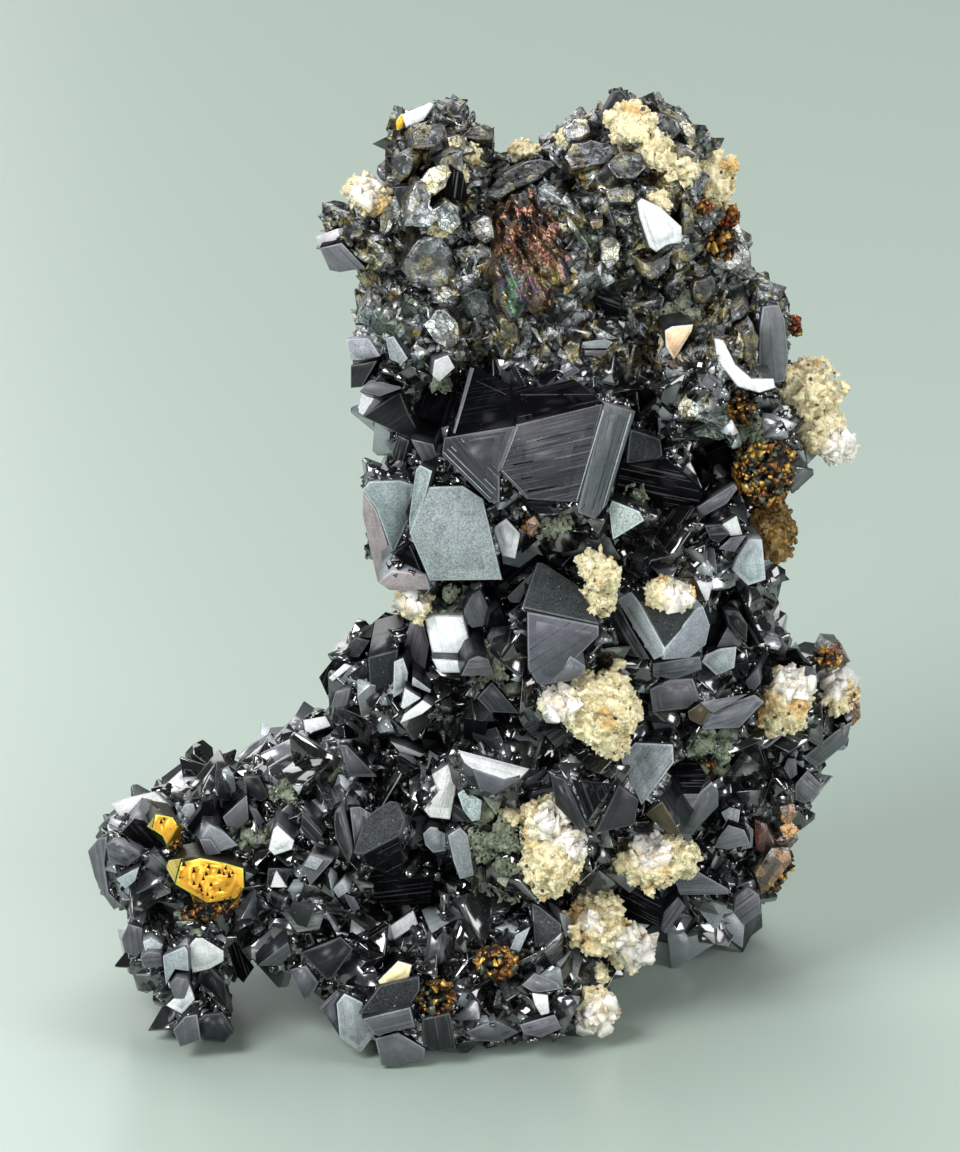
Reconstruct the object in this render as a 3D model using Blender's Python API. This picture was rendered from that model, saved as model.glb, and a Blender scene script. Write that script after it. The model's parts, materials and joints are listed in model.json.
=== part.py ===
"""A sphalerite specimen with calcite, pyrite and chalcopyrite grown on it, 97 mm tall.

The specimen is described as it is seen from its front, 20 degrees above the horizontal.
A place in that picture is (across, down) in millimetres from the picture's upper left corner,
and its depth is in millimetres back from the foremost point. The model stands on z = 0 with
its box centred on x = y = 0, +Z up, the front looking along +Y, and is built in metres.
"""
import math

import bmesh
import bpy
import numpy as np
from mathutils import Matrix, Vector

MM = 0.001
VIEW_TILT = math.radians(20)
FLOOR_ROW = 108.2       # mm down the picture where the floor lies at depth 0
MIDDLE_ACROSS = 47.25   # mm across the picture of the specimen's middle
MIDDLE_DEPTH = 26.45    # mm back of the specimen's middle
NO_ROCK_DEPTH = 26.0    # mm back where a crystal sits that has no lump behind it
NAME = "Sphalerite specimen"

ROCK_SEED = 11
LUMP_REACH = (0.99, 1.13)    # how far a lump's corners go, as shares of its half sizes
LUMP_BURIED = 0.93      # a point is under another lump inside this share of its half sizes, squared
LUMP_ROOTED = 0.7       # and a root is well inside a lump within this share
LEAST_RISE = 3.0        # mm, the least half height of a lump in the picture
SCATTER_SEED = 23
SCATTER_TRIES = 2600
SCATTER_SPACING = 10.6
SCATTER_SIZE = (3.0, 6.0)
SCATTER_FLARE = 1.4
SCATTER_TILT = 0.35
SCATTER_STANDS = (0.3, 1.3)    # mm that a small crystal stands out of its lump
SCATTER_CLEAR = 1.0     # mm that it keeps from the floor
SCATTER_BEHIND = 5.0    # mm behind the front where it can't hide a listed crystal
SCATTER_SHARES = (0.4, 0.25, 0.25, 0.1)
ROOT = 2.5              # mm that each listed crystal reaches further into the ore
FLAT = math.radians(0.2)
SOCKET_GAP = 0.35       # mm between the rock and what is seated in it
CRUMB = 2.0             # cubic mm below which a loose bit is dropped
BASE_BLOCK = 200.0

# The lumps of the ore mass: (across, down, half width, half height, depth, half depth).
LUMPS = {
    "top_right": (64.0, 18.4, 8.4, 9.2, 27.0, 15.0),
    "top_left": (44.0, 17.2, 6.0, 7.2, 26.0, 12.0),
    "top_middle": (54.5, 21.8, 8.6, 7.4, 27.0, 15.0),
    "neck_left": (47.0, 24.5, 5.6, 6.0, 25.0, 13.0),
    "left_knob": (36.8, 23.6, 5.4, 3.9, 24.0, 7.0),
    "upper_middle": (56.5, 31.5, 12.5, 10.0, 27.0, 18.0),
    "left_shoulder": (42.5, 31.5, 7.4, 8.0, 25.0, 14.0),
    "right_shoulder": (70.8, 34.0, 8.6, 9.4, 28.0, 16.0),
    "right_edge": (76.8, 43.0, 4.2, 6.4, 25.0, 9.0),
    "middle": (56.0, 45.0, 13.5, 10.5, 26.0, 19.0),
    "under_shoulder": (43.0, 41.5, 5.4, 5.0, 26.0, 11.0),
    "block_bed": (43.5, 51.5, 6.4, 8.5, 22.0, 14.0),
    "middle_right": (69.5, 50.5, 8.4, 9.5, 28.0, 17.0),
    "heart": (56.0, 61.5, 14.5, 10.5, 26.0, 19.5),
    "waist_left": (43.5, 76.0, 6.4, 5.6, 24.0, 12.0),
    "left_root": (40.6, 67.6, 7.4, 5.8, 22.0, 13.0),
    "right_waist": (73.4, 59.0, 4.6, 5.6, 29.0, 11.0),
    "right_flank": (70.5, 67.0, 8.6, 9.2, 30.0, 16.0),
    "right_lobe": (79.8, 70.6, 5.2, 5.0, 30.0, 10.0),
    "right_under": (77.6, 78.0, 4.6, 5.4, 31.0, 10.0),
    "lower_middle": (56.0, 78.5, 15.5, 11.5, 26.0, 19.5),
    "lower_right": (71.5, 82.5, 6.4, 9.5, 33.0, 13.0),
    "base": (50.5, 93.0, 13.0, 10.5, 25.0, 18.5),
    "base_front": (40.8, 100.0, 6.8, 6.4, 14.0, 10.5),
    "base_right": (55.0, 98.8, 5.8, 5.2, 17.0, 12.0),
    "base_toe": (47.8, 101.6, 6.2, 3.6, 13.0, 6.5),
    "base_left": (35.4, 95.6, 5.2, 7.0, 19.0, 11.0),
    "arm_root": (33.5, 82.0, 9.5, 9.4, 23.0, 15.0),
    "arm_neck": (29.4, 78.0, 5.4, 4.6, 23.0, 8.0),
    "arm_middle": (23.5, 84.5, 8.2, 7.4, 22.0, 13.0),
    "arm_end": (14.6, 85.6, 5.2, 5.6, 21.0, 10.0),
    "arm_low": (28.8, 91.8, 6.4, 5.4, 21.0, 11.0),
    "shin": (17.8, 94.4, 5.4, 6.2, 18.0, 10.0),
    "foot": (19.3, 101.0, 3.4, 3.8, 13.5, 7.0),
    "right_foot": (70.5, 89.4, 5.6, 5.8, 40.0, 9.0),
    "heel": (47.0, 84.0, 9.0, 10.4, 43.6, 7.5),
}

# The specimen's outline in the picture, (across, down). Scattered crystals stay inside it.
OUTLINE = [
    (61.6, 9.2), (65.5, 10.3), (69.5, 12.5), (71.5, 15.4), (73.3, 17.2), (73.5, 23.5),
    (75.2, 25.5), (77.0, 29.0), (79.3, 32.5), (82.5, 36.8), (84.7, 41.0), (85.0, 45.2),
    (80.0, 46.3), (79.0, 49.0), (79.7, 54.5), (77.6, 56.5), (77.9, 62.2), (81.5, 64.5),
    (85.0, 66.0), (86.4, 70.0), (85.0, 73.5), (83.2, 77.5), (81.0, 80.5), (80.0, 84.5),
    (76.3, 90.5), (74.5, 92.9), (69.0, 93.8), (65.6, 94.5), (65.0, 97.4), (61.0, 97.6),
    (61.8, 102.6), (56.0, 103.7), (50.0, 104.6), (42.4, 106.0), (39.5, 107.2), (36.0, 105.7),
    (31.8, 101.0), (28.5, 97.2), (25.3, 96.8), (22.4, 101.2), (23.4, 103.4), (21.0, 104.8),
    (17.8, 105.0), (15.5, 101.5), (13.1, 98.2), (11.9, 94.0), (10.5, 90.5), (8.5, 85.5),
    (10.8, 81.5), (14.3, 78.8), (19.0, 75.4), (24.0, 74.8), (30.0, 72.2), (33.0, 70.0),
    (31.8, 67.2), (36.0, 63.0), (40.0, 61.0), (39.5, 59.0), (37.5, 58.0), (36.3, 49.0),
    (39.2, 47.0), (39.7, 43.3), (35.7, 40.0), (34.5, 34.0), (36.2, 28.2), (32.6, 26.0),
    (31.3, 23.5), (32.5, 21.5), (36.5, 18.1), (39.4, 18.3), (38.7, 16.0), (40.2, 11.5),
    (43.3, 10.3), (45.5, 12.4), (49.2, 12.3), (52.0, 14.0), (57.5, 11.8), (60.5, 10.5),
]

# Crystals read from their front faces: the finish, the seat that neighbours share, how far the
# face stands out of the ore, its lean to the right and upwards, how deep it goes, how much it
# widens, and the outline's corners (across, down).
CRYSTALS = {
    "giant_striated": ("slate", "giant", 0, (0.05, 0.1), 12, 1.02, [
        (51.6, 42.6), (60.2, 40.5), (57.7, 50.3), (52.6, 50), (49.9, 47.1)]),
    "giant_left": ("dark", "giant", 0, (-0.35, 0.25), 12, 1.02, [
        (44.4, 43.9), (51.5, 42.7), (49.9, 47.1), (49.9, 50.3), (48.9, 50.3), (44.2, 45.6)]),
    "giant_crown_left": ("black", "giant", 0, (-0.46, 0.9), 8, 1.02, [
        (45, 43.7), (46.3, 39.9), (47, 36.4), (51, 38.6), (51.6, 42.7)]),
    "giant_crown_right": ("black", "giant", 0, (-0.155, 0.9), 8, 1.02, [
        (51.6, 42.7), (51, 38.6), (54, 38.8), (57.3, 38), (60.3, 40.5)]),
    "giant_right": ("slate", "giant", 5.25, (0.7, -0.06), 9, 1.02, [
        (60.4, 40.5), (63.5, 41.3), (60.7, 50.5), (59.5, 52), (57.7, 51.3)]),
    "black_left": ("black", None, 3, (-0.3, 0.1), 7, 1.06, [
        (41.3, 40.7), (42.9, 38.9), (45.6, 37.2), (46, 38.5), (44.5, 43), (43.3, 43.9), (41.7, 43)]),
    "left_point": ("dark", None, 1.5, (-0.3, -0.1), 6, 1.05, [
        (36.2, 41.7), (40, 39.2), (40.9, 41.5), (41.9, 43.3), (40.7, 44), (39.8, 43.4)]),
    "left_bright": ("white", None, 0.6, (-0.4, 0.5), 5, 1.05, [
        (35.8, 41.2), (35.9, 39.8), (36.3, 39.1), (39.6, 39.3), (36.4, 41.6)]),
    "left_striated": ("pale", None, 0.8, (-0.3, 0.2), 6, 1.05, [
        (34.6, 34), (36.8, 33.9), (38.3, 36), (37.2, 36.3), (35, 36)]),
    "blue_flat": ("frosted", None, 2.5, (0.25, 0.1), 6, 1.08, [
        (63, 43), (66, 44), (66.2, 45.6), (64, 46.9), (62.6, 46.3)]),
    "dark_wall": ("black", None, 1.5, (0.15, -0.1), 6, 1.05, [
        (62, 46.5), (66.5, 46), (70, 48.8), (70, 50.3), (66, 51), (61.2, 50)]),
    "satin_small": ("pale", None, 4, (-0.1, 0.2), 5, 1.14, [
        (60.8, 50.9), (61.1, 50.1), (63.8, 51.2), (64.3, 52.1), (61.2, 54)]),
    "satin_front": ("pale", "satin", 0, (0.05, 0.02), 10, 1.03, [
        (42.8, 48.8), (46.3, 48.7), (48.3, 50), (50.2, 58), (43, 58.1), (41.4, 54.3), (41, 53.3)]),
    "satin_divider": ("pale", "satin", 0.6, (-0.45, 0.1), 7, 1.03, [
        (41.6, 47), (42, 46.6), (43.2, 47.2), (42.6, 49.5), (41, 53.3), (40.9, 51.9)]),
    "satin_left_top": ("white", None, 3.5, (-0.05, 0.1), 3, 1.02, [
        (36.3, 49), (37, 48.2), (40, 48.1), (41.4, 48.5), (40.9, 52), (39.3, 55.6), (37.7, 51)]),
    "satin_left_side": ("rose", None, 2.6, (-0.5, 0), 7, 1.03, [
        (36.3, 49.2), (37.7, 51.2), (39.2, 56), (39, 57.2), (37.7, 58.2), (36.2, 51.5)]),
    "satin_left_foot": ("rose", None, 3.4, (-0.1, -0.4), 6, 1.03, [
        (37.8, 58.3), (39.2, 57.1), (42.6, 57.5), (43, 59), (39, 59.1)]),
    "purple_face": ("slate", "purple", 0, (0.03, 0), 9, 1.03, [
        (52.7, 61.2), (59.8, 62.6), (59.8, 63.6), (55, 68.4), (53.7, 68.3), (52.8, 66.9)]),
    "frosted_roof": ("frosted", "purple", 0, (0.207, 0.9), 7, 1.01, [
        (53.7, 56.2), (54.4, 56.3), (57.8, 58.5), (59.9, 62.4), (52.6, 60.8), (52.2, 60.6)]),
    "pale_steps": ("white", None, 3, (-0.1, 0.1), 5, 1.08, [
        (49.3, 52.8), (50.6, 51.9), (52, 53.4), (51.5, 55.9), (50.2, 55.6)]),
    "band_left": ("pale", "bands", 0, (-0.6, -0.04), 9, 1.02, [
        (61.6, 60), (63, 59.2), (63.9, 60.3), (66.4, 64.8), (66.3, 65.5), (65.3, 66)]),
    "band_shadow": ("dark", "bands", 0.4, (-0.75, -0.1), 7, 1.02, [
        (60.9, 63.5), (61.7, 60.2), (62.8, 62.5), (64.9, 66), (62, 65.4)]),
    "frosted_triangle": ("frosted", "bands", 0, (0, 0.25), 9, 1.01, [
        (63.9, 60.1), (70.2, 60.9), (66.4, 64.8)]),
    "band_right": ("pale", "bands", 0, (0.55, -0.26), 9, 1.02, [
        (69.7, 60.8), (70.3, 60.7), (71, 62.6), (70.6, 64.5), (69, 65.8), (66.3, 66), (66.4, 64.9)]),
    "lens_face": ("slate", None, 3.4, (0.1, -0.3), 6, 1.05, [
        (65.3, 66.4), (70, 65.7), (70.2, 67), (67.5, 68), (65.3, 67.6)]),
    "lower_facet": ("slate", None, 3, (0.05, -0.1), 6, 1.1, [
        (65, 69), (67, 68), (69.3, 67.9), (70, 69.8), (68.8, 70.9), (65.3, 71.3)]),
    "right_grey": ("pale", None, 3.6, (0.15, 0.05), 6, 1.08, [
        (70.6, 65.5), (72, 64.9), (73.7, 64.7), (73.5, 66.8), (71.7, 67.6), (70.2, 66.2)]),
    "plank_low": ("slate", None, 2.4, (0.1, 0.15), 6, 1.06, [
        (70.8, 71), (75.5, 69.5), (76.5, 70.2), (74, 72.8), (70.2, 73)]),
    "blue_wedge": ("pale", None, 4, (-0.05, 0.1), 7, 1.1, [
        (62.1, 76), (63.5, 74.3), (67.3, 74.5), (67.4, 76.3), (64.2, 80.6)]),
    "black_roof": ("black", "roof", 0, (0, 0.6), 7, 1.02, [
        (65.7, 79.5), (66.8, 77), (68.8, 75.8), (70, 76.4), (71.2, 78.2), (70.1, 79.5)]),
    "roof_face": ("slate", "roof", 0, (0, -0.1), 8, 1.02, [
        (66, 79.5), (70.1, 79.5), (68.2, 82.6)]),
    "roof_band": ("slate", "roof", 0, (0.6, -0.47), 7, 1.02, [
        (70.1, 79.4), (71.3, 78.3), (72, 79.3), (72, 80.8), (69.9, 83), (69.5, 83.7), (68.2, 83.6),
        (68.2, 82.5)]),
    "roof_left": ("brown", None, 2, (-0.3, -0.2), 6, 1.02, [
        (64.5, 81.5), (66.2, 80.2), (68.2, 83.5), (67, 83.6)]),
    "black_pyramid": ("black", None, 4.6, (0, 0.05), 2.2, 1.45, [
        (57.2, 78), (61.2, 78.4), (58.8, 82.1)]),
    "pyramid_left": ("dark", None, 2.4, (-0.35, 0), 6, 1.03, [
        (55, 77.4), (56.6, 78), (58.6, 82.6), (58, 83.2), (55.5, 80.5)]),
    "pyramid_right": ("dark", None, 2.4, (0.35, 0), 6, 1.03, [
        (61.9, 78.5), (63.9, 80), (63.5, 82.5), (59.5, 83.4)]),
    "plank_white": ("white", "plank", 0, (0.28, 0.8), 6, 1.02, [
        (45.8, 74.9), (53, 76.8), (52.1, 77.7), (50.4, 77.9), (47.3, 76.8), (46.5, 76.2)]),
    "plank_purple": ("slate", "plank", 0, (0, -0.1), 6, 1.02, [
        (47.3, 76.9), (50.5, 77.9), (52, 77.8), (49.5, 79.4), (48, 79)]),
    "white_slab": ("white", None, 3.8, (0.05, 0.05), 6, 1.06, [
        (43.2, 77.5), (45.2, 76.2), (45.8, 77.8), (45, 82), (43, 81.8), (42.4, 81), (43.8, 79.3)]),
    "pale_slab": ("pale", None, 3.4, (0.1, 0.1), 5, 1.1, [
        (44.8, 83.6), (46, 82.8), (46.8, 83.6), (47.4, 87.6), (46, 88), (45.4, 86.3)]),
    "dark_octahedron": ("dark", None, 3.2, (0.05, 0.15), 5, 1.16, [
        (47.7, 69.8), (49.2, 68.2), (51.9, 71.3), (49, 71.2)]),
    "octahedron_left": ("dark", None, 2.6, (-0.3, 0), 5, 1.05, [
        (46.2, 70.3), (47.9, 70), (49, 71.3), (48.2, 74.5), (46.3, 74)]),
    "white_block": ("white", None, 4.2, (0, 0.05), 7, 1.05, [
        (42.5, 61.9), (43.3, 61.5), (46.3, 61.6), (46.9, 63.8), (45.8, 65.4), (43.2, 65.3)]),
    "grey_octagon": ("slate", None, 2.8, (0.05, 0.1), 6, 1.1, [
        (46.4, 61), (47.2, 59.5), (48, 59), (49, 61.1), (48.4, 62.6), (47.2, 62.8), (46.5, 62)]),
    "grey_stack": ("slate", None, 2.6, (-0.1, 0.1), 6, 1.06, [
        (40.2, 65.3), (41, 62.2), (42.3, 62.2), (42.9, 64.5), (42.5, 67), (41.6, 67.7), (40.3, 66.6)]),
    "green_pocket": ("frosted", None, 1.2, (-0.1, -0.2), 5, 1.02, [
        (36.8, 65.8), (39.8, 65), (39, 70), (37, 69)]),
    "round_dark": ("dark", None, 2.8, (0.05, 0.1), 7, 1.05, [
        (40.3, 72.4), (42.8, 70.8), (45.7, 71), (45.9, 73.2), (44.5, 75.2), (41.5, 75.8),
        (39.4, 74.2)]),
    "slate_delta": ("slate", None, 2.4, (0, 0), 5, 1.06, [
        (33.9, 74.6), (34.6, 74.6), (37.7, 77.8), (34.8, 77.8)]),
    "root_black": ("black", None, 1.2, (-0.3, 0.1), 6, 1.05, [
        (31.8, 67.8), (33.2, 66), (35, 66.6), (34, 69.2), (32.6, 69.6)]),
    "frosted_big": ("frosted", None, 4, (-0.1, 0.45), 7, 1.03, [
        (36.4, 82), (37.5, 81), (39, 80.1), (39.7, 80.2), (40.5, 82), (39.9, 83.6), (36.4, 85.4),
        (35.3, 85.3)]),
    "black_big": ("black", None, 3.6, (0.05, -0.05), 7, 1.06, [
        (36.4, 85.6), (39.9, 83.8), (40.4, 87), (40, 88), (36.8, 86.6)]),
    "black_low": ("black", None, 2.4, (0.05, -0.25), 6, 1.04, [
        (37, 87), (40.3, 88.2), (43.5, 87.8), (43, 90.5), (38.5, 91), (36.5, 89.5)]),
    "slate_side": ("slate", None, 2.8, (0.2, 0.1), 5, 1.06, [
        (35, 80.8), (36, 80.7), (37.2, 81.4), (36.3, 83.6), (35.5, 85)]),
    "black_horn": ("black", None, 2.8, (-0.1, 0), 6, 1.06, [
        (20.1, 80.3), (21.2, 80), (21.4, 81.4), (20.5, 83.5), (19.2, 83.6), (18.6, 82.9), (20, 81)]),
    "white_wing": ("white", None, 1.2, (-0.15, 0.35), 6, 1.04, [
        (10.8, 80.5), (13, 79.8), (15.2, 79.3), (16.8, 80.7), (14.8, 82.4), (13.3, 81.9),
        (11.6, 81.8)]),
    "black_wing": ("black", None, 1.6, (-0.1, 0.05), 6, 1.06, [
        (12, 83.4), (13.3, 82), (14.3, 82.2), (15.8, 83.8), (16.2, 84.8), (14.5, 85), (13.6, 84.6)]),
    "left_end": ("slate", None, 0.6, (-0.45, 0), 7, 1.02, [
        (8.5, 85.3), (9.6, 84), (10.5, 83.8), (10.2, 86.5), (10.6, 89.5), (12, 90.8), (11.1, 91.2),
        (10.1, 89.8), (9.2, 88)]),
    "end_round": ("slate", None, 1.6, (-0.2, 0.1), 5, 1.08, [
        (10.4, 84.6), (11.6, 84), (13.8, 85.2), (13.9, 85.7), (12.6, 86.8), (10.8, 86.4)]),
    "foot_purple_left": ("slate", None, 1, (-0.35, 0.1), 6, 1.05, [
        (11.9, 94.1), (12.6, 92.6), (14, 93), (14.2, 95), (13.4, 96), (12.2, 95.4)]),
    "foot_white": ("white", None, 3.6, (0.05, 0.15), 6, 1.06, [
        (18.7, 94.8), (19.5, 93.9), (20.2, 93.9), (22.3, 95.2), (22.3, 96.2), (20.9, 97),
        (19.2, 97.4)]),
    "foot_grey": ("pale", None, 3.2, (-0.2, 0.1), 5, 1.05, [
        (16.2, 95.7), (18.4, 94.7), (18.7, 95.2), (18.8, 97.2), (17.4, 97), (16.5, 98.6)]),
    "foot_dark": ("dark", None, 3, (0.25, 0), 6, 1.06, [
        (20, 97.2), (21, 96.9), (22.4, 98.4), (22.7, 100.6), (22.4, 101.1), (21.2, 99.6),
        (19.6, 98.4)]),
    "foot_base": ("slate", None, 1.6, (-0.1, -0.1), 5, 1.02, [
        (17.2, 103.2), (18.4, 101.8), (19.6, 101.6), (20, 104.2), (17.9, 104.9)]),
    "foot_base_dark": ("dark", None, 2, (0.15, 0), 5, 1.03, [
        (19.2, 102.8), (20.4, 101.6), (22.2, 101.4), (23.4, 103.4), (22.4, 104.5), (20.3, 104.3)]),
    "foot_blade": ("black", None, 2, (0.2, 0.1), 5, 1.06, [
        (22.6, 94.9), (23.3, 94.4), (25.3, 97), (24.2, 98.6), (23.6, 98)]),
    "base_left": ("slate", None, 1.2, (-0.2, -0.2), 6, 1.02, [
        (28.8, 97.2), (30.5, 96.8), (31.8, 98.5), (31, 100), (30.3, 100.3)]),
    "grey_quad": ("dark", None, 2.2, (-0.1, 0.2), 6, 1.05, [
        (30, 95.4), (34, 93.8), (35.3, 95), (33.2, 98), (32.6, 98.2)]),
    "lined_base": ("pale", None, 2.6, (-0.1, -0.05), 6, 1.04, [
        (33.6, 100.5), (34.4, 99.5), (36.2, 100.4), (37.5, 103.6), (36, 105.5), (33.9, 103.9)]),
    "granular_block": ("frosted", None, 2.8, (0, 0.3), 6, 1.05, [
        (35.9, 101.4), (38, 98.6), (41.9, 97.7), (42, 99), (41, 100.6), (37, 101.4)]),
    "granular_foot": ("slate", None, 2.4, (0, -0.1), 6, 1.04, [
        (36.2, 102), (41, 100.8), (41.5, 102.8), (39.4, 103.2), (37.6, 103.7)]),
    "base_front": ("slate", None, 1.6, (0.05, -0.15), 6, 1.02, [
        (37.5, 104), (39.8, 103.4), (42.5, 105), (42.4, 106), (40.8, 106.4), (39.6, 106.9),
        (38.1, 106.7)]),
    "base_middle": ("dark", None, 1.6, (0.1, -0.1), 5, 1.04, [
        (42.2, 102), (45, 101.4), (45.6, 105), (43.5, 105.3), (42.3, 104.5)]),
    "base_purple": ("slate", None, 1.4, (0.1, -0.2), 5, 1.04, [
        (46.5, 103.4), (49.5, 102.2), (52, 103.4), (50, 104.4), (47.8, 104.3)]),
    "base_right": ("slate", None, 1.4, (0.2, -0.2), 5, 1.04, [
        (52, 102.6), (55.5, 101.6), (56.2, 103), (54.2, 103.9), (52.4, 103.6)]),
    "frosted_middle": ("frosted", None, 2.2, (0.1, 0.15), 5, 1.05, [
        (53.2, 90.4), (54, 90.8), (56.2, 92.6), (56, 94.4), (53.5, 94.6)]),
    "black_speckled": ("black", None, 3, (0.05, -0.1), 6, 1.06, [
        (61.4, 89.2), (63.2, 88.2), (66.1, 89.7), (66.4, 91), (66.2, 93), (63.2, 92.6), (61.6, 91.2)]),
    "fan_face": ("slate", None, 2.6, (0.1, -0.05), 5, 1.05, [
        (67.4, 87.8), (69.6, 87.2), (73.1, 89.2), (73, 89.7), (68.2, 89.8)]),
    "speckled_gem": ("slate", None, 2.2, (0.15, 0), 5, 1.06, [
        (73.8, 90), (75, 89), (76.2, 89.8), (76.4, 91.6), (74.6, 92.9), (73.6, 91.6)]),
    "gem_face": ("slate", None, 2.4, (0, -0.1), 5, 1.05, [
        (72, 84), (73, 82.7), (74.6, 83.2), (75.2, 84.6), (73, 85.2), (71.6, 85)]),
    "right_gem": ("slate", None, 2, (0.15, -0.1), 5, 1.06, [
        (79.8, 78.6), (81, 77.2), (82.4, 78.6), (82, 79.8), (80.8, 80.6), (79.8, 80.2)]),
    "lobe_slab": ("slate", None, 0.8, (0.3, -0.2), 5, 1.03, [
        (80.5, 76), (84, 73.2), (85.5, 72.3), (85, 74.5), (82, 77)]),
    "sage_face": ("pale", None, 1.4, (0.2, 0), 6, 1.04, [
        (73.8, 55.6), (74.9, 53.9), (76.2, 54), (76.6, 58), (74.8, 58.6), (73.2, 57)]),
    "slate_pentagon": ("slate", None, 3, (0.05, 0.05), 5, 1.08, [
        (69, 43), (70.6, 42.4), (73, 44.6), (70.8, 45.6), (69.4, 44.2)]),
    "green_face": ("frosted", None, 1.6, (0.05, 0.1), 5, 1.05, [
        (66.8, 28.8), (68.2, 27.2), (69.2, 28), (69, 30.4), (67.4, 31)]),
    "white_shard": ("white", None, 2.4, (0.1, 0.25), 5, 1.05, [
        (63.6, 20.6), (64, 20.2), (65.8, 21), (68, 23), (68, 24.5), (66.5, 24.8), (65.5, 25.5),
        (64.8, 25), (63.8, 22)]),
    "silver_shard": ("white", None, 0.8, (0.15, 0.2), 6, 1.04, [
        (71, 25.2), (71.8, 24), (74.2, 24.3), (75, 25.2), (75, 26.9), (74.2, 27.4), (72, 27),
        (71, 26.4)]),
    "peak": ("dark", None, 0.3, (0, 0.3), 4, 1.04, [
        (61.2, 9.4), (62, 9.2), (63.2, 10.4), (62.6, 12.4), (60.2, 13), (60, 11.6)]),
    "knob_plate": ("slate", None, 2, (0, 0.1), 5, 1.05, [
        (41.3, 13.6), (43.8, 13), (45, 14), (43.2, 15.2), (41.1, 14.8)]),
    "pale_shield": ("pale", None, 1.8, (-0.1, 0.3), 5, 1.05, [
        (38.2, 22.4), (40, 20.6), (41.2, 18.8), (42.2, 18.6), (43.2, 19.8), (43, 22.6), (40.6, 22.6)]),
    "black_post": ("black", None, 2, (0.1, 0.1), 5, 1.06, [
        (45, 16.8), (46.4, 17.8), (46.8, 20.2), (46.2, 20.6), (44.6, 19.8)]),
    "grey_plate": ("slate", None, 1.4, (0, 0.05), 5, 1.04, [
        (42.2, 24), (44, 24.2), (44.6, 28.6), (42, 28.4), (41, 27.6)]),
    "knob_face": ("slate", None, 1, (-0.2, -0.1), 5, 1.04, [
        (32, 25), (34.2, 24.5), (36.6, 27), (34, 27.4), (33, 27.2)]),
    "purple_plate": ("slate", None, 1.2, (0.25, 0.05), 5, 1.04, [
        (76.2, 30.8), (77.8, 30.6), (78.4, 32), (78.8, 36), (78.4, 38.2), (76.8, 38.4), (75.8, 37),
        (75.9, 33)]),
    "silver_curve": ("white", None, 2.4, (0.1, 0.1), 4, 1.03, [
        (71.3, 34), (72.2, 34.2), (73.4, 36.6), (75, 38), (77.2, 38), (77.4, 38.9), (75.8, 39.4),
        (73.6, 38.8), (71.6, 36.2)]),
}

# Faces that meet in one crystal share a seat: (across, down, depth) of a point on their edge.
SEATS = {
    "giant": (51.6, 42.7, 2.6),
    "satin": (42.8, 53.0, 5.0),
    "purple": (52.7, 61.2, 3.0),
    "bands": (66.4, 64.8, 7.0),
    "roof": (70.1, 79.5, 14.0),
    "plank": (50.5, 77.9, 5.0),
}

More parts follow.
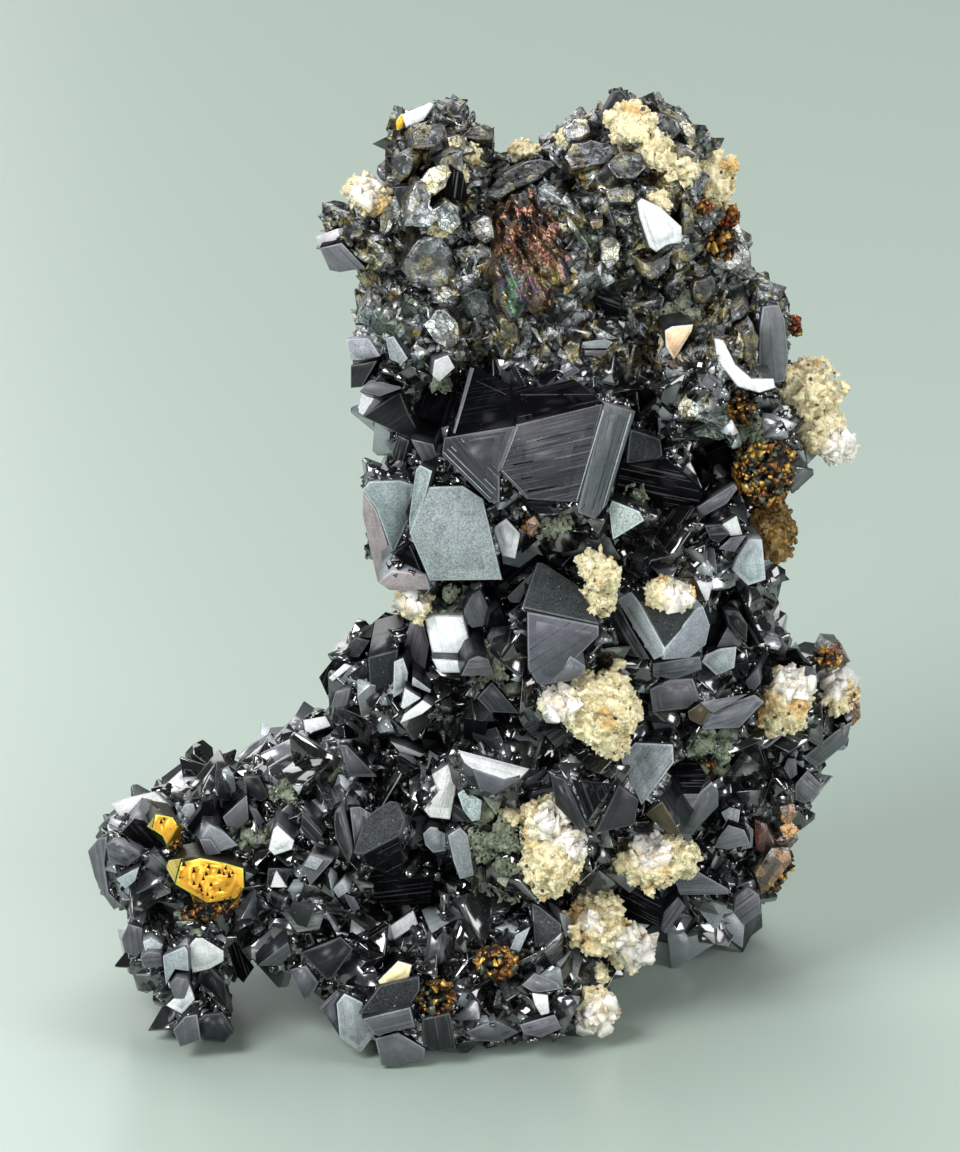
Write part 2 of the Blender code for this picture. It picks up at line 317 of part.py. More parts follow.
# What grows on the ore, each a cluster of lumps:
# (across, down, half width, half height, depth, half depth) and a turn in the picture, degrees.
CLUSTERS = {
    "calcite_crown": ("calcite", [
        (63.8, 13.6, 4.2, 2.8, 20.0, 5.5, 0), (67.0, 14.6, 3.0, 2.8, 22.0, 5.0, 20)]),
    "calcite_crown_right": ("calcite", [(71.2, 18.2, 2.0, 3.0, 26.0, 4.0, 10)]),
    "calcite_ledge": ("calcite", [
        (80.8, 39.2, 3.2, 3.5, 25.0, 4.4, 0), (82.0, 42.6, 2.9, 3.0, 24.0, 4.5, 20),
        (83.8, 45.0, 1.5, 1.1, 24.0, 2.0, 0)]),
    "calcite_left_cap": ("calcite", [(37.0, 19.7, 2.2, 1.3, 22.0, 3.2, 15)]),
    "calcite_heart": ("calcite", [
        (59.9, 70.6, 4.3, 4.0, 6.5, 4.0, 0), (55.9, 70.3, 2.2, 1.5, 6.0, 2.6, 0),
        (61.0, 73.6, 2.4, 2.2, 6.5, 3.0, 0)]),
    "calcite_lobe": ("calcite", [(78.6, 70.2, 3.0, 3.6, 19.5, 4.0, 10)]),
    "calcite_far": ("calcite", [(84.2, 69.8, 1.9, 1.7, 27.0, 3.3, 0)]),
    "calcite_lower_left": ("calcite", [
        (55.2, 86.0, 3.2, 3.6, 8.0, 4.0, 0), (54.2, 82.0, 1.9, 1.8, 8.0, 2.6, 0)]),
    "calcite_lower_right": ("calcite", [(65.6, 86.0, 4.4, 2.3, 12.5, 4.0, -8)]),
    "calcite_foot": ("calcite", [
        (59.8, 92.2, 3.2, 3.0, 13.0, 4.5, 0), (62.9, 94.8, 2.7, 2.3, 15.5, 3.4, 0)]),
    "calcite_toe": ("calcite", [(59.6, 101.2, 2.1, 2.1, 10.0, 2.8, 0)]),
    "calcite_wedge": ("calcite", [(41.5, 60.3, 1.6, 1.4, 12.0, 3.0, 0)]),
    "calcite_centre": ("calcite", [
        (59.6, 56.9, 2.6, 1.7, 5.6, 3.0, 15), (59.6, 59.8, 1.2, 1.2, 5.6, 2.2, 0)]),
    "calcite_seam": ("calcite", [(66.6, 59.3, 2.6, 0.9, 8.0, 2.6, 14)]),
    "pyrite_large": ("pyrite", [(20.5, 88.0, 3.8, 2.7, 10.0, 3.4, -6)]),
    "pyrite_small": ("pyrite", [(16.4, 82.8, 1.8, 1.5, 12.0, 2.2, 30)]),
    "chalcopyrite_front": ("chalcopyrite", [(43.5, 99.8, 2.0, 1.6, 5.0, 2.6, 0)]),
    "chalcopyrite_base": ("chalcopyrite", [(49.6, 96.4, 2.2, 1.6, 7.0, 2.6, 0)]),
    "chalcopyrite_edge": ("chalcopyrite", [(76.4, 46.8, 3.2, 3.9, 18.0, 4.5, 0)]),
    "chalcopyrite_knob": ("chalcopyrite", [(77.1, 53.2, 2.6, 2.8, 20.0, 4.0, 0)]),
    "chalcopyrite_top": ("chalcopyrite", [(72.2, 24.4, 1.8, 1.5, 25.0, 3.0, 0)]),
    "chalcopyrite_upper": ("chalcopyrite", [(73.8, 40.7, 1.5, 1.9, 17.5, 3.0, 0)]),
    "chalcopyrite_red": ("chalcopyrite", [(77.0, 83.0, 2.0, 2.6, 28.0, 3.6, 0)]),
    "chalcopyrite_bar": ("chalcopyrite", [(77.9, 87.6, 1.2, 2.6, 31.0, 2.8, 32)]),
    "chalcopyrite_shoulder": ("chalcopyrite", [(82.8, 66.0, 1.3, 1.1, 22.6, 2.0, 0)]),
    "bornite_patch": ("bornite", [
        (52.6, 23.0, 3.4, 2.6, 14.5, 3.0, 0), (52.6, 27.8, 3.8, 3.2, 11.5, 3.0, 0)]),
}

FINISHES = {
    "ore": ((0.10, 0.10, 0.11), 0.45, 0.5),
    "white": ((0.62, 0.66, 0.66), 0.35, 0.3),
    "pale": ((0.36, 0.40, 0.41), 0.40, 0.3),
    "slate": ((0.15, 0.15, 0.18), 0.35, 0.5),
    "dark": ((0.05, 0.06, 0.07), 0.30, 0.6),
    "black": ((0.012, 0.012, 0.016), 0.15, 0.6),
    "frosted": ((0.07, 0.08, 0.08), 0.60, 0.3),
    "rose": ((0.36, 0.31, 0.32), 0.40, 0.2),
    "brown": ((0.06, 0.05, 0.03), 0.20, 0.2),
    "calcite": ((0.72, 0.66, 0.48), 0.55, 0.0),
    "pyrite": ((0.80, 0.56, 0.16), 0.22, 1.0),
    "chalcopyrite": ((0.45, 0.24, 0.07), 0.35, 0.9),
    "bornite": ((0.16, 0.08, 0.07), 0.30, 0.9),
}


def finish_material(name):
    """One Principled material for each finish, made at its first use."""
    if name in bpy.data.materials:
        return bpy.data.materials[name]
    colour, roughness, metallic = FINISHES[name]
    material = bpy.data.materials.new(name)
    material.use_nodes = True
    shader = material.node_tree.nodes["Principled BSDF"]
    shader.inputs["Base Color"].default_value = (*colour, 1.0)
    shader.inputs["Roughness"].default_value = roughness
    shader.inputs["Metallic"].default_value = metallic
    return material


def place(across, down, depth):
    """The world point, in metres, of a place in the picture at a depth."""
    height = (FLOOR_ROW - down - depth * math.sin(VIEW_TILT)) / math.cos(VIEW_TILT)
    return Vector((across - MIDDLE_ACROSS, depth - MIDDLE_DEPTH, height)) * MM


def lump_radii(lump):
    """Half sizes of a lump along x, y and z: its picture half height is
    the root of (half height x cos tilt) squared plus (half depth x sin tilt) squared."""
    _, _, half_width, half_height, _, half_depth = lump[:6]
    rise = max(half_height ** 2 - (half_depth * math.sin(VIEW_TILT)) ** 2, LEAST_RISE ** 2)
    return half_width, half_depth, math.sqrt(rise) / math.cos(VIEW_TILT)


def lump_frame(lump):
    """Centre and half sizes of a lump in picture-aligned millimetres (x, y, z)."""
    across, down, _, _, depth, _ = lump[:6]
    centre = np.array(place(across, down, depth)) / MM
    return centre, np.array(lump_radii(lump))


def front_depth(across, down):
    """Depth of the first lump that the line of sight through a place in the picture meets."""
    nearest = NO_ROCK_DEPTH
    for lump in LUMPS.values():
        centre, radii = lump_frame(lump)
        start = np.array(place(across, down, 0.0)) / MM
        sight = np.array([0.0, 1.0, -math.tan(VIEW_TILT)])
        offset = (start - centre) / radii
        step = sight / radii
        a = step @ step
        b = offset @ step
        c = offset @ offset - 1.0
        if b * b > a * c:
            nearest = min(nearest, (-b - math.sqrt(b * b - a * c)) / a)
    return nearest


def new_object(name, bm, finish, collection):
    """An object of a finished bmesh, in one finish, linked to a collection."""
    bmesh.ops.recalc_face_normals(bm, faces=bm.faces)
    mesh = bpy.data.meshes.new(name)
    bm.to_mesh(mesh)
    bm.free()
    mesh.materials.append(finish_material(finish))
    obj = bpy.data.objects.new(name, mesh)
    collection.objects.link(obj)
    return obj


def rough_lump(bm, lump, turn, seed, grow=0.0):
    """A lump of 20 faces: an icosahedron with each corner moved in or out by a few hundredths."""
    centre, radii = lump_frame(lump)
    made = bmesh.ops.create_icosphere(bm, subdivisions=1, radius=1.0)
    corners = made["verts"]
    rough = np.random.default_rng(seed).uniform(*LUMP_REACH, len(corners))
    spin = Matrix.Rotation(math.radians(turn), 3, "Y")
    for corner, reach in zip(corners, rough):
        size = [float(radius * reach + grow) for radius in radii]
        local = Vector([c * s for c, s in zip(corner.co, size)])
        corner.co = (Vector(centre) + spin @ local) * MM


def crystal(name, entry, collection):
    """A crystal read from its front face: the outline lies on a leaning plane in front of the
    lump it grows from, and is carried back into the rock while it widens by its flare."""
    finish, seat, out, lean, depth, flare, outline = entry
    across = [point[0] for point in outline]
    down = [point[1] for point in outline]
    if seat:
        seat_across, seat_down, seat_depth = SEATS[seat]
    else:
        seat_across = sum(across) / len(across)
        seat_down = sum(down) / len(down)
        reach = [front_depth(*point) for point in [(seat_across, seat_down), *outline]]
        on_rock = [there for there in reach if there < NO_ROCK_DEPTH]
        seat_depth = reach[0] if reach[0] < NO_ROCK_DEPTH else max(on_rock, default=NO_ROCK_DEPTH)
    bm = bmesh.new()
    corners = []
    for a, d in outline:
        y = seat_depth - out + lean[0] * (a - seat_across) - lean[1] * (d - seat_down)
        corners.append(bm.verts.new(place(a, d, y)))
    face = bm.faces.new(corners)
    face.normal_update()
    inward = face.normal.copy()
    if inward.y < 0:
        inward.negate()
    carried = bmesh.ops.extrude_face_region(bm, geom=[face])["geom"]
    back = [item for item in carried if isinstance(item, bmesh.types.BMVert)]
    middle = sum((vert.co for vert in back), Vector()) / len(back)
    for vert in back:
        vert.co = middle + (vert.co - middle) * flare + inward * (depth + ROOT) * MM
    bmesh.ops.dissolve_limit(bm, angle_limit=FLAT, verts=bm.verts, edges=bm.edges)
    return new_object(name, bm, finish, collection)


def inside(point, margin):
    """How many lumps, shrunk by a margin, hold a point in picture-aligned millimetres."""
    held = 0
    for lump in LUMPS.values():
        centre, radii = lump_frame(lump)
        held += float(np.sum(((point - centre) / radii) ** 2)) < margin
    return held


def in_outline(across, down):
    """Whether a place in the picture is inside the specimen's outline: a line from it to the
    right then crosses the outline an odd number of times."""
    crossed = 0
    for (a0, d0), (a1, d1) in zip(OUTLINE, OUTLINE[1:] + OUTLINE[:1]):
        if (d0 > down) != (d1 > down):
            crossed += across < a0 + (down - d0) * (a1 - a0) / (d1 - d0)
    return crossed % 2 == 1


def in_picture(point):
    """The place in the picture (across, down) of a point in picture-aligned millimetres."""
    depth = point[1] + MIDDLE_DEPTH
    fall = point[2] * math.cos(VIEW_TILT) + depth * math.sin(VIEW_TILT)
    return point[0] + MIDDLE_ACROSS, FLOOR_ROW - fall


def scatter(collection):
    """Smaller crystals wherever no crystal or cluster is listed: each is a polygon of three to
    six corners that stands on a lump, square to it give or take a tilt, and widens into it."""
    listed = [np.array(entry[6]) for entry in CRYSTALS.values()]
    taken = [(ring.mean(axis=0), np.ptp(ring, axis=0).mean() / 2) for ring in listed]
    for _, lumps in CLUSTERS.values():
        taken += [(np.array(lump[:2]), (lump[2] + lump[3]) / 2) for lump in lumps]
    rng = np.random.default_rng(SCATTER_SEED)
    lumps = list(LUMPS.values())
    weights = np.array([np.prod(lump_radii(lump)) ** (2 / 3) for lump in lumps])
    placed = []
    for _ in range(SCATTER_TRIES):
        lump = lumps[rng.choice(len(lumps), p=weights / weights.sum())]
        direction = rng.normal(size=3)
        direction /= np.linalg.norm(direction)
        tilt = rng.normal(scale=SCATTER_TILT, size=3)
        size = rng.uniform(*SCATTER_SIZE)
        sides = int(rng.integers(3, 7))
        reaches = rng.uniform(0.75, 1.1, 6)
        spin = rng.uniform(0, math.tau)
        tall = rng.uniform(*SCATTER_STANDS)
        finish = ("dark", "black", "slate", "pale")[rng.choice(4, p=SCATTER_SHARES)]
        centre, radii = lump_frame(lump)
        point = centre + direction * radii
        normal = direction / radii
        normal /= np.linalg.norm(normal)
        rooted = inside(point - normal * size, LUMP_ROOTED)
        if inside(point, LUMP_BURIED) or point[2] < size + SCATTER_CLEAR or not rooted:
            continue
        seen = np.array(in_picture(point))
        in_front = point[1] + MIDDLE_DEPTH < front_depth(*seen) + SCATTER_BEHIND
        if in_front and any(np.linalg.norm(seen - at) < reach + size * 0.6 for at, reach in taken):
            continue
        if any(np.linalg.norm(point - other) < SCATTER_SPACING for other in placed):
            continue
        normal = Vector(normal + tilt).normalized()
        sideways = normal.orthogonal().normalized()
        upward = normal.cross(sideways)
        ring = []
        for k in range(sides):
            angle = spin + math.tau * k / sides
            reach = size * reaches[k]
            local = sideways * math.cos(angle) * reach + upward * math.sin(angle) * reach
            ring.append(Vector(point) + normal * tall + local)
        middle = sum(ring, Vector()) / sides
        root = middle - normal * (size + tall)
        foot = [root + (corner - middle) * SCATTER_FLARE for corner in ring]
        if not all(in_outline(*in_picture(corner)) for corner in ring + foot):
            continue
        placed.append(point)
        bm = bmesh.new()
        corners = [bm.verts.new(corner * MM) for corner in ring + foot]
        bmesh.ops.convex_hull(bm, input=corners)
        bmesh.ops.dissolve_limit(bm, angle_limit=FLAT, verts=bm.verts, edges=bm.edges)
        new_object(f"small_crystal_{len(placed):03d}", bm, finish, collection)


def boolean(obj, name, operation, collection):
    """A Boolean modifier that joins or cuts with every object of a collection."""
    modifier = obj.modifiers.new(name, "BOOLEAN")
    modifier.operation = operation
    modifier.operand_type = "COLLECTION"
    modifier.collection = collection
    modifier.solver = "EXACT"
    modifier.material_mode = "TRANSFER"
    return modifier


def settle(obj):
    """Applies the modifiers, fills the pockets that the joining sealed inside and drops crumbs.
    A pocket is a shell with its faces turned inwards, so its volume is negative."""
    graph = bpy.context.evaluated_depsgraph_get()
    mesh = bpy.data.meshes.new_from_object(obj.evaluated_get(graph))
    obj.modifiers.clear()
    bm = bmesh.new()
    bm.from_mesh(mesh)
    unseen = set(bm.faces)
    unwanted = []
    while unseen:
        shell = {unseen.pop()}
        rim = list(shell)
        while rim:
            face = rim.pop()
            near = {other for edge in face.edges for other in edge.link_faces} & unseen
            unseen -= near
            shell |= near
            rim.extend(near)
        volume = sum(shell_volume(face) for face in shell)
        if volume < CRUMB * MM ** 3:
            unwanted.extend(shell)
    bmesh.ops.delete(bm, geom=unwanted, context="FACES")
    bm.to_mesh(mesh)
    bm.free()
    obj.data = mesh


def shell_volume(face):
    """The signed volume of the pyramids from the origin to a face."""
    first, *others = [loop.vert.co for loop in face.loops]
    return sum(first.dot(a.cross(b)) for a, b in zip(others, others[1:])) / 6


def hidden_collection(name):
    """A collection of cutters and joined shapes, drawn as wire and left out of renders."""
    collection = bpy.data.collections.new(name)
    bpy.context.scene.collection.children.link(collection)
    return collection


def hide_all(collection):
    for obj in collection.objects:
        obj.hide_render = True
        obj.display_type = "WIRE"
    collection.hide_render = True


def main():
    for obj in list(bpy.data.objects):
        bpy.data.objects.remove(obj, do_unlink=True)
    parts = bpy.data.collections.new(NAME)
    bpy.context.scene.collection.children.link(parts)
    joined = hidden_collection("Joined to the ore")
    sockets = hidden_collection("Sockets and floor cut")

    for number, (name, lump) in enumerate(LUMPS.items()):
        bm = bmesh.new()
        rough_lump(bm, lump, 0.0, ROCK_SEED + number)
        if name == "middle":
            rock = new_object("sphalerite", bm, "ore", parts)
        else:
            new_object(f"lump_{name}", bm, "ore", joined)
    for name, entry in CRYSTALS.items():
        crystal(f"crystal_{name}", entry, joined)
    scatter(joined)
    boolean(rock, "Joined", "UNION", joined)

    for number, (name, (finish, lumps)) in enumerate(CLUSTERS.items()):
        grown = []
        for index, lump in enumerate(lumps):
            seed = ROCK_SEED + 100 * (number + 1) + index
            for grow, kept in ((0.0, grown), (SOCKET_GAP, None)):
                bm = bmesh.new()
                rough_lump(bm, lump, lump[6], seed, grow)
                if kept is None:
                    new_object(f"socket_{name}_{index}", bm, finish, sockets)
                elif index == 0:
                    kept.append(new_object(name, bm, finish, parts))
                else:
                    more = bpy.data.collections.get(f"More {name}") or hidden_collection(f"More {name}")
                    kept.append(new_object(f"{name}_{index}", bm, finish, more))
        if len(lumps) > 1:
            more = bpy.data.collections[f"More {name}"]
            hide_all(more)
            boolean(grown[0], "Joined", "UNION", more)

    bm = bmesh.new()
    bmesh.ops.create_cube(bm, size=BASE_BLOCK * MM)
    bmesh.ops.translate(bm, verts=bm.verts, vec=(0.0, 0.0, -BASE_BLOCK / 2 * MM))
    new_object("floor_cut", bm, "ore", sockets)
    hide_all(joined)
    hide_all(sockets)
    settle(rock)
    boolean(rock, "Seats", "DIFFERENCE", sockets)
    settle(rock)


main()
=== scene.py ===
import json
import math

import bmesh
import bpy
import numpy as np
from mathutils import Matrix, Vector

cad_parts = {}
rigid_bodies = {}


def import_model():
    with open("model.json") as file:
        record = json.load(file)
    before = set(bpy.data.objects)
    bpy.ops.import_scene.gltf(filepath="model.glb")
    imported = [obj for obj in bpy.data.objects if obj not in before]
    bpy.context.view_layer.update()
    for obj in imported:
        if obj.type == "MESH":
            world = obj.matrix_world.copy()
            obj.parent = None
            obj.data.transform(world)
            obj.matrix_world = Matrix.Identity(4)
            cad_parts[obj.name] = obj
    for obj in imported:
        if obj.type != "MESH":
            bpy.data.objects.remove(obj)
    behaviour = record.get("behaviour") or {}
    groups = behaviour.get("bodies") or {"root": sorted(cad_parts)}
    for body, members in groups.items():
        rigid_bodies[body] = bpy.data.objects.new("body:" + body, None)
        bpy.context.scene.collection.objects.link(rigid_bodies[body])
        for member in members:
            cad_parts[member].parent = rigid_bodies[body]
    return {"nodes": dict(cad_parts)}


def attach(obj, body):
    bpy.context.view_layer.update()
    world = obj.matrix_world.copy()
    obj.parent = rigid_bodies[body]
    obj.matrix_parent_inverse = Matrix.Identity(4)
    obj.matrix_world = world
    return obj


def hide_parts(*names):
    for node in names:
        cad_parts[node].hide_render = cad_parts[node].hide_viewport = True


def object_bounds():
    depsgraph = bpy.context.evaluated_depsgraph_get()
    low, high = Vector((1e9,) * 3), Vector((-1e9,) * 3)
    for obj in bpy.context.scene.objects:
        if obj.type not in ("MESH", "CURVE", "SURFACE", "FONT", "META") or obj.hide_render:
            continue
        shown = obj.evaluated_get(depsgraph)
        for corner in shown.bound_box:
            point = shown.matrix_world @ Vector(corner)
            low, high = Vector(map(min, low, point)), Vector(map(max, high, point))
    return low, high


for startup_object in list(bpy.data.objects):
    bpy.data.objects.remove(startup_object)
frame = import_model()
start_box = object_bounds()

# Millimetres, seen from the photographed front 20 degrees above the horizontal.
# A place in that picture is (across, down) from its upper left corner, and depth runs back.
MM = 0.001
VIEW_TILT = math.radians(20)
SIN, COS = math.sin(VIEW_TILT), math.cos(VIEW_TILT)
FLOOR_ROW = 108.2
MIDDLE_ACROSS = 47.25
MIDDLE_DEPTH = 26.45
NO_ROCK_DEPTH = 26.0
ROOT = 2.5

# The lumps of the ore mass: (across, down, half width, half height, depth, half depth).
LUMPS = {
    "top_right": (64.0, 18.4, 8.4, 9.2, 27.0, 15.0),
    "top_left": (44.0, 17.2, 6.0, 7.2, 26.0, 12.0),
    "top_middle": (54.5, 21.8, 8.6, 7.4, 27.0, 15.0),
    "neck_left": (47.0, 24.5, 5.6, 6.0, 25.0, 13.0),
    "left_knob": (36.8, 23.6, 5.4, 3.9, 24.0, 7.0),
    "upper_middle": (56.5, 31.5, 12.5, 10.0, 27.0, 18.0),
    "left_shoulder": (42.5, 31.5, 7.4, 8.0, 25.0, 14.0),
    "right_shoulder": (70.8, 34.0, 8.6, 9.4, 28.0, 16.0),
    "right_edge": (76.8, 43.0, 4.2, 6.4, 25.0, 9.0),
    "middle": (56.0, 45.0, 13.5, 10.5, 26.0, 19.0),
    "under_shoulder": (43.0, 41.5, 5.4, 5.0, 26.0, 11.0),
    "block_bed": (43.5, 51.5, 6.4, 8.5, 22.0, 14.0),
    "middle_right": (69.5, 50.5, 8.4, 9.5, 28.0, 17.0),
    "heart": (56.0, 61.5, 14.5, 10.5, 26.0, 19.5),
    "waist_left": (43.5, 76.0, 6.4, 5.6, 24.0, 12.0),
    "left_root": (40.6, 67.6, 7.4, 5.8, 22.0, 13.0),
    "right_waist": (73.4, 59.0, 4.6, 5.6, 29.0, 11.0),
    "right_flank": (70.5, 67.0, 8.6, 9.2, 30.0, 16.0),
    "right_lobe": (79.8, 70.6, 5.2, 5.0, 30.0, 10.0),
    "right_under": (77.6, 78.0, 4.6, 5.4, 31.0, 10.0),
    "lower_middle": (56.0, 78.5, 15.5, 11.5, 26.0, 19.5),
    "lower_right": (71.5, 82.5, 6.4, 9.5, 33.0, 13.0),
    "base": (50.5, 93.0, 13.0, 10.5, 25.0, 18.5),
    "base_front": (40.8, 100.0, 6.8, 6.4, 14.0, 10.5),
    "base_right": (55.0, 98.8, 5.8, 5.2, 17.0, 12.0),
    "base_toe": (47.8, 101.6, 6.2, 3.6, 13.0, 6.5),
    "base_left": (35.4, 95.6, 5.2, 7.0, 19.0, 11.0),
    "arm_root": (33.5, 82.0, 9.5, 9.4, 23.0, 15.0),
    "arm_neck": (29.4, 78.0, 5.4, 4.6, 23.0, 8.0),
    "arm_middle": (23.5, 84.5, 8.2, 7.4, 22.0, 13.0),
    "arm_end": (14.6, 85.6, 5.2, 5.6, 21.0, 10.0),
    "arm_low": (28.8, 91.8, 6.4, 5.4, 21.0, 11.0),
    "shin": (17.8, 94.4, 5.4, 6.2, 18.0, 10.0),
    "foot": (19.3, 101.0, 3.4, 3.8, 13.5, 7.0),
    "right_foot": (70.5, 89.4, 5.6, 5.8, 40.0, 9.0),
    "heel": (47.0, 84.0, 9.0, 10.4, 43.6, 7.5),
}

# Faces that meet in one crystal share a seat: (across, down, depth) of a point on their edge.
SEATS = {
    "giant": (51.6, 42.7, 2.6),
    "satin": (42.8, 53.0, 5.0),
    "purple": (52.7, 61.2, 3.0),
    "bands": (66.4, 64.8, 7.0),
    "roof": (70.1, 79.5, 14.0),
    "plank": (50.5, 77.9, 5.0),
}

# What grows on the ore, each a cluster of lumps:
# (across, down, half width, half height, depth, half depth, turn in degrees).
CLUSTERS = {
    "calcite_crown": ("calcite", [
        (63.2, 12.8, 2.6, 2.0, 18.5, 4.0, 0), (65.4, 15.4, 2.3, 1.7, 17.5, 3.4, 30),
        (67.8, 16.9, 1.7, 1.1, 18.5, 3.0, 20)]),
    "calcite_crown_right": ("calcite", [(71.2, 18.2, 2.0, 3.0, 26.0, 4.0, 10)]),
    "calcite_ledge": ("calcite", [
        (80.8, 39.2, 3.2, 3.5, 25.0, 4.4, 0), (82.0, 42.6, 2.9, 3.0, 24.0, 4.5, 20),
        (83.8, 45.0, 1.5, 1.1, 24.0, 2.0, 0)]),
    "calcite_left_cap": ("calcite", [(37.0, 19.7, 2.2, 1.3, 22.0, 3.2, 15)]),
    "calcite_heart": ("calcite", [
        (59.9, 70.6, 4.3, 4.0, 6.5, 4.0, 0), (55.9, 70.3, 2.2, 1.5, 6.0, 2.6, 0),
        (61.0, 73.6, 2.4, 2.2, 6.5, 3.0, 0)]),
    "calcite_lobe": ("calcite", [(78.6, 70.2, 3.0, 3.6, 19.5, 4.0, 10)]),
    "calcite_far": ("calcite", [(84.2, 69.8, 1.9, 1.7, 27.0, 3.3, 0)]),
    "calcite_lower_left": ("calcite", [
        (55.2, 86.0, 3.2, 3.6, 8.0, 4.0, 0), (54.2, 82.0, 1.9, 1.8, 8.0, 2.6, 0)]),
    "calcite_lower_right": ("calcite", [(65.6, 86.0, 4.4, 2.3, 12.5, 4.0, -8)]),
    "calcite_foot": ("calcite", [
        (59.8, 92.2, 3.2, 3.0, 13.0, 4.5, 0), (62.9, 94.8, 2.7, 2.3, 15.5, 3.4, 0)]),
    "calcite_toe": ("calcite", [(59.6, 101.2, 2.1, 2.1, 10.0, 2.8, 0)]),
    "calcite_wedge": ("calcite", [(41.5, 60.3, 1.6, 1.4, 12.0, 3.0, 0)]),
    "calcite_centre": ("calcite", [
        (59.6, 56.9, 2.6, 1.7, 5.6, 3.0, 15), (59.6, 59.8, 1.2, 1.2, 5.6, 2.2, 0)]),
    "calcite_seam": ("calcite", [(66.6, 59.3, 2.6, 0.9, 8.0, 2.6, 14)]),
    "pyrite_large": ("pyrite", [(20.5, 88.0, 3.8, 2.7, 10.0, 3.4, -6)]),
    "pyrite_small": ("pyrite", [(16.4, 82.8, 1.8, 1.5, 12.0, 2.2, 30)]),
    "chalcopyrite_front": ("chalcopyrite", [(43.5, 99.8, 2.0, 1.6, 5.0, 2.6, 0)]),
    "chalcopyrite_base": ("chalcopyrite", [(49.6, 96.4, 2.2, 1.6, 7.0, 2.6, 0)]),
    "chalcopyrite_edge": ("chalcopyrite", [(76.4, 46.8, 3.2, 3.9, 18.0, 4.5, 0)]),
    "chalcopyrite_knob": ("chalcopyrite", [(77.1, 53.2, 2.6, 2.8, 20.0, 4.0, 0)]),
    "chalcopyrite_top": ("chalcopyrite", [(72.2, 24.4, 1.8, 1.5, 25.0, 3.0, 0)]),
    "chalcopyrite_upper": ("chalcopyrite", [(73.8, 40.7, 1.5, 1.9, 17.5, 3.0, 0)]),
    "chalcopyrite_red": ("chalcopyrite", [(77.0, 83.0, 2.0, 2.6, 28.0, 3.6, 0)]),
    "chalcopyrite_bar": ("chalcopyrite", [(77.9, 87.6, 1.2, 2.6, 31.0, 2.8, 32)]),
    "chalcopyrite_shoulder": ("chalcopyrite", [(82.8, 66.0, 1.3, 1.1, 22.6, 2.0, 0)]),
    "bornite_patch": ("bornite", [
        (52.6, 23.0, 3.4, 2.6, 14.5, 3.0, 0), (52.6, 27.8, 3.8, 3.2, 11.5, 3.0, 0)]),
}

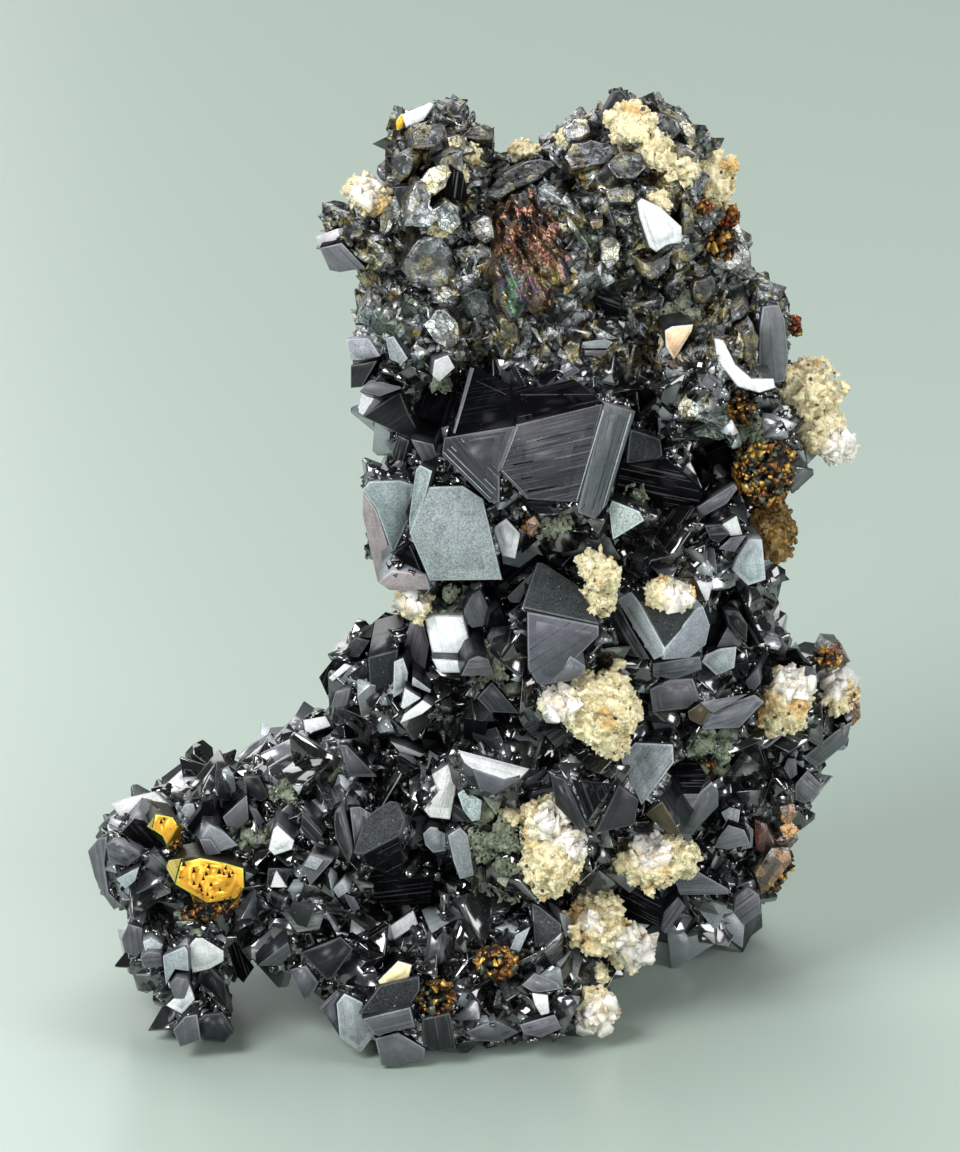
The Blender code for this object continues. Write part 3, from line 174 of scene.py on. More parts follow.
# Crystals read from their front faces: the colour, which carries painted light (a face painted
# pale stands for a reflection of the lamps, one painted black for none), the seat, how far the
# face stands out, its lean to the right and upwards, how deep it goes, how much it widens, and
# its corners as across, down, across, down ... in tenths of a millimetre.
CRYSTALS = {
    "giant_striated": ("steel", "giant", 0, (0.05, 0.1), 12, 1.02, (516, 426, 602, 405, 577, 503,
        526, 500, 499, 471)),
    "giant_left": ("steel", "giant", 0, (-0.35, 0.25), 12, 1.02, (444, 439, 515, 427, 499, 471, 499,
        503, 489, 503, 442, 456)),
    "giant_crown_left": ("black", "giant", 0, (-0.46, 0.9), 8, 1.02, (450, 437, 463, 399, 470, 364,
        510, 386, 516, 427)),
    "giant_crown_right": ("black", "giant", 0, (-0.155, 0.9), 8, 1.02, (516, 427, 510, 386, 540,
        388, 573, 380, 603, 405)),
    "giant_right": ("slate", "giant", 5.25, (0.7, -0.06), 9, 1.02, (604, 405, 635, 413, 607, 505,
        595, 520, 577, 513)),
    "black_left": ("black", None, 3, (-0.3, 0.1), 7, 1.06, (413, 407, 429, 389, 456, 372, 460, 385,
        445, 430, 433, 439, 417, 430)),
    "pale_chip": ("white", None, 3.2, (0.1, 0.2), 4, 1.1, (433, 377, 435, 362, 448, 357, 455, 369,
        440, 383)),
    "left_point": ("dark", None, 1.5, (-0.3, -0.1), 6, 1.05, (362, 417, 400, 392, 409, 415, 419,
        433, 407, 440, 398, 434)),
    "left_bright": ("white", None, 0.6, (-0.4, 0.5), 5, 1.05, (358, 412, 359, 398, 363, 391, 396,
        393, 364, 416)),
    "left_grey": ("slate", None, 1, (-0.1, 0.4), 5, 1.05, (360, 392, 370, 381, 400, 387, 402, 389,
        380, 397)),
    "left_cube": ("dark", None, 0.5, (-0.3, 0.1), 6, 1.05, (351, 389, 351, 367, 377, 362, 362,
        388)),
    "left_striated": ("pale", None, 0.8, (-0.3, 0.2), 6, 1.05, (346, 340, 368, 339, 383, 360, 372,
        363, 350, 360)),
    "left_rod": ("pale", None, 2, (-0.3, 0.1), 5, 1.1, (386, 340, 394, 338, 408, 360, 402, 366, 390,
        360)),
    "white_wedge": ("white", None, 3, (-0.1, 0.1), 4, 1.1, (407, 385, 420, 387, 413, 405, 409,
        399)),
    "lower_left_flat": ("slate", None, 2, (-0.2, -0.2), 6, 1.05, (411, 440, 433, 445, 439, 463, 433,
        471, 424, 465)),
    "small_dark_left": ("dark", None, 0.8, (-0.4, 0.1), 5, 1.05, (398, 436, 409, 441, 403, 462, 393,
        460, 392, 453)),
    "blue_flat": ("frosted", None, 2.5, (0.25, 0.1), 6, 1.08, (630, 430, 660, 440, 662, 456, 640,
        469, 626, 463)),
    "dark_wall": ("black", None, 1.5, (0.15, -0.1), 6, 1.05, (620, 465, 665, 460, 700, 488, 700,
        503, 660, 510, 612, 500)),
    "satin_small": ("satin", None, 4, (-0.1, 0.2), 5, 1.14, (608, 509, 611, 501, 638, 512, 643, 521,
        612, 540)),
    "satin_front": ("satin", "satin", 0, (0.05, 0.02), 10, 1.03, (428, 488, 463, 487, 483, 500, 502,
        580, 430, 581, 414, 543, 410, 533)),
    "satin_divider": ("satin", "satin", 0.6, (-0.45, 0.1), 7, 1.03, (416, 470, 420, 466, 432, 472,
        426, 495, 410, 533, 409, 519)),
    "satin_left_top": ("satin", None, 3.5, (-0.05, 0.1), 3, 1.02, (363, 490, 370, 482, 400, 481,
        414, 485, 409, 520, 393, 556, 377, 510)),
    "satin_left_side": ("rose", None, 2.6, (-0.5, 0), 7, 1.03, (363, 492, 377, 512, 392, 560, 390,
        572, 377, 582, 362, 515)),
    "satin_left_foot": ("rose", None, 3.4, (-0.1, -0.4), 6, 1.03, (378, 583, 392, 571, 426, 575,
        430, 590, 390, 591)),
    "dark_notch": ("black", None, 2.6, (0.1, 0.3), 5, 1.02, (396, 555, 413, 542, 426, 574, 403,
        562)),
    "purple_face": ("slate", "purple", 0, (0.03, 0), 9, 1.03, (527, 612, 598, 626, 598, 636, 550,
        684, 537, 683, 528, 669)),
    "frosted_roof": ("frosted", "purple", 0, (0.207, 0.9), 7, 1.01, (537, 562, 544, 563, 578, 585,
        599, 624, 526, 608, 522, 606)),
    "pale_bar": ("pale", None, 3.4, (-0.2, 0.2), 5, 1.1, (519, 585, 535, 570, 519, 603, 510, 602,
        507, 597)),
    "pale_steps": ("white", None, 3, (-0.1, 0.1), 5, 1.08, (493, 528, 506, 519, 520, 534, 515, 559,
        502, 556)),
    "step_shadow": ("black", None, 2.6, (0.1, -0.2), 5, 1.03, (501, 560, 517, 562, 533, 564, 510,
        583, 504, 580)),
    "purple_foot": ("slate", None, 3.4, (0.1, -0.2), 5, 1.08, (552, 683, 570, 656, 585, 666, 583,
        675, 569, 681)),
    "band_left": ("pale", "bands", 0, (-0.6, -0.04), 9, 1.02, (616, 600, 630, 592, 639, 603, 664,
        648, 663, 655, 653, 660)),
    "band_shadow": ("dark", "bands", 0.4, (-0.75, -0.1), 7, 1.02, (609, 635, 617, 602, 628, 625,
        649, 660, 620, 654)),
    "frosted_triangle": ("frosted", "bands", 0, (0, 0.25), 9, 1.01, (639, 601, 702, 609, 664, 648)),
    "band_right": ("pale", "bands", 0, (0.55, -0.26), 9, 1.02, (697, 608, 703, 607, 710, 626, 706,
        645, 690, 658, 663, 660, 664, 649)),
    "lens_face": ("slate", None, 3.4, (0.1, -0.3), 6, 1.05, (653, 664, 700, 657, 702, 670, 675, 680,
        653, 676)),
    "lower_facet": ("slate", None, 3, (0.05, -0.1), 6, 1.1, (650, 690, 670, 680, 693, 679, 700, 698,
        688, 709, 653, 713)),
    "right_grey": ("pale", None, 3.6, (0.15, 0.05), 6, 1.08, (706, 655, 720, 649, 737, 647, 735,
        668, 717, 676, 702, 662)),
    "small_triangle": ("slate", None, 3, (0.2, 0.05), 4, 1.1, (728, 627, 742, 645, 717, 648)),
    "dark_blue": ("dark", None, 2.6, (0.2, 0.1), 5, 1.05, (725, 610, 740, 612, 748, 625, 747, 643,
        729, 625)),
    "black_tall": ("black", None, 2.4, (0.1, 0.1), 5, 1.05, (709, 608, 724, 612, 716, 652, 708,
        652)),
    "long_edge": ("black", None, 1.6, (0.3, 0), 5, 1.1, (739, 590, 746, 605, 766, 643, 750, 648,
        749, 622)),
    "plank_low": ("slate", None, 2.4, (0.1, 0.15), 6, 1.06, (708, 710, 755, 695, 765, 702, 740, 728,
        702, 730)),
    "plank_high": ("slate", None, 2.6, (0.1, 0.4), 5, 1.06, (700, 702, 748, 694, 713, 713)),
    "brown_gem": ("brown", None, 2.2, (0, 0.1), 4, 1.1, (688, 712, 701, 703, 711, 712, 702, 726,
        690, 720)),
    "blue_wedge": ("pale", None, 4, (-0.05, 0.1), 7, 1.1, (621, 760, 635, 743, 673, 745, 674, 763,
        642, 806)),
    "black_roof": ("black", "roof", 0, (0, 0.6), 7, 1.02, (657, 795, 668, 770, 688, 758, 700, 764,
        712, 782, 701, 795)),
    "roof_face": ("slate", "roof", 0, (0, -0.1), 8, 1.02, (660, 795, 701, 795, 682, 826)),
    "roof_band": ("slate", "roof", 0, (0.6, -0.47), 7, 1.02, (701, 794, 713, 783, 720, 793, 720,
        808, 699, 830, 695, 837, 682, 836, 682, 825)),
    "roof_left": ("brown", None, 2, (-0.3, -0.2), 6, 1.02, (645, 815, 662, 802, 682, 835, 670,
        836)),
    "black_pyramid": ("black", None, 4.6, (0, 0.05), 2.2, 1.45, (572, 780, 612, 784, 588, 821)),
    "pyramid_left": ("dark", None, 2.4, (-0.35, 0), 6, 1.03, (550, 774, 566, 780, 586, 826, 580,
        832, 555, 805)),
    "pyramid_right": ("dark", None, 2.4, (0.35, 0), 6, 1.03, (619, 785, 639, 800, 635, 825, 595,
        834)),
    "plank_white": ("white", "plank", 0, (0.28, 0.8), 6, 1.02, (458, 749, 530, 768, 521, 777, 504,
        779, 473, 768, 465, 762)),
    "plank_purple": ("slate", "plank", 0, (0, -0.1), 6, 1.02, (473, 769, 505, 779, 520, 778, 495,
        794, 480, 790)),
    "plank_end": ("dark", "plank", 0.6, (-0.5, 0), 5, 1.02, (462, 763, 472, 770, 480, 790, 468,
        780)),
    "satin_lower": ("satin", None, 3.6, (0.1, 0.05), 6, 1.1, (458, 794, 463, 790, 482, 801, 480,
        820, 472, 822, 463, 810)),
    "white_slab": ("white", None, 3.8, (0.05, 0.05), 6, 1.06, (432, 775, 452, 762, 458, 778, 450,
        820, 430, 818, 424, 810, 438, 793)),
    "dark_shard": ("dark", None, 2.8, (-0.1, -0.1), 4, 1.05, (452, 803, 475, 822, 452, 822)),
    "pale_slab": ("pale", None, 3.4, (0.1, 0.1), 5, 1.1, (448, 836, 460, 828, 468, 836, 474, 876,
        460, 880, 454, 863)),
    "dark_octahedron": ("dark", None, 3.2, (0.05, 0.15), 5, 1.16, (477, 698, 492, 682, 519, 713,
        490, 712)),
    "octahedron_left": ("dark", None, 2.6, (-0.3, 0), 5, 1.05, (462, 703, 479, 700, 490, 713, 482,
        745, 463, 740)),
    "white_block": ("white", None, 4.2, (0, 0.05), 7, 1.05, (425, 619, 433, 615, 463, 616, 469, 638,
        458, 654, 432, 653)),
    "white_trapeze": ("white", None, 4, (0, -0.2), 6, 1.05, (432, 659, 467, 661, 460, 673, 439,
        673)),
    "grey_trapeze": ("slate", None, 3.8, (0.1, -0.1), 6, 1.05, (469, 660, 478, 656, 488, 659, 495,
        675, 461, 676)),
    "grey_octagon": ("slate", None, 2.8, (0.05, 0.1), 6, 1.1, (464, 610, 472, 595, 480, 590, 490,
        611, 484, 626, 472, 628, 465, 620)),
    "dark_delta": ("black", None, 2.8, (0.1, 0.1), 4, 1.25, (490, 614, 499, 606, 509, 626, 487,
        628)),
    "grey_stack": ("slate", None, 2.6, (-0.1, 0.1), 6, 1.06, (402, 653, 410, 622, 423, 622, 429,
        645, 425, 670, 416, 677, 403, 666)),
    "white_facet": ("white", None, 2.2, (-0.2, 0.3), 5, 1.05, (373, 636, 390, 631, 399, 644, 385,
        651, 368, 656)),
    "black_cap": ("black", None, 1.6, (-0.2, 0.4), 5, 1.05, (372, 623, 385, 612, 408, 621, 396, 626,
        373, 633)),
    "green_pocket": ("frosted", None, 1.2, (-0.1, -0.2), 5, 1.02, (368, 658, 398, 650, 390, 700,
        370, 690)),
    "pale_column": ("pale", None, 2.4, (-0.1, 0.1), 5, 1.08, (394, 662, 403, 658, 408, 673, 406,
        690, 393, 698)),
    "pale_shard": ("pale", None, 2.8, (0, 0.1), 4, 1.1, (412, 685, 413, 677, 431, 690, 430, 693)),
    "white_rhomb": ("white", None, 3.2, (0, 0.15), 4, 1.08, (401, 707, 405, 688, 421, 698, 404,
        709)),
    "white_strip": ("white", None, 3, (-0.1, 0.2), 4, 1.08, (400, 723, 404, 714, 423, 700, 432, 706,
        422, 714)),
    "round_dark": ("dark", None, 2.8, (0.05, 0.1), 7, 1.05, (403, 724, 428, 708, 457, 710, 459, 732,
        445, 752, 415, 758, 394, 742)),
    "white_blade": ("white", None, 3, (0.1, -0.2), 3, 1.1, (390, 742, 424, 755, 420, 758, 399,
        752)),
    "slate_delta": ("slate", None, 2.4, (0, 0), 5, 1.06, (339, 746, 346, 746, 377, 778, 348, 778)),
    "root_slate": ("slate", None, 1.4, (-0.2, 0.1), 5, 1.05, (335, 693, 350, 688, 346, 706, 330,
        708)),
    "root_black": ("black", None, 1.2, (-0.3, 0.1), 6, 1.05, (318, 678, 332, 660, 350, 666, 340,
        692, 326, 696)),
    "root_white": ("white", None, 1.8, (-0.1, 0.3), 4, 1.05, (328, 678, 344, 664, 352, 666, 332,
        682)),
    "root_frosted": ("frosted", None, 1.2, (-0.2, 0.2), 5, 1.05, (348, 644, 355, 638, 369, 641, 358,
        658, 345, 656)),
    "root_tip": ("white", None, 1, (-0.2, 0.5), 5, 1.05, (302, 721, 324, 717, 330, 727, 312, 733,
        304, 738)),
    "frosted_big": ("frosted", None, 4, (-0.1, 0.45), 7, 1.03, (364, 820, 375, 810, 390, 801, 397,
        802, 405, 820, 399, 836, 364, 854, 353, 853)),
    "frosted_glint": ("white", None, 4.6, (0.2, 0.2), 5, 1.05, (386, 825, 398, 815, 405, 824, 400,
        836, 390, 834)),
    "black_big": ("black", None, 3.6, (0.05, -0.05), 7, 1.06, (364, 856, 399, 838, 404, 870, 400,
        880, 368, 866)),
    "black_low": ("black", None, 2.4, (0.05, -0.25), 6, 1.04, (370, 870, 403, 882, 435, 878, 430,
        905, 385, 910, 365, 895)),
    "slate_tall": ("dark", None, 2.6, (-0.2, 0), 5, 1.08, (335, 812, 341, 810, 352, 852, 348, 864,
        336, 840, 334, 825)),
    "slate_side": ("slate", None, 2.8, (0.2, 0.1), 5, 1.06, (350, 808, 360, 807, 372, 814, 363, 836,
        355, 850)),
    "dark_leaf": ("dark", None, 2.2, (-0.1, 0.1), 5, 1.12, (302, 811, 323, 833, 318, 844, 306, 838,
        301, 830)),
    "white_kite": ("white", None, 3, (-0.05, 0.05), 5, 1.14, (277, 826, 294, 841, 292, 850, 274,
        856, 268, 850, 273, 830)),
    "arm_tetrahedron": ("dark", None, 2.8, (0, 0), 2.4, 1.4, (268, 869, 292, 869, 284, 888, 266,
        888)),
    "arm_glint": ("white", None, 3.4, (0, 0.1), 3, 1.1, (276, 871, 287, 888, 270, 888)),
    "square_block": ("slate", None, 2.6, (-0.1, 0.15), 6, 1.05, (310, 854, 333, 860, 310, 886, 302,
        866)),
    "square_glint": ("pale", None, 3.2, (-0.1, 0.25), 3, 1.05, (304, 866, 310, 856, 323, 860, 316,
        870)),
    "small_pale": ("pale", None, 2.4, (-0.1, 0.1), 4, 1.12, (333, 890, 342, 882, 348, 892, 338,
        898)),
    "purple_right": ("slate", None, 1.8, (0.2, 0), 4, 1.05, (342, 894, 354, 898, 360, 910, 352,
        912)),
    "striped_planks": ("white", None, 2.2, (0.1, 0.25), 5, 1.05, (387, 930, 413, 912, 418, 926, 394,
        942)),
    "grey_oval": ("pale", None, 2.6, (0.05, 0.05), 5, 1.1, (423, 835, 430, 828, 445, 830, 446, 852,
        433, 854, 425, 846)),
    "arm_box": ("slate", None, 2.6, (0, 0.1), 6, 1.12, (222, 818, 246, 796, 248, 820, 238, 829, 226,
        827)),
    "arm_box_side": ("slate", None, 2, (0.3, 0.1), 4, 1.05, (248, 809, 256, 810, 264, 823, 258,
        827)),
    "arm_hexagon": ("dark", None, 1.8, (0, 0.3), 5, 1.05, (242, 778, 258, 778, 268, 798, 260, 803,
        246, 794)),
    "black_horn": ("black", None, 2.8, (-0.1, 0), 6, 1.06, (201, 803, 212, 800, 214, 814, 205, 835,
        192, 836, 186, 829, 200, 810)),
    "pale_octagon": ("pale", None, 2, (-0.1, 0.1), 4, 1.14, (179, 812, 184, 805, 192, 805, 194, 812,
        188, 820)),
    "grey_tetrahedron": ("pale", None, 3.2, (0.15, 0.2), 5, 1.06, (210, 826, 224, 833, 238, 846,
        220, 852, 204, 840, 199, 840)),
    "tetrahedron_foot": ("slate", None, 3, (-0.05, -0.2), 5, 1.05, (199, 840, 210, 840, 220, 854,
        206, 857)),
    "white_wing": ("white", None, 1.2, (-0.15, 0.35), 6, 1.04, (108, 805, 130, 798, 152, 793, 168,
        807, 148, 824, 133, 819, 116, 818)),
    "black_wing": ("black", None, 1.6, (-0.1, 0.05), 6, 1.06, (120, 834, 133, 820, 143, 822, 158,
        838, 162, 848, 145, 850, 136, 846)),
    "left_end": ("slate", None, 0.6, (-0.45, 0), 7, 1.02, (85, 853, 96, 840, 105, 838, 102, 865,
        106, 895, 120, 908, 111, 912, 101, 898, 92, 880)),
    "end_round": ("slate", None, 1.6, (-0.2, 0.1), 5, 1.08, (104, 846, 116, 840, 138, 852, 139, 857,
        126, 868, 108, 864)),
    "end_pale": ("pale", None, 1.4, (-0.1, 0.1), 4, 1.06, (115, 880, 138, 868, 134, 882, 124, 890)),
    "foot_purple_left": ("slate", None, 1, (-0.35, 0.1), 6, 1.05, (119, 941, 126, 926, 140, 930,
        142, 950, 134, 960, 122, 954)),
    "foot_pale": ("pale", None, 2.2, (0, 0.2), 4, 1.08, (142, 943, 150, 939, 162, 946, 158, 953,
        144, 952)),
    "foot_purple": ("slate", None, 2.2, (-0.1, -0.1), 5, 1.05, (139, 960, 146, 953, 159, 954, 162,
        968, 144, 970)),
    "foot_white": ("white", None, 3.6, (0.05, 0.15), 6, 1.06, (187, 948, 195, 939, 202, 939, 223,
        952, 223, 962, 209, 970, 192, 974)),
    "foot_grey": ("pale", None, 3.2, (-0.2, 0.1), 5, 1.05, (162, 957, 184, 947, 187, 952, 188, 972,
        174, 970, 165, 986)),
    "foot_gem": ("slate", None, 3.6, (0, 0), 4, 1.2, (169, 986, 176, 978, 186, 980, 189, 986, 184,
        1000, 174, 1000)),
    "foot_cream": ("white", None, 3, (0.05, 0.05), 5, 1.04, (165, 1007, 175, 998, 189, 986, 194,
        1001, 181, 1016)),
    "foot_dark": ("dark", None, 3, (0.25, 0), 6, 1.06, (200, 972, 210, 969, 224, 984, 227, 1006,
        224, 1011, 212, 996, 196, 984)),
    "foot_base": ("slate", None, 1.6, (-0.1, -0.1), 5, 1.02, (172, 1032, 184, 1018, 196, 1016, 200,
        1042, 179, 1049)),
    "foot_base_dark": ("dark", None, 2, (0.15, 0), 5, 1.03, (192, 1028, 204, 1016, 222, 1014, 234,
        1034, 224, 1045, 203, 1043)),
    "foot_blade": ("black", None, 2, (0.2, 0.1), 5, 1.06, (226, 949, 233, 944, 253, 970, 242, 986,
        236, 980)),
    "arm_under": ("slate", None, 1, (0.1, -0.3), 6, 1.02, (256, 968, 287, 944, 290, 954, 280, 968)),
    "base_left": ("slate", None, 1.2, (-0.2, -0.2), 6, 1.02, (288, 972, 305, 968, 318, 985, 310,
        1000, 303, 1003)),
    "grey_quad": ("dark", None, 2.2, (-0.1, 0.2), 6, 1.05, (300, 954, 340, 938, 353, 950, 332, 980,
        326, 982)),
    "lined_base": ("pale", None, 2.6, (-0.1, -0.05), 6, 1.04, (336, 1005, 344, 995, 362, 1004, 375,
        1036, 360, 1055, 339, 1039)),
    "lined_base_side": ("slate", None, 1.8, (-0.6, 0), 6, 1.02, (318, 1009, 346, 982, 335, 1004,
        339, 1039)),
    "granular_block": ("frosted", None, 2.8, (0, 0.3), 6, 1.05, (359, 1014, 380, 986, 419, 977, 420,
        990, 410, 1006, 370, 1014)),
    "granular_foot": ("slate", None, 2.4, (0, -0.1), 6, 1.04, (362, 1020, 410, 1008, 415, 1028, 394,
        1032, 376, 1037)),
    "base_front": ("slate", None, 1.6, (0.05, -0.15), 6, 1.02, (375, 1040, 398, 1034, 425, 1050,
        424, 1060, 408, 1064, 396, 1069, 381, 1067)),
    "base_middle": ("dark", None, 1.6, (0.1, -0.1), 5, 1.04, (422, 1020, 450, 1014, 456, 1050, 435,
        1053, 423, 1045)),
    "base_purple": ("slate", None, 1.4, (0.1, -0.2), 5, 1.04, (465, 1034, 495, 1022, 520, 1034, 500,
        1044, 478, 1043)),
    "base_right": ("slate", None, 1.4, (0.2, -0.2), 5, 1.04, (520, 1026, 555, 1016, 562, 1030, 542,
        1039, 524, 1036)),
    "purple_mid": ("slate", None, 2.2, (0.1, 0.3), 5, 1.05, (522, 986, 535, 974, 558, 984, 562, 990,
        535, 994)),
    "white_tooth": ("white", None, 2.6, (0.1, 0.05), 4, 1.06, (532, 994, 548, 996, 550, 1016, 542,
        1018, 535, 1006)),
    "pale_blade": ("pale", None, 2, (-0.2, 0.1), 4, 1.06, (510, 950, 516, 936, 530, 928, 520, 952)),
    "frosted_middle": ("frosted", None, 2.2, (0.1, 0.15), 5, 1.05, (532, 904, 540, 908, 562, 926,
        560, 944, 535, 946)),
    "frosted_edge": ("pale", None, 1.8, (0.4, 0), 4, 1.05, (560, 914, 570, 918, 573, 932, 566,
        940)),
    "black_speckled": ("black", None, 3, (0.05, -0.1), 6, 1.06, (614, 892, 632, 882, 661, 897, 664,
        910, 662, 930, 632, 926, 616, 912)),
    "fan_face": ("slate", None, 2.6, (0.1, -0.05), 5, 1.05, (674, 878, 696, 872, 731, 892, 730, 897,
        682, 898)),
    "purple_tall": ("slate", None, 2.2, (0.1, 0), 5, 1.06, (666, 916, 680, 900, 688, 910, 668, 938,
        663, 934)),
    "speckled_gem": ("slate", None, 2.2, (0.15, 0), 5, 1.06, (738, 900, 750, 890, 762, 898, 764,
        916, 746, 929, 736, 916)),
    "grey_gem": ("pale", None, 2.4, (0.05, 0.3), 4, 1.1, (723, 814, 732, 809, 742, 812, 740, 826,
        728, 824)),
    "gem_face": ("slate", None, 2.4, (0, -0.1), 5, 1.05, (720, 840, 730, 827, 746, 832, 752, 846,
        730, 852, 716, 850)),
    "gem_side": ("slate", None, 1.8, (0.5, 0), 4, 1.05, (748, 824, 756, 832, 755, 850, 744, 852)),
    "purple_hexagon": ("slate", None, 2.4, (0.1, 0.1), 4, 1.14, (786, 770, 790, 760, 798, 760, 800,
        776, 793, 781)),
    "right_gem": ("slate", None, 2, (0.15, -0.1), 5, 1.06, (798, 786, 810, 772, 824, 786, 820, 798,
        808, 806, 798, 802)),
    "lobe_slab": ("slate", None, 0.8, (0.3, -0.2), 5, 1.03, (805, 760, 840, 732, 855, 723, 850, 745,
        820, 770)),
    "lobe_dark": ("black", None, 1.4, (0.1, 0.4), 5, 1.06, (766, 656, 798, 649, 806, 662, 786,
        668)),
    "lobe_slate": ("slate", None, 1.8, (0.2, 0.1), 5, 1.05, (802, 666, 816, 668, 822, 682, 812,
        688)),
    "lobe_cube": ("black", None, 2.2, (0.05, 0.1), 5, 1.06, (762, 670, 773, 672, 776, 686, 763,
        686)),
    "lobe_facet": ("slate", None, 2.4, (-0.1, 0.1), 5, 1.05, (746, 682, 759, 668, 761, 684, 752,
        694)),
    "long_plate": ("slate", None, 2.8, (0.1, 0.25), 5, 1.05, (696, 508, 734, 484, 737, 489, 726,
        504, 704, 516)),
    "dark_pentagon": ("dark", None, 2.2, (0.1, 0.1), 5, 1.06, (704, 526, 720, 525, 729, 534, 718,
        543, 710, 540)),
    "white_flag": ("white", None, 2.2, (0.2, 0.3), 4, 1.05, (720, 526, 736, 516, 742, 535, 730,
        536)),
    "striped_cube": ("slate", None, 2.4, (0.2, 0.2), 4, 1.05, (730, 538, 746, 535, 734, 552, 718,
        549)),
    "sage_face": ("pale", None, 1.4, (0.2, 0), 6, 1.04, (738, 556, 749, 539, 762, 540, 766, 580,
        748, 586, 732, 570)),
    "brown_wall": ("brown", None, 2.4, (0.1, 0), 5, 1.04, (679, 578, 694, 578, 704, 600, 688, 606)),
    "white_quad": ("white", None, 3, (0.1, 0.2), 4, 1.05, (696, 581, 714, 576, 708, 600, 705, 601)),
    "white_top": ("white", None, 3, (0.05, 0.2), 4, 1.05, (677, 472, 690, 462, 702, 488, 686, 483)),
    "black_fin": ("black", None, 3, (0.1, 0.05), 4, 1.05, (701, 468, 716, 479, 702, 488)),
    "dark_bar": ("black", None, 2.6, (0.05, 0.2), 4, 1.05, (676, 482, 702, 492, 702, 502, 670,
        498)),
    "slate_pentagon": ("slate", None, 3, (0.05, 0.05), 5, 1.08, (690, 430, 706, 424, 730, 446, 708,
        456, 694, 442)),
    "pentagon_foot": ("black", None, 2.4, (0.2, -0.2), 4, 1.05, (708, 458, 730, 448, 729, 460, 714,
        466)),
    "ridge_roof": ("black", None, 2.8, (-0.05, 0.6), 5, 1.05, (670, 420, 708, 412, 710, 422, 685,
        432)),
    "ridge_side": ("slate", None, 2.4, (0.5, 0.2), 4, 1.05, (710, 414, 714, 402, 732, 439, 710,
        421)),
    "slate_stone": ("slate", None, 1.8, (0.1, 0.2), 4, 1.06, (696, 382, 715, 373, 720, 384, 719,
        393, 716, 395)),
    "green_wedge": ("dark", None, 2, (0, 0.3), 5, 1.05, (672, 415, 680, 396, 705, 400, 709, 410)),
    "white_shard": ("white", None, 2.4, (0.1, 0.25), 5, 1.05, (636, 206, 640, 202, 658, 210, 680,
        230, 680, 245, 665, 248, 655, 255, 648, 250, 638, 220)),
    "silver_shard": ("rough_white", None, 2.4, (0.15, 0.2), 6, 1.04, (710, 252, 718, 240, 742, 243,
        750, 252, 750, 269, 742, 274, 720, 270, 710, 264)),
    "peak": ("dark", None, 0.3, (0, 0.3), 4, 1.04, (612, 94, 620, 92, 632, 104, 626, 124, 602, 130,
        600, 116)),
    "knob_white": ("white", None, 0.6, (-0.1, 0.35), 6, 1.04, (402, 116, 430, 104, 434, 106, 424,
        122, 406, 129)),
    "black_box": ("black", None, 2.2, (0.05, 0.05), 5, 1.08, (431, 158, 443, 152, 448, 164, 431,
        170)),
    "dark_tooth": ("dark", None, 2.2, (-0.1, 0.1), 4, 1.05, (392, 190, 411, 189, 401, 211)),
    "black_post": ("black", None, 2, (0.1, 0.1), 5, 1.06, (450, 168, 464, 178, 468, 202, 462, 206,
        446, 198)),
    "knob_band": ("white", None, 1, (-0.4, 0.3), 4, 1.05, (316, 238, 338, 230, 342, 244, 320, 248)),
    "knob_face": ("slate", None, 1, (-0.2, -0.1), 5, 1.04, (320, 250, 342, 245, 366, 270, 340, 274,
        330, 272)),
    "purple_plate": ("slate", None, 1.2, (0.25, 0.05), 5, 1.04, (762, 308, 778, 306, 784, 320, 788,
        360, 784, 382, 768, 384, 758, 370, 759, 330)),
    "silver_curve": ("white", None, 2.4, (0.1, 0.1), 4, 1.03, (713, 340, 722, 342, 734, 366, 750,
        380, 772, 380, 774, 389, 758, 394, 736, 388, 716, 362)),
    "cap_slate": ("rough_slate", None, 3, (0.1, 0.3), 4, 1.04, (412, 138, 420, 129, 445, 127, 447,
        136, 443, 146, 430, 153, 414, 151)),
    "cap_dark": ("rough_dark", None, 2.8, (0.4, 0.2), 4, 1.04, (440, 165, 448, 156, 462, 152, 464,
        168, 458, 188, 452, 184)),
    "cap_cream": ("rough_cream", None, 2.6, (0, 0.4), 4, 1.04, (447, 140, 458, 137, 472, 148, 476,
        155, 462, 158, 450, 152)),
    "cap_grey": ("rough_slate", None, 2.2, (0, 0.5), 4, 1.04, (458, 140, 470, 130, 484, 126, 494,
        132, 492, 142, 478, 142)),
    "cap_brown": ("rough_dark", None, 2.4, (-0.4, 0.1), 4, 1.04, (392, 160, 404, 155, 414, 160, 410,
        178, 400, 186, 392, 176)),
    "wing_left": ("rough_pale", None, 2.6, (-0.3, 0.1), 4, 1.04, (380, 219, 392, 200, 399, 203, 402,
        215, 394, 224, 386, 238, 377, 240)),
    "wing_main": ("rough_pale", None, 2.8, (0.1, 0.2), 4, 1.04, (404, 206, 415, 186, 422, 184, 432,
        196, 430, 208, 440, 222, 430, 231, 405, 229)),
    "wing_yellow": ("rough_cream", None, 2.6, (0.1, 0.4), 4, 1.04, (418, 186, 430, 172, 448, 168,
        452, 176, 446, 190, 436, 198, 424, 192)),
    "fan": ("rough_slate", None, 2, (0.1, 0.1), 4, 1.04, (402, 272, 412, 250, 424, 238, 440, 236,
        452, 252, 456, 272, 448, 286, 430, 290, 410, 284)),
    "pearl": ("rough_pale", None, 2.2, (0.2, 0), 4, 1.04, (432, 214, 446, 204, 460, 210, 462, 226,
        452, 238, 440, 232)),
    "silver_mid": ("rough_white", None, 1.8, (-0.2, 0.2), 4, 1.04, (470, 224, 484, 218, 498, 222,
        498, 236, 486, 246, 476, 240)),
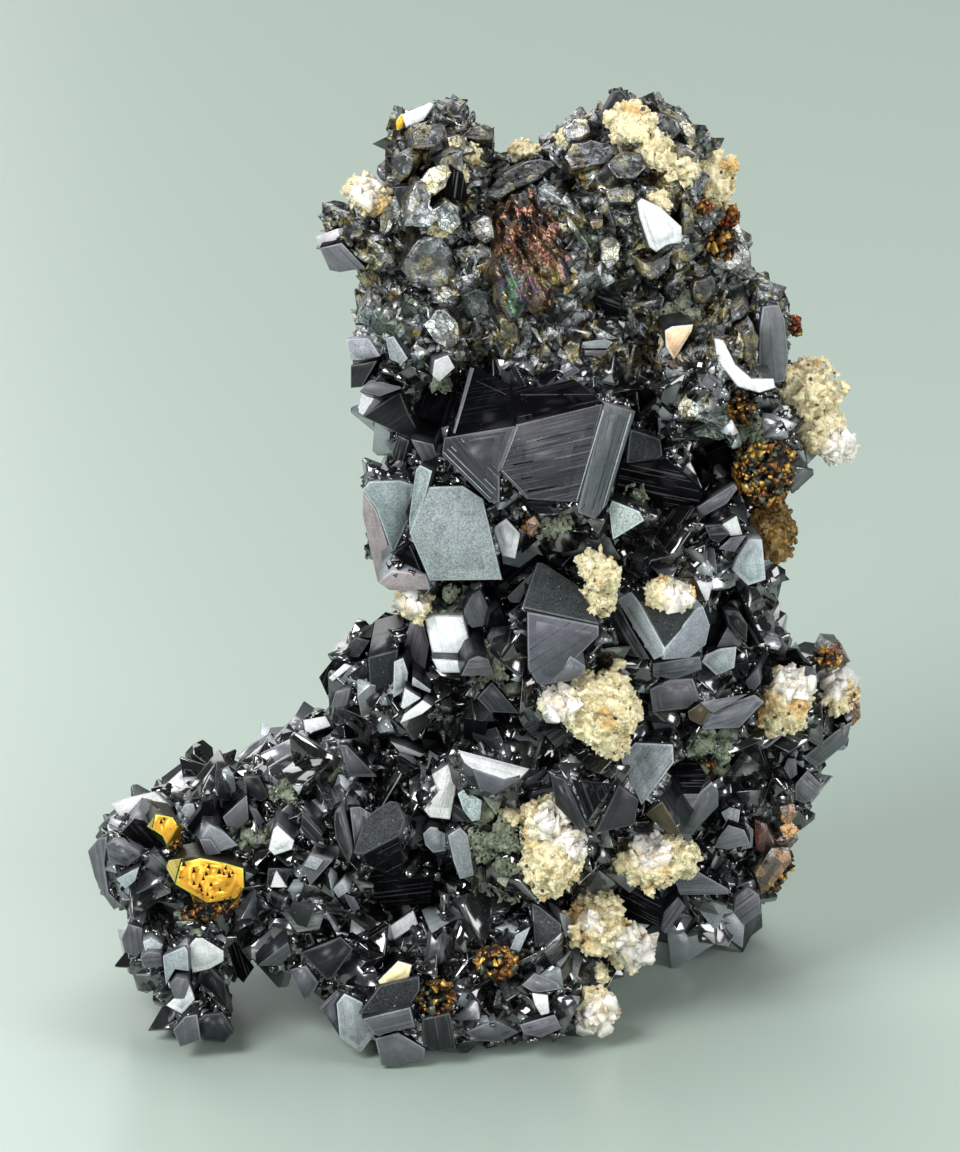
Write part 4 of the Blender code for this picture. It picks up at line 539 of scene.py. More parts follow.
    "silver_low": ("rough_pale", None, 1.8, (0.1, -0.1), 4, 1.04, (460, 296, 474, 290, 488, 294,
        494, 310, 486, 324, 470, 322, 462, 310)),
    "white_knot": ("rough_white", None, 1.9, (-0.1, 0.1), 4, 1.04, (424, 326, 436, 312, 446, 311,
        458, 326, 460, 340, 448, 352, 436, 344)),
    "olive_drop": ("rough_olive", None, 1.8, (0.2, 0), 4, 1.04, (500, 322, 512, 318, 518, 330, 520,
        344, 510, 346, 500, 334)),
    "arch": ("rough_dark", None, 1.6, (0.1, 0.5), 4, 1.04, (486, 196, 500, 176, 520, 166, 540, 160,
        556, 166, 540, 180, 516, 190, 500, 202)),
    "arch_brown": ("brown", None, 2, (0.1, 0.5), 4, 1.04, (492, 176, 506, 170, 524, 162, 530, 166,
        512, 176, 498, 182)),
    "slope_blue": ("rough_slate", None, 2, (0, 0.6), 4, 1.04, (562, 160, 572, 146, 590, 142, 612,
        146, 620, 156, 606, 166, 584, 170, 570, 172)),
    "slope_low": ("rough_slate", None, 1.9, (0.2, 0.5), 4, 1.04, (606, 168, 622, 154, 640, 156, 646,
        170, 634, 182, 616, 182)),
    "ridge_left": ("rough_pale", None, 1.8, (-0.3, 0.4), 4, 1.04, (562, 130, 574, 119, 586, 121,
        590, 134, 580, 142, 566, 144)),
    "ridge_dark": ("rough_dark", None, 2.6, (0.2, 0.2), 4, 1.04, (652, 128, 662, 118, 676, 122, 680,
        134, 672, 142, 658, 142)),
    "ridge_blue": ("rough_slate", None, 2.6, (0.3, 0.2), 4, 1.04, (676, 156, 684, 148, 696, 156,
        696, 168, 686, 174, 676, 166)),
    "ridge_cream": ("rough_cream", None, 1.6, (0.4, 0.3), 4, 1.04, (656, 104, 666, 111, 680, 117,
        694, 128, 698, 142, 690, 152, 684, 140, 676, 124, 660, 116)),
    "knot_right": ("rough_white", None, 1.8, (0.1, 0.1), 4, 1.04, (600, 244, 610, 240, 620, 248,
        618, 262, 606, 272, 600, 262)),
    "bar_dark": ("rough_dark", None, 1.8, (0, 0.4), 4, 1.04, (604, 194, 630, 191, 638, 198, 630,
        206, 608, 206)),
    "pit_dark": ("black", None, 1.4, (0.2, 0), 4, 1.04, (598, 290, 620, 298, 622, 318, 606, 320,
        596, 306)),
    "grain_right": ("rough_dark", None, 1.8, (0.2, 0.2), 4, 1.04, (632, 258, 652, 264, 672, 252,
        668, 270, 650, 282, 640, 274)),
    "blade_a": ("pale", None, 1.8, (0, 0.3), 4, 1.04, (582, 344, 604, 341, 612, 344, 606, 350, 580,
        350)),
    "blade_b": ("slate", None, 1.8, (0, 0.3), 4, 1.04, (584, 352, 606, 352, 604, 357, 584, 357)),
    "olive_a": ("rough_olive", None, 1.8, (-0.1, 0.1), 4, 1.04, (563, 350, 570, 342, 579, 346, 578,
        358, 568, 362)),
    "olive_b": ("rough_olive", None, 1, (0.2, 0), 4, 1.04, (742, 336, 752, 326, 758, 340, 756, 366,
        750, 374, 742, 360)),
    "shelf": ("rough_slate", None, 2, (0.2, 0.1), 4, 1.04, (684, 206, 690, 212, 692, 236, 682, 238,
        682, 218)),
    "wall_dark": ("rough_dark", None, 1.5, (0.3, 0.1), 4, 1.04, (694, 282, 712, 276, 716, 292, 704,
        306, 694, 304)),
    "plum_left": ("rough_slate", None, 1.6, (0, 0.1), 4, 1.04, (730, 312, 742, 302, 748, 310, 740,
        320, 730, 324)),
}

# Which way the growth lines run on some faces, as (across, down).
LINES_RUN = {
    "giant_striated": (1.0, -0.21),
    "giant_right": (-0.27, 1.0),
    "giant_left": (0.72, 0.70),
    "purple_face": (1.0, -0.62),
    "plank_purple": (1.0, 0.25),
    "opal_tooth": (-0.5, 1.0),
    "copper_bar": (-0.62, 0.78),
}

# Bits that are too small for a solid of their own, listed as the crystals are.
SMALL_BITS = {
    "opal_tooth": ("opal", None, 3.0, (0.1, 0.1), 3, 1.02, (664, 332, 671, 328, 692, 326, 691, 332, 673, 362, 665, 348)),
    "copper_bar": ("copper", None, 2.2, (0.2, 0.0), 4, 1.04, (758, 876, 774, 850, 792, 849, 795, 864, 776, 888, 764, 898)),
    "brown_block": ("brown_red", None, 1.6, (0.1, 0.2), 4, 1.04, (824, 656, 830, 644, 844, 645, 853, 662, 844, 670)),
    "copper_tooth": ("copper", None, 1.2, (0.1, 0.0), 3, 1.04, (849, 706, 862, 701, 864, 719, 855, 728, 849, 719)),
    "gold_drop": ("gold", None, 1.6, (0.0, 0.2), 3, 1.02, (396, 123, 402, 115, 405, 120, 403, 130, 397, 132)),
    "gold_fleck": ("ochre", None, 2.2, (0.0, 0.2), 3, 1.02, (387, 269, 396, 267, 395, 276, 389, 275)),
    "gold_nick": ("ochre", None, 2.6, (0.0, 0.2), 3, 1.02, (589, 224, 602, 222, 601, 230, 592, 232)),
    "cream_chip": ("cream", None, 2.0, (0.1, 0.2), 3, 1.04, (378, 982, 398, 962, 412, 966, 409, 978, 382, 993)),
    "red_face": ("brick", None, 2.4, (-0.2, 0.0), 3, 1.04, (757, 822, 769, 826, 777, 846, 769, 857, 758, 852)),
    "brown_gem": ("brown_red", None, 2.2, (0.2, 0.2), 3, 1.04, (772, 849, 789, 834, 798, 830, 802, 842, 793, 852, 778, 857)),
    "rosy_gem": ("copper", None, 1.8, (0.2, 0.2), 3, 1.04, (782, 829, 793, 822, 802, 832, 796, 839, 786, 839)),
    "orange_gem": ("copper", None, 1.6, (0.2, 0.2), 3, 1.04, (782, 808, 796, 805, 799, 816, 792, 826, 784, 824)),
    "copper_nick": ("copper", None, 1.6, (0.0, 0.1), 3, 1.04, (526, 522, 534, 516, 539, 524, 533, 538, 527, 534)),
}

# Gold faces of the pyrite: the colour, how far out, the lean, the depth and the corners. The
# colours are lit and shaded copies of one gold, painted light: paler on the face turned to the
# left, ochre on the face turned down as painted shade.
PYRITE_FACES = {
    "pyrite_large": [
        ("gold", 0.0, (0.05, 0.05), [
            (18.1, 86.3), (20.0, 85.9), (22.5, 86.4), (24.3, 86.9), (24.4, 88.8), (23.6, 89.9),
            (20.7, 90.4), (19.0, 89.4), (17.5, 88.5), (17.8, 87.3)]),
        ("gold_pale", -0.1, (-0.35, 0.1), [
            (16.5, 86.8), (16.8, 86.1), (18.2, 85.9), (18.1, 87.1), (17.4, 88.4)]),
        ("ochre", -0.3, (0.1, -0.8), [
            (19.0, 89.5), (20.7, 90.3), (23.6, 89.9), (24.3, 88.9), (23.7, 90.9), (21.7, 91.7),
            (19.6, 91.6)])],
    "pyrite_small": [
        ("gold", 0.0, (0.1, 0.1), [
            (15.5, 81.5), (17.2, 81.8), (17.8, 82.7), (16.6, 84.6), (16.2, 83.7), (15.2, 83.0)]),
        ("gold_pale", -0.1, (-0.3, 0.2), [(14.6, 82.7), (15.4, 81.6), (15.8, 82.6), (15.2, 83.1)]),
        ("ochre", -0.2, (0.6, -0.1), [
            (17.2, 81.9), (18.3, 82.8), (17.6, 84.4), (16.6, 84.7), (17.7, 82.7)])],
}
# Three-cornered growth pits in the gold faces: (across, down, half size).
PITS = [
    (18.35, 86.42, 0.30), (19.35, 87.12, 0.26), (20.85, 86.72, 0.23), (21.90, 87.25, 0.26),
    (22.55, 86.85, 0.20), (22.90, 87.62, 0.28), (23.20, 87.32, 0.18), (22.35, 87.42, 0.18),
    (20.60, 87.42, 0.24), (20.30, 87.92, 0.20), (19.36, 88.38, 0.22), (19.95, 88.62, 0.24),
    (21.08, 88.52, 0.22), (21.94, 89.02, 0.18), (20.12, 89.05, 0.20), (20.72, 89.50, 0.18),
    (21.20, 89.82, 0.16), (22.40, 90.05, 0.15), (23.00, 89.82, 0.14), (17.95, 87.75, 0.14),
    (16.05, 82.25, 0.20), (16.35, 81.95, 0.16)]

# Grains of metal and patches of chlorite and calcite between the crystals: (across, down, half
# width, half height, how far out of the ore).
GOLD_GRAINS = {
    "pyrite_specks": ("gold", [(20.8, 79.2, 2.0, 0.8, 0.4), (22.8, 80.4, 0.7, 0.8, 0.3)]),
    "copper_specks": ("copper", [(53.0, 52.6, 0.7, 0.9, 0.6), (70.7, 77.0, 0.8, 1.6, 0.4),
                                 (39.9, 97.0, 0.7, 0.6, 1.2), (62.3, 94.0, 0.5, 0.6, 0.4),
                                 (79.6, 32.6, 0.6, 1.0, 0.4), (74.1, 37.8, 0.6, 0.9, 0.4),
                                 (72.4, 21.6, 1.7, 1.3, 0.8), (70.3, 20.9, 0.9, 0.5, 0.4)]),
}
CHLORITE = [
    (44.8, 60.0, 1.5, 1.2, 0.9), (48.9, 83.4, 2.8, 3.0, 0.9), (49.6, 88.2, 2.8, 2.4, 0.9),
    (71.8, 75.8, 2.4, 2.2, 0.5), (25.3, 83.6, 1.7, 1.1, 0.3), (49.5, 67.2, 1.4, 2.4, 0.3),
    (67.8, 30.6, 1.8, 3.6, 0.9), (55.4, 52.6, 1.4, 0.9, 0.2), (64.5, 48.6, 1.4, 1.8, 0.1),
    (73.2, 62.2, 1.0, 1.6, 0.2), (20.4, 92.0, 2.4, 1.2, 0.3), (33.9, 76.5, 1.2, 0.8, 0.2),
    (28.6, 79.4, 1.2, 0.8, 0.2), (44.2, 38.2, 0.9, 1.0, 0.2), (75.4, 44.4, 1.2, 2.4, 0.4)]
CREAM = [
    (51.0, 81.6, 1.5, 0.9, 0.7), (56.2, 31.2, 0.9, 0.6, 0.5), (66.6, 34.4, 0.9, 1.6, 0.4),
    (43.8, 22.8, 1.3, 1.0, 0.6), (47.0, 15.6, 1.2, 0.8, 0.5), (52.2, 15.0, 1.8, 0.7, 0.5),
    (56.8, 14.0, 1.2, 0.6, 0.5), (61.8, 66.0, 0.4, 0.4, 0.3), (65.8, 20.6, 1.4, 1.6, 0.5),
    (72.2, 64.0, 0.8, 0.8, 0.4), (74.6, 69.4, 1.2, 0.9, 0.6), (60.2, 97.6, 0.8, 1.2, 0.6),
    (46.0, 17.6, 0.8, 0.8, 0.5), (74.0, 35.0, 0.8, 1.4, 0.4)]

# Where the calcite is white: (across, down, reach).
WHITE_CALCITE = [
    (79.8, 68.0, 2.6), (84.4, 44.8, 2.6), (63.9, 95.0, 3.0), (55.9, 70.4, 2.3), (60.2, 101.6, 2.4),
    (59.0, 92.2, 1.2), (55.4, 82.6, 2.6), (57.8, 84.6, 1.8), (65.0, 85.2, 2.2), (36.6, 19.2, 1.9),
    (41.3, 60.3, 1.5), (84.0, 68.6, 1.3), (67.8, 59.4, 1.5), (58.8, 102.0, 1.5)]

# Fine growth ridges on the large faces: the colour, seat, lean, how far out, width, start, end.
# The black strips stand for grooves in shadow: painted shadow.
RIDGES = [
    ("pale", "giant", (-0.35, 0.25), 0.05, 0.10, (44.35, 45.30), (49.05, 49.95)),
    ("slate", "giant", (-0.35, 0.25), 0.05, 0.16, (44.75, 45.00), (49.30, 49.50)),
    ("pale", "giant", (-0.35, 0.25), 0.05, 0.07, (45.15, 44.75), (49.55, 49.05)),
    ("dark", "giant", (-0.35, 0.25), 0.05, 0.30, (46.60, 44.00), (50.00, 47.60)),
    ("pale", "giant", (-0.35, 0.25), 0.05, 0.05, (46.10, 44.00), (49.80, 47.90)),
    ("slate", "giant", (0.7, -0.06), 5.33, 0.10, (61.05, 41.00), (58.10, 51.10)),
    ("pale", "giant", (0.7, -0.06), 5.33, 0.16, (63.00, 41.50), (60.20, 50.90)),
    ("dark", "giant", (0.7, -0.06), 5.33, 0.10, (61.90, 41.60), (59.20, 51.00)),
    ("slate", "giant", (0.7, -0.06), 5.33, 0.08, (62.40, 42.60), (59.90, 50.20)),
    ("pale", "giant", (0.05, 0.1), 0.05, 0.14, (60.25, 41.10), (57.60, 50.10)),
    ("pale", "giant", (0.05, 0.1), 0.05, 0.07, (51.75, 42.80), (50.15, 47.00)),
    ("pale", "giant", (0.05, 0.1), 0.05, 0.05, (50.20, 47.10), (52.80, 49.80)),
    ("black", "giant", (0.05, 0.1), 0.05, 0.10, (53.60, 44.20), (59.10, 42.95)),
    ("black", "giant", (0.05, 0.1), 0.05, 0.07, (52.20, 45.20), (57.20, 44.15)),
    ("black", "giant", (0.05, 0.1), 0.05, 0.09, (54.10, 45.60), (58.90, 44.55)),
    ("black", "giant", (0.05, 0.1), 0.05, 0.14, (51.30, 46.60), (56.40, 45.60)),
    ("black", "giant", (0.05, 0.1), 0.05, 0.06, (53.20, 47.00), (58.30, 46.00)),
    ("black", "giant", (0.05, 0.1), 0.05, 0.12, (52.10, 48.00), (57.00, 47.05)),
    ("black", "giant", (0.05, 0.1), 0.05, 0.22, (52.70, 49.20), (56.40, 48.60)),
    ("slate", "giant", (-0.46, 0.9), 0.10, 0.42, (47.20, 36.90), (45.40, 43.40)),
    ("dark", "giant", (-0.46, 0.9), 0.06, 0.10, (47.60, 38.20), (50.60, 39.60)),
    ("dark", "giant", (-0.155, 0.9), 0.06, 0.12, (52.00, 39.60), (59.20, 39.60)),
    ("dark", "giant", (-0.155, 0.9), 0.06, 0.08, (51.90, 41.80), (59.80, 40.20)),
    ("dark", "purple", (0.03, 0), 0.05, 0.05, (52.90, 66.20), (58.80, 62.60)),
    ("dark", "purple", (0.03, 0), 0.05, 0.04, (52.90, 67.40), (57.60, 64.40)),
    ("dark", "purple", (0.03, 0), 0.05, 0.04, (52.90, 65.00), (57.00, 62.20)),
]

# Colours of the sphalerite's faces, linear, then how frosted each is and how lined. The greys,
# from white, pale, satin and rose through slate and steel to dark and black, with their rough
# kinds, are one dark mineral drawn with painted light: a face painted pale stands for a
# reflection of the lamps, one painted black for none. The gold, copper, brown, cream, milk and
# green rows are the minerals' own colours.
COLOURS_AND_PAINTED_LIGHT = {
    "white": ((0.70, 0.73, 0.74), 0.30, 0.15),
    "pale": ((0.32, 0.355, 0.38), 0.45, 0.2),
    "satin": ((0.285, 0.34, 0.342), 0.75, 0.0),
    "slate": ((0.102, 0.107, 0.122), 0.22, 0.4),
    "steel": ((0.040, 0.041, 0.050), 0.30, 0.7),
    "dark": ((0.022, 0.024, 0.028), 0.12, 0.5),
    "black": ((0.003, 0.003, 0.004), 0.02, 0.35),
    "frosted": ((0.042, 0.047, 0.050), 1.0, 0.1),
    "rose": ((0.38, 0.335, 0.34), 0.45, 0.2),
    "rough_white": ((0.50, 0.52, 0.52), 0.10, 0.5),
    "rough_pale": ((0.22, 0.245, 0.26), 0.15, 0.8),
    "rough_slate": ((0.085, 0.095, 0.110), 0.20, 0.9),
    "rough_dark": ((0.028, 0.031, 0.036), 0.25, 0.9),
    "rough_cream": ((0.46, 0.42, 0.28), 0.15, 0.3),
    "rough_olive": ((0.16, 0.125, 0.025), 0.10, 0.4),
    "sage": ((0.065, 0.090, 0.062), 1.0, 0.0),
    "brown": ((0.045, 0.036, 0.018), 0.10, 0.4),
    "brown_red": ((0.11, 0.045, 0.018), 0.05, 0.9),
    "brick": ((0.24, 0.045, 0.012), 0.05, 0.9),
    "opal": ((0.80, 0.55, 0.36), 0.30, 0.25),
    "cream": ((0.72, 0.62, 0.36), 0.30, 0.1),
    "copper": ((0.27, 0.115, 0.025), 0.05, 1.0),
    "moss": ((0.15, 0.18, 0.125), 1.0, 0.0),
    "gold": ((0.96, 0.46, 0.045), 0.10, 0.25),
    "gold_pale": ((0.95, 0.70, 0.20), 0.20, 0.5),
    "ochre": ((0.28, 0.14, 0.015), 0.40, 0.9),
    "milk": ((0.86, 0.83, 0.78), 0.30, 0.2),
    "plain": ((1.0, 1.0, 1.0), 0.30, 0.5),
}
WARM = ("brown_red", "brick", "copper", "gold", "gold_pale", "ochre")


for table in (CRYSTALS, SMALL_BITS):
    for name, entry in table.items():
        table[name] = (*entry[:6], np.reshape(entry[6], (-1, 2)) / 10)
BOX_LOW = np.array(start_box[0]) / MM + (-0.5, -0.4, 0.0)
BOX_HIGH = np.array(start_box[1]) / MM + (0.5, 0.4, 0.5)


# Geometry helpers

def place(across, down, depth):
    """Model points, in mm, of places in the picture at a depth: x = across, y = depth, and z
    from the row: (floor row - down - depth x sin tilt) / cos tilt."""
    across, down, depth = np.broadcast_arrays(across, down, depth)
    height = (FLOOR_ROW - down - depth * SIN) / COS
    return np.stack([across - MIDDLE_ACROSS, depth - MIDDLE_DEPTH, height], axis=-1)


def in_picture(points):
    """(across, down) of model points in mm."""
    depth = points[..., 1] + MIDDLE_DEPTH
    down = FLOOR_ROW - points[..., 2] * COS - depth * SIN
    return np.stack([points[..., 0] + MIDDLE_ACROSS, down], axis=-1)


def lump_shapes():
    """Centres and half sizes (x, y, z) of the lumps, as rows."""
    rows = np.array(list(LUMPS.values()))
    centres = place(rows[:, 0], rows[:, 1], rows[:, 4])
    rise = np.maximum(rows[:, 3] ** 2 - (rows[:, 5] * SIN) ** 2, 9.0)
    return centres, np.stack([rows[:, 2], rows[:, 5], np.sqrt(rise) / COS], axis=-1)


def front_depth(across, down):
    """Depth of the first lump on the line of sight through each place: the lower root of
    |offset + t step|^2 = 1 in each lump's unit space."""
    centres, radii = lump_shapes()
    start = place(np.atleast_1d(across), np.atleast_1d(down), 0.0)[:, None, :]
    step = np.array([0.0, 1.0, -SIN / COS]) / radii
    offset = (start - centres) / radii
    a = (step ** 2).sum(-1)
    b = (offset * step).sum(-1)
    inside = b * b - a * ((offset ** 2).sum(-1) - 1.0)
    root = np.where(inside > 0, (-b - np.sqrt(np.maximum(inside, 0))) / a, NO_ROCK_DEPTH)
    return np.minimum(root.min(axis=1), NO_ROCK_DEPTH)


def hash01(cells):
    """Repeatable numbers from 0 to 1 for integer cells, from a sine's lost digits."""
    mixed = cells @ np.array([127.1, 311.7, 74.7])
    return np.modf(np.sin(mixed) * 43758.5453)[0] % 1.0


def noise(points, size, seed=0.0):
    """Smooth value noise from -1 to 1: corner values of a lattice of that size, blended by
    3t^2 - 2t^3 along x, y and z."""
    scaled = points / size + seed
    cell = np.floor(scaled)
    t = scaled - cell
    t = t * t * (3 - 2 * t)
    total = 0.0
    for corner in np.ndindex(2, 2, 2):
        weight = np.prod(np.where(np.array(corner), t, 1 - t), axis=-1)
        total = total + weight * hash01(cell + np.array(corner))
    return total * 2 - 1


def rotations(rng, count):
    """Random rotation matrices from normalised quaternions."""
    w, x, y, z = (q := rng.normal(size=(count, 4))).T / np.linalg.norm(q, axis=1)
    return np.stack([
        np.stack([1 - 2 * (y * y + z * z), 2 * (x * y - z * w), 2 * (x * z + y * w)], -1),
        np.stack([2 * (x * y + z * w), 1 - 2 * (x * x + z * z), 2 * (y * z - x * w)], -1),
        np.stack([2 * (x * z - y * w), 2 * (y * z + x * w), 1 - 2 * (x * x + y * y)], -1),
    ], axis=-2)


class Skin:
    """Faces gathered for one object, each with a colour, a frost, a line strength and its own
    flat coordinates in mm for the growth lines."""

    def __init__(self):
        self.points, self.loops, self.sizes = [], [], []
        self.uvs, self.colours, self.looks = [], [], []
        self.count = 0

    def add(self, points, loops, sizes, uvs, colours, looks):
        self.points.append(points)
        self.loops.append(np.asarray(loops) + self.count)
        self.sizes.append(sizes)
        self.uvs.append(uvs)
        self.colours.append(colours)
        self.looks.append(looks)
        self.count += len(points)

    def build(self, name, material):
        points = np.clip(np.concatenate(self.points), BOX_LOW, BOX_HIGH)
        loops = np.concatenate(self.loops).astype(np.int32)
        sizes = np.concatenate(self.sizes).astype(np.int32)
        mesh = bpy.data.meshes.new(name)
        mesh.vertices.add(len(points))
        mesh.vertices.foreach_set("co", (points * MM).astype(np.float32).ravel())
        mesh.loops.add(len(loops))
        mesh.loops.foreach_set("vertex_index", loops)
        mesh.polygons.add(len(sizes))
        starts = np.concatenate([[0], np.cumsum(sizes)[:-1]]).astype(np.int32)
        mesh.polygons.foreach_set("loop_start", starts)
        mesh.polygons.foreach_set("loop_total", sizes)
        mesh.update(calc_edges=True)
        uv = mesh.uv_layers.new(name="facet")
        uv.data.foreach_set("uv", np.concatenate(self.uvs).astype(np.float32).ravel())
        colour = mesh.attributes.new("colour", "FLOAT_COLOR", "FACE")
        rgb = np.concatenate(self.colours)
        rgba = np.concatenate([rgb, np.ones((len(rgb), 1))], axis=1)
        colour.data.foreach_set("color", rgba.astype(np.float32).ravel())
        looks = np.concatenate(self.looks).astype(np.float32)
        for index, label in enumerate(("frost", "lines", "seed")):
            values = mesh.attributes.new(label, "FLOAT", "FACE")
            values.data.foreach_set("value", np.ascontiguousarray(looks[:, index]))
        mesh.validate()
        mesh.materials.append(material)
        obj = bpy.data.objects.new(name, mesh)
        bpy.context.scene.collection.objects.link(obj)
        return obj


def newell(ring):
    """Unit normal of a ring: half the sum of the cross products of neighbouring corners."""
    total = np.cross(ring, np.roll(ring, -1, axis=0)).sum(axis=0)
    return total / np.linalg.norm(total)


def longest_edge_frame(ring, normal):
    """Axes in a face: along its longest edge, and across it."""
    edges = np.roll(ring, -1, axis=0) - ring
    along = edges[np.argmax((edges ** 2).sum(1))]
    along = along - normal * (along @ normal)
    along = along / np.linalg.norm(along)
    return along, np.cross(normal, along)


def inset(ring, width):
    """The ring moved inwards by a width: each corner goes along the sum of its two edges'
    inward normals divided by one plus their dot product."""
    edges = np.roll(ring, -1, axis=0) - ring
    inward = np.stack([-edges[:, 1], edges[:, 0]], axis=-1)
    inward /= np.linalg.norm(inward, axis=1, keepdims=True)
    before = np.roll(inward, 1, axis=0)
    spread = np.maximum(1 + (inward * before).sum(1, keepdims=True), 0.45)
    return ring + width * (inward + before) / spread


def loft(skin, rings, colours, looks, flat=1, run_along=None, mottled=None):
    """A closed solid through rings of equal corner count (rings x corners x 3), back to front
    and anticlockwise from the front, capped at both ends. Each band of side faces takes a row
    of the colours and looks, and the back and front caps the last two. The last bands, as many
    as flat, lie in the front face, whose growth lines follow its longest edge or a direction.
    A generator given as mottled sets the faces' tones apart."""
    rows, corners = rings.shape[:2]
    points = rings.reshape(-1, 3)
    k = np.arange(corners)
    bands = np.arange(rows - 1)[:, None] * corners
    near, far = bands + k, bands + (k + 1) % corners
    quads = np.stack([near, far, far + corners, near + corners], axis=-1)
    loops = np.concatenate([quads.ravel(), k[::-1], (rows - 1) * corners + k])
    sizes = np.concatenate([np.full(len(quads.reshape(-1, 4)), 4), [corners, corners]])
    start = rings[:-1]
    across = np.roll(rings, -1, axis=1)[:-1] - start
    length = np.linalg.norm(across, axis=-1)
    run = np.cumsum(length, axis=1) - length
    rise = np.linalg.norm(rings[1:] - start, axis=-1).mean(axis=1)
    height = np.concatenate([[0], np.cumsum(rise)])
    low = np.broadcast_to(height[:-1, None], run.shape)
    high = np.broadcast_to(height[1:, None], run.shape)
    side_uv = np.stack([run, low, run + length, low, run + length, high, run, high], axis=-1)
    side_uv = side_uv.reshape(rows - 1, corners, 4, 2)
    front = rings[-1]
    normal = newell(front)
    along, up = longest_edge_frame(front, normal)
    if run_along is not None:
        along = run_along - normal * (normal @ run_along)
        along = along / np.linalg.norm(along)
        up = np.cross(normal, along)
    axes = np.stack([along, up], axis=-1)
    if flat > 1:
        on_face = points[quads[rows - flat:]] @ axes
        side_uv[rows - flat:] = on_face.reshape(flat - 1, corners, 4, 2)
    cap_uv = front @ axes
    uvs = np.concatenate([side_uv.reshape(-1, 2), cap_uv[::-1], cap_uv])
    colours = np.concatenate([np.repeat(colours[:-2], corners, axis=0), colours[-2:]])
    looks = np.concatenate([np.repeat(looks[:-2], corners, axis=0), looks[-2:]])
    if mottled is not None:
        colours = np.clip(colours * np.exp(mottled.normal(0, 0.42, (len(colours), 1))), 0, 0.7)
    skin.add(points, loops, sizes, uvs, colours, looks)


# Sphalerite crystals

def shade(rng, colour_and_painted_light, spread=0.12):
    """Colour and look of one face in a colour of the table, its painted light with it, with a little chance in both.
    """
    colour, frost, lines = COLOURS_AND_PAINTED_LIGHT[colour_and_painted_light]
    factor = math.exp(rng.normal(0, spread))
    tint = 1 + rng.normal(0, 0.02, 3)
    lines = lines * rng.choice((0.3, 0.8, 1.3))
    return np.array(colour) * factor * tint, (frost * rng.uniform(0.7, 1.3), lines, rng.uniform())


def ragged(outline, rng, share=0.10):
    """An outline with a corner more on each edge, moved off it by up to a share of its length."""
    edges = np.roll(outline, -1, axis=0) - outline
    off = rng.uniform(-share, share, (len(outline), 1)) * edges[:, ::-1] * (1, -1)
    middles = outline + edges * rng.uniform(0.35, 0.65, (len(outline), 1)) + off
    return np.stack([outline, middles], axis=1).reshape(-1, 2)


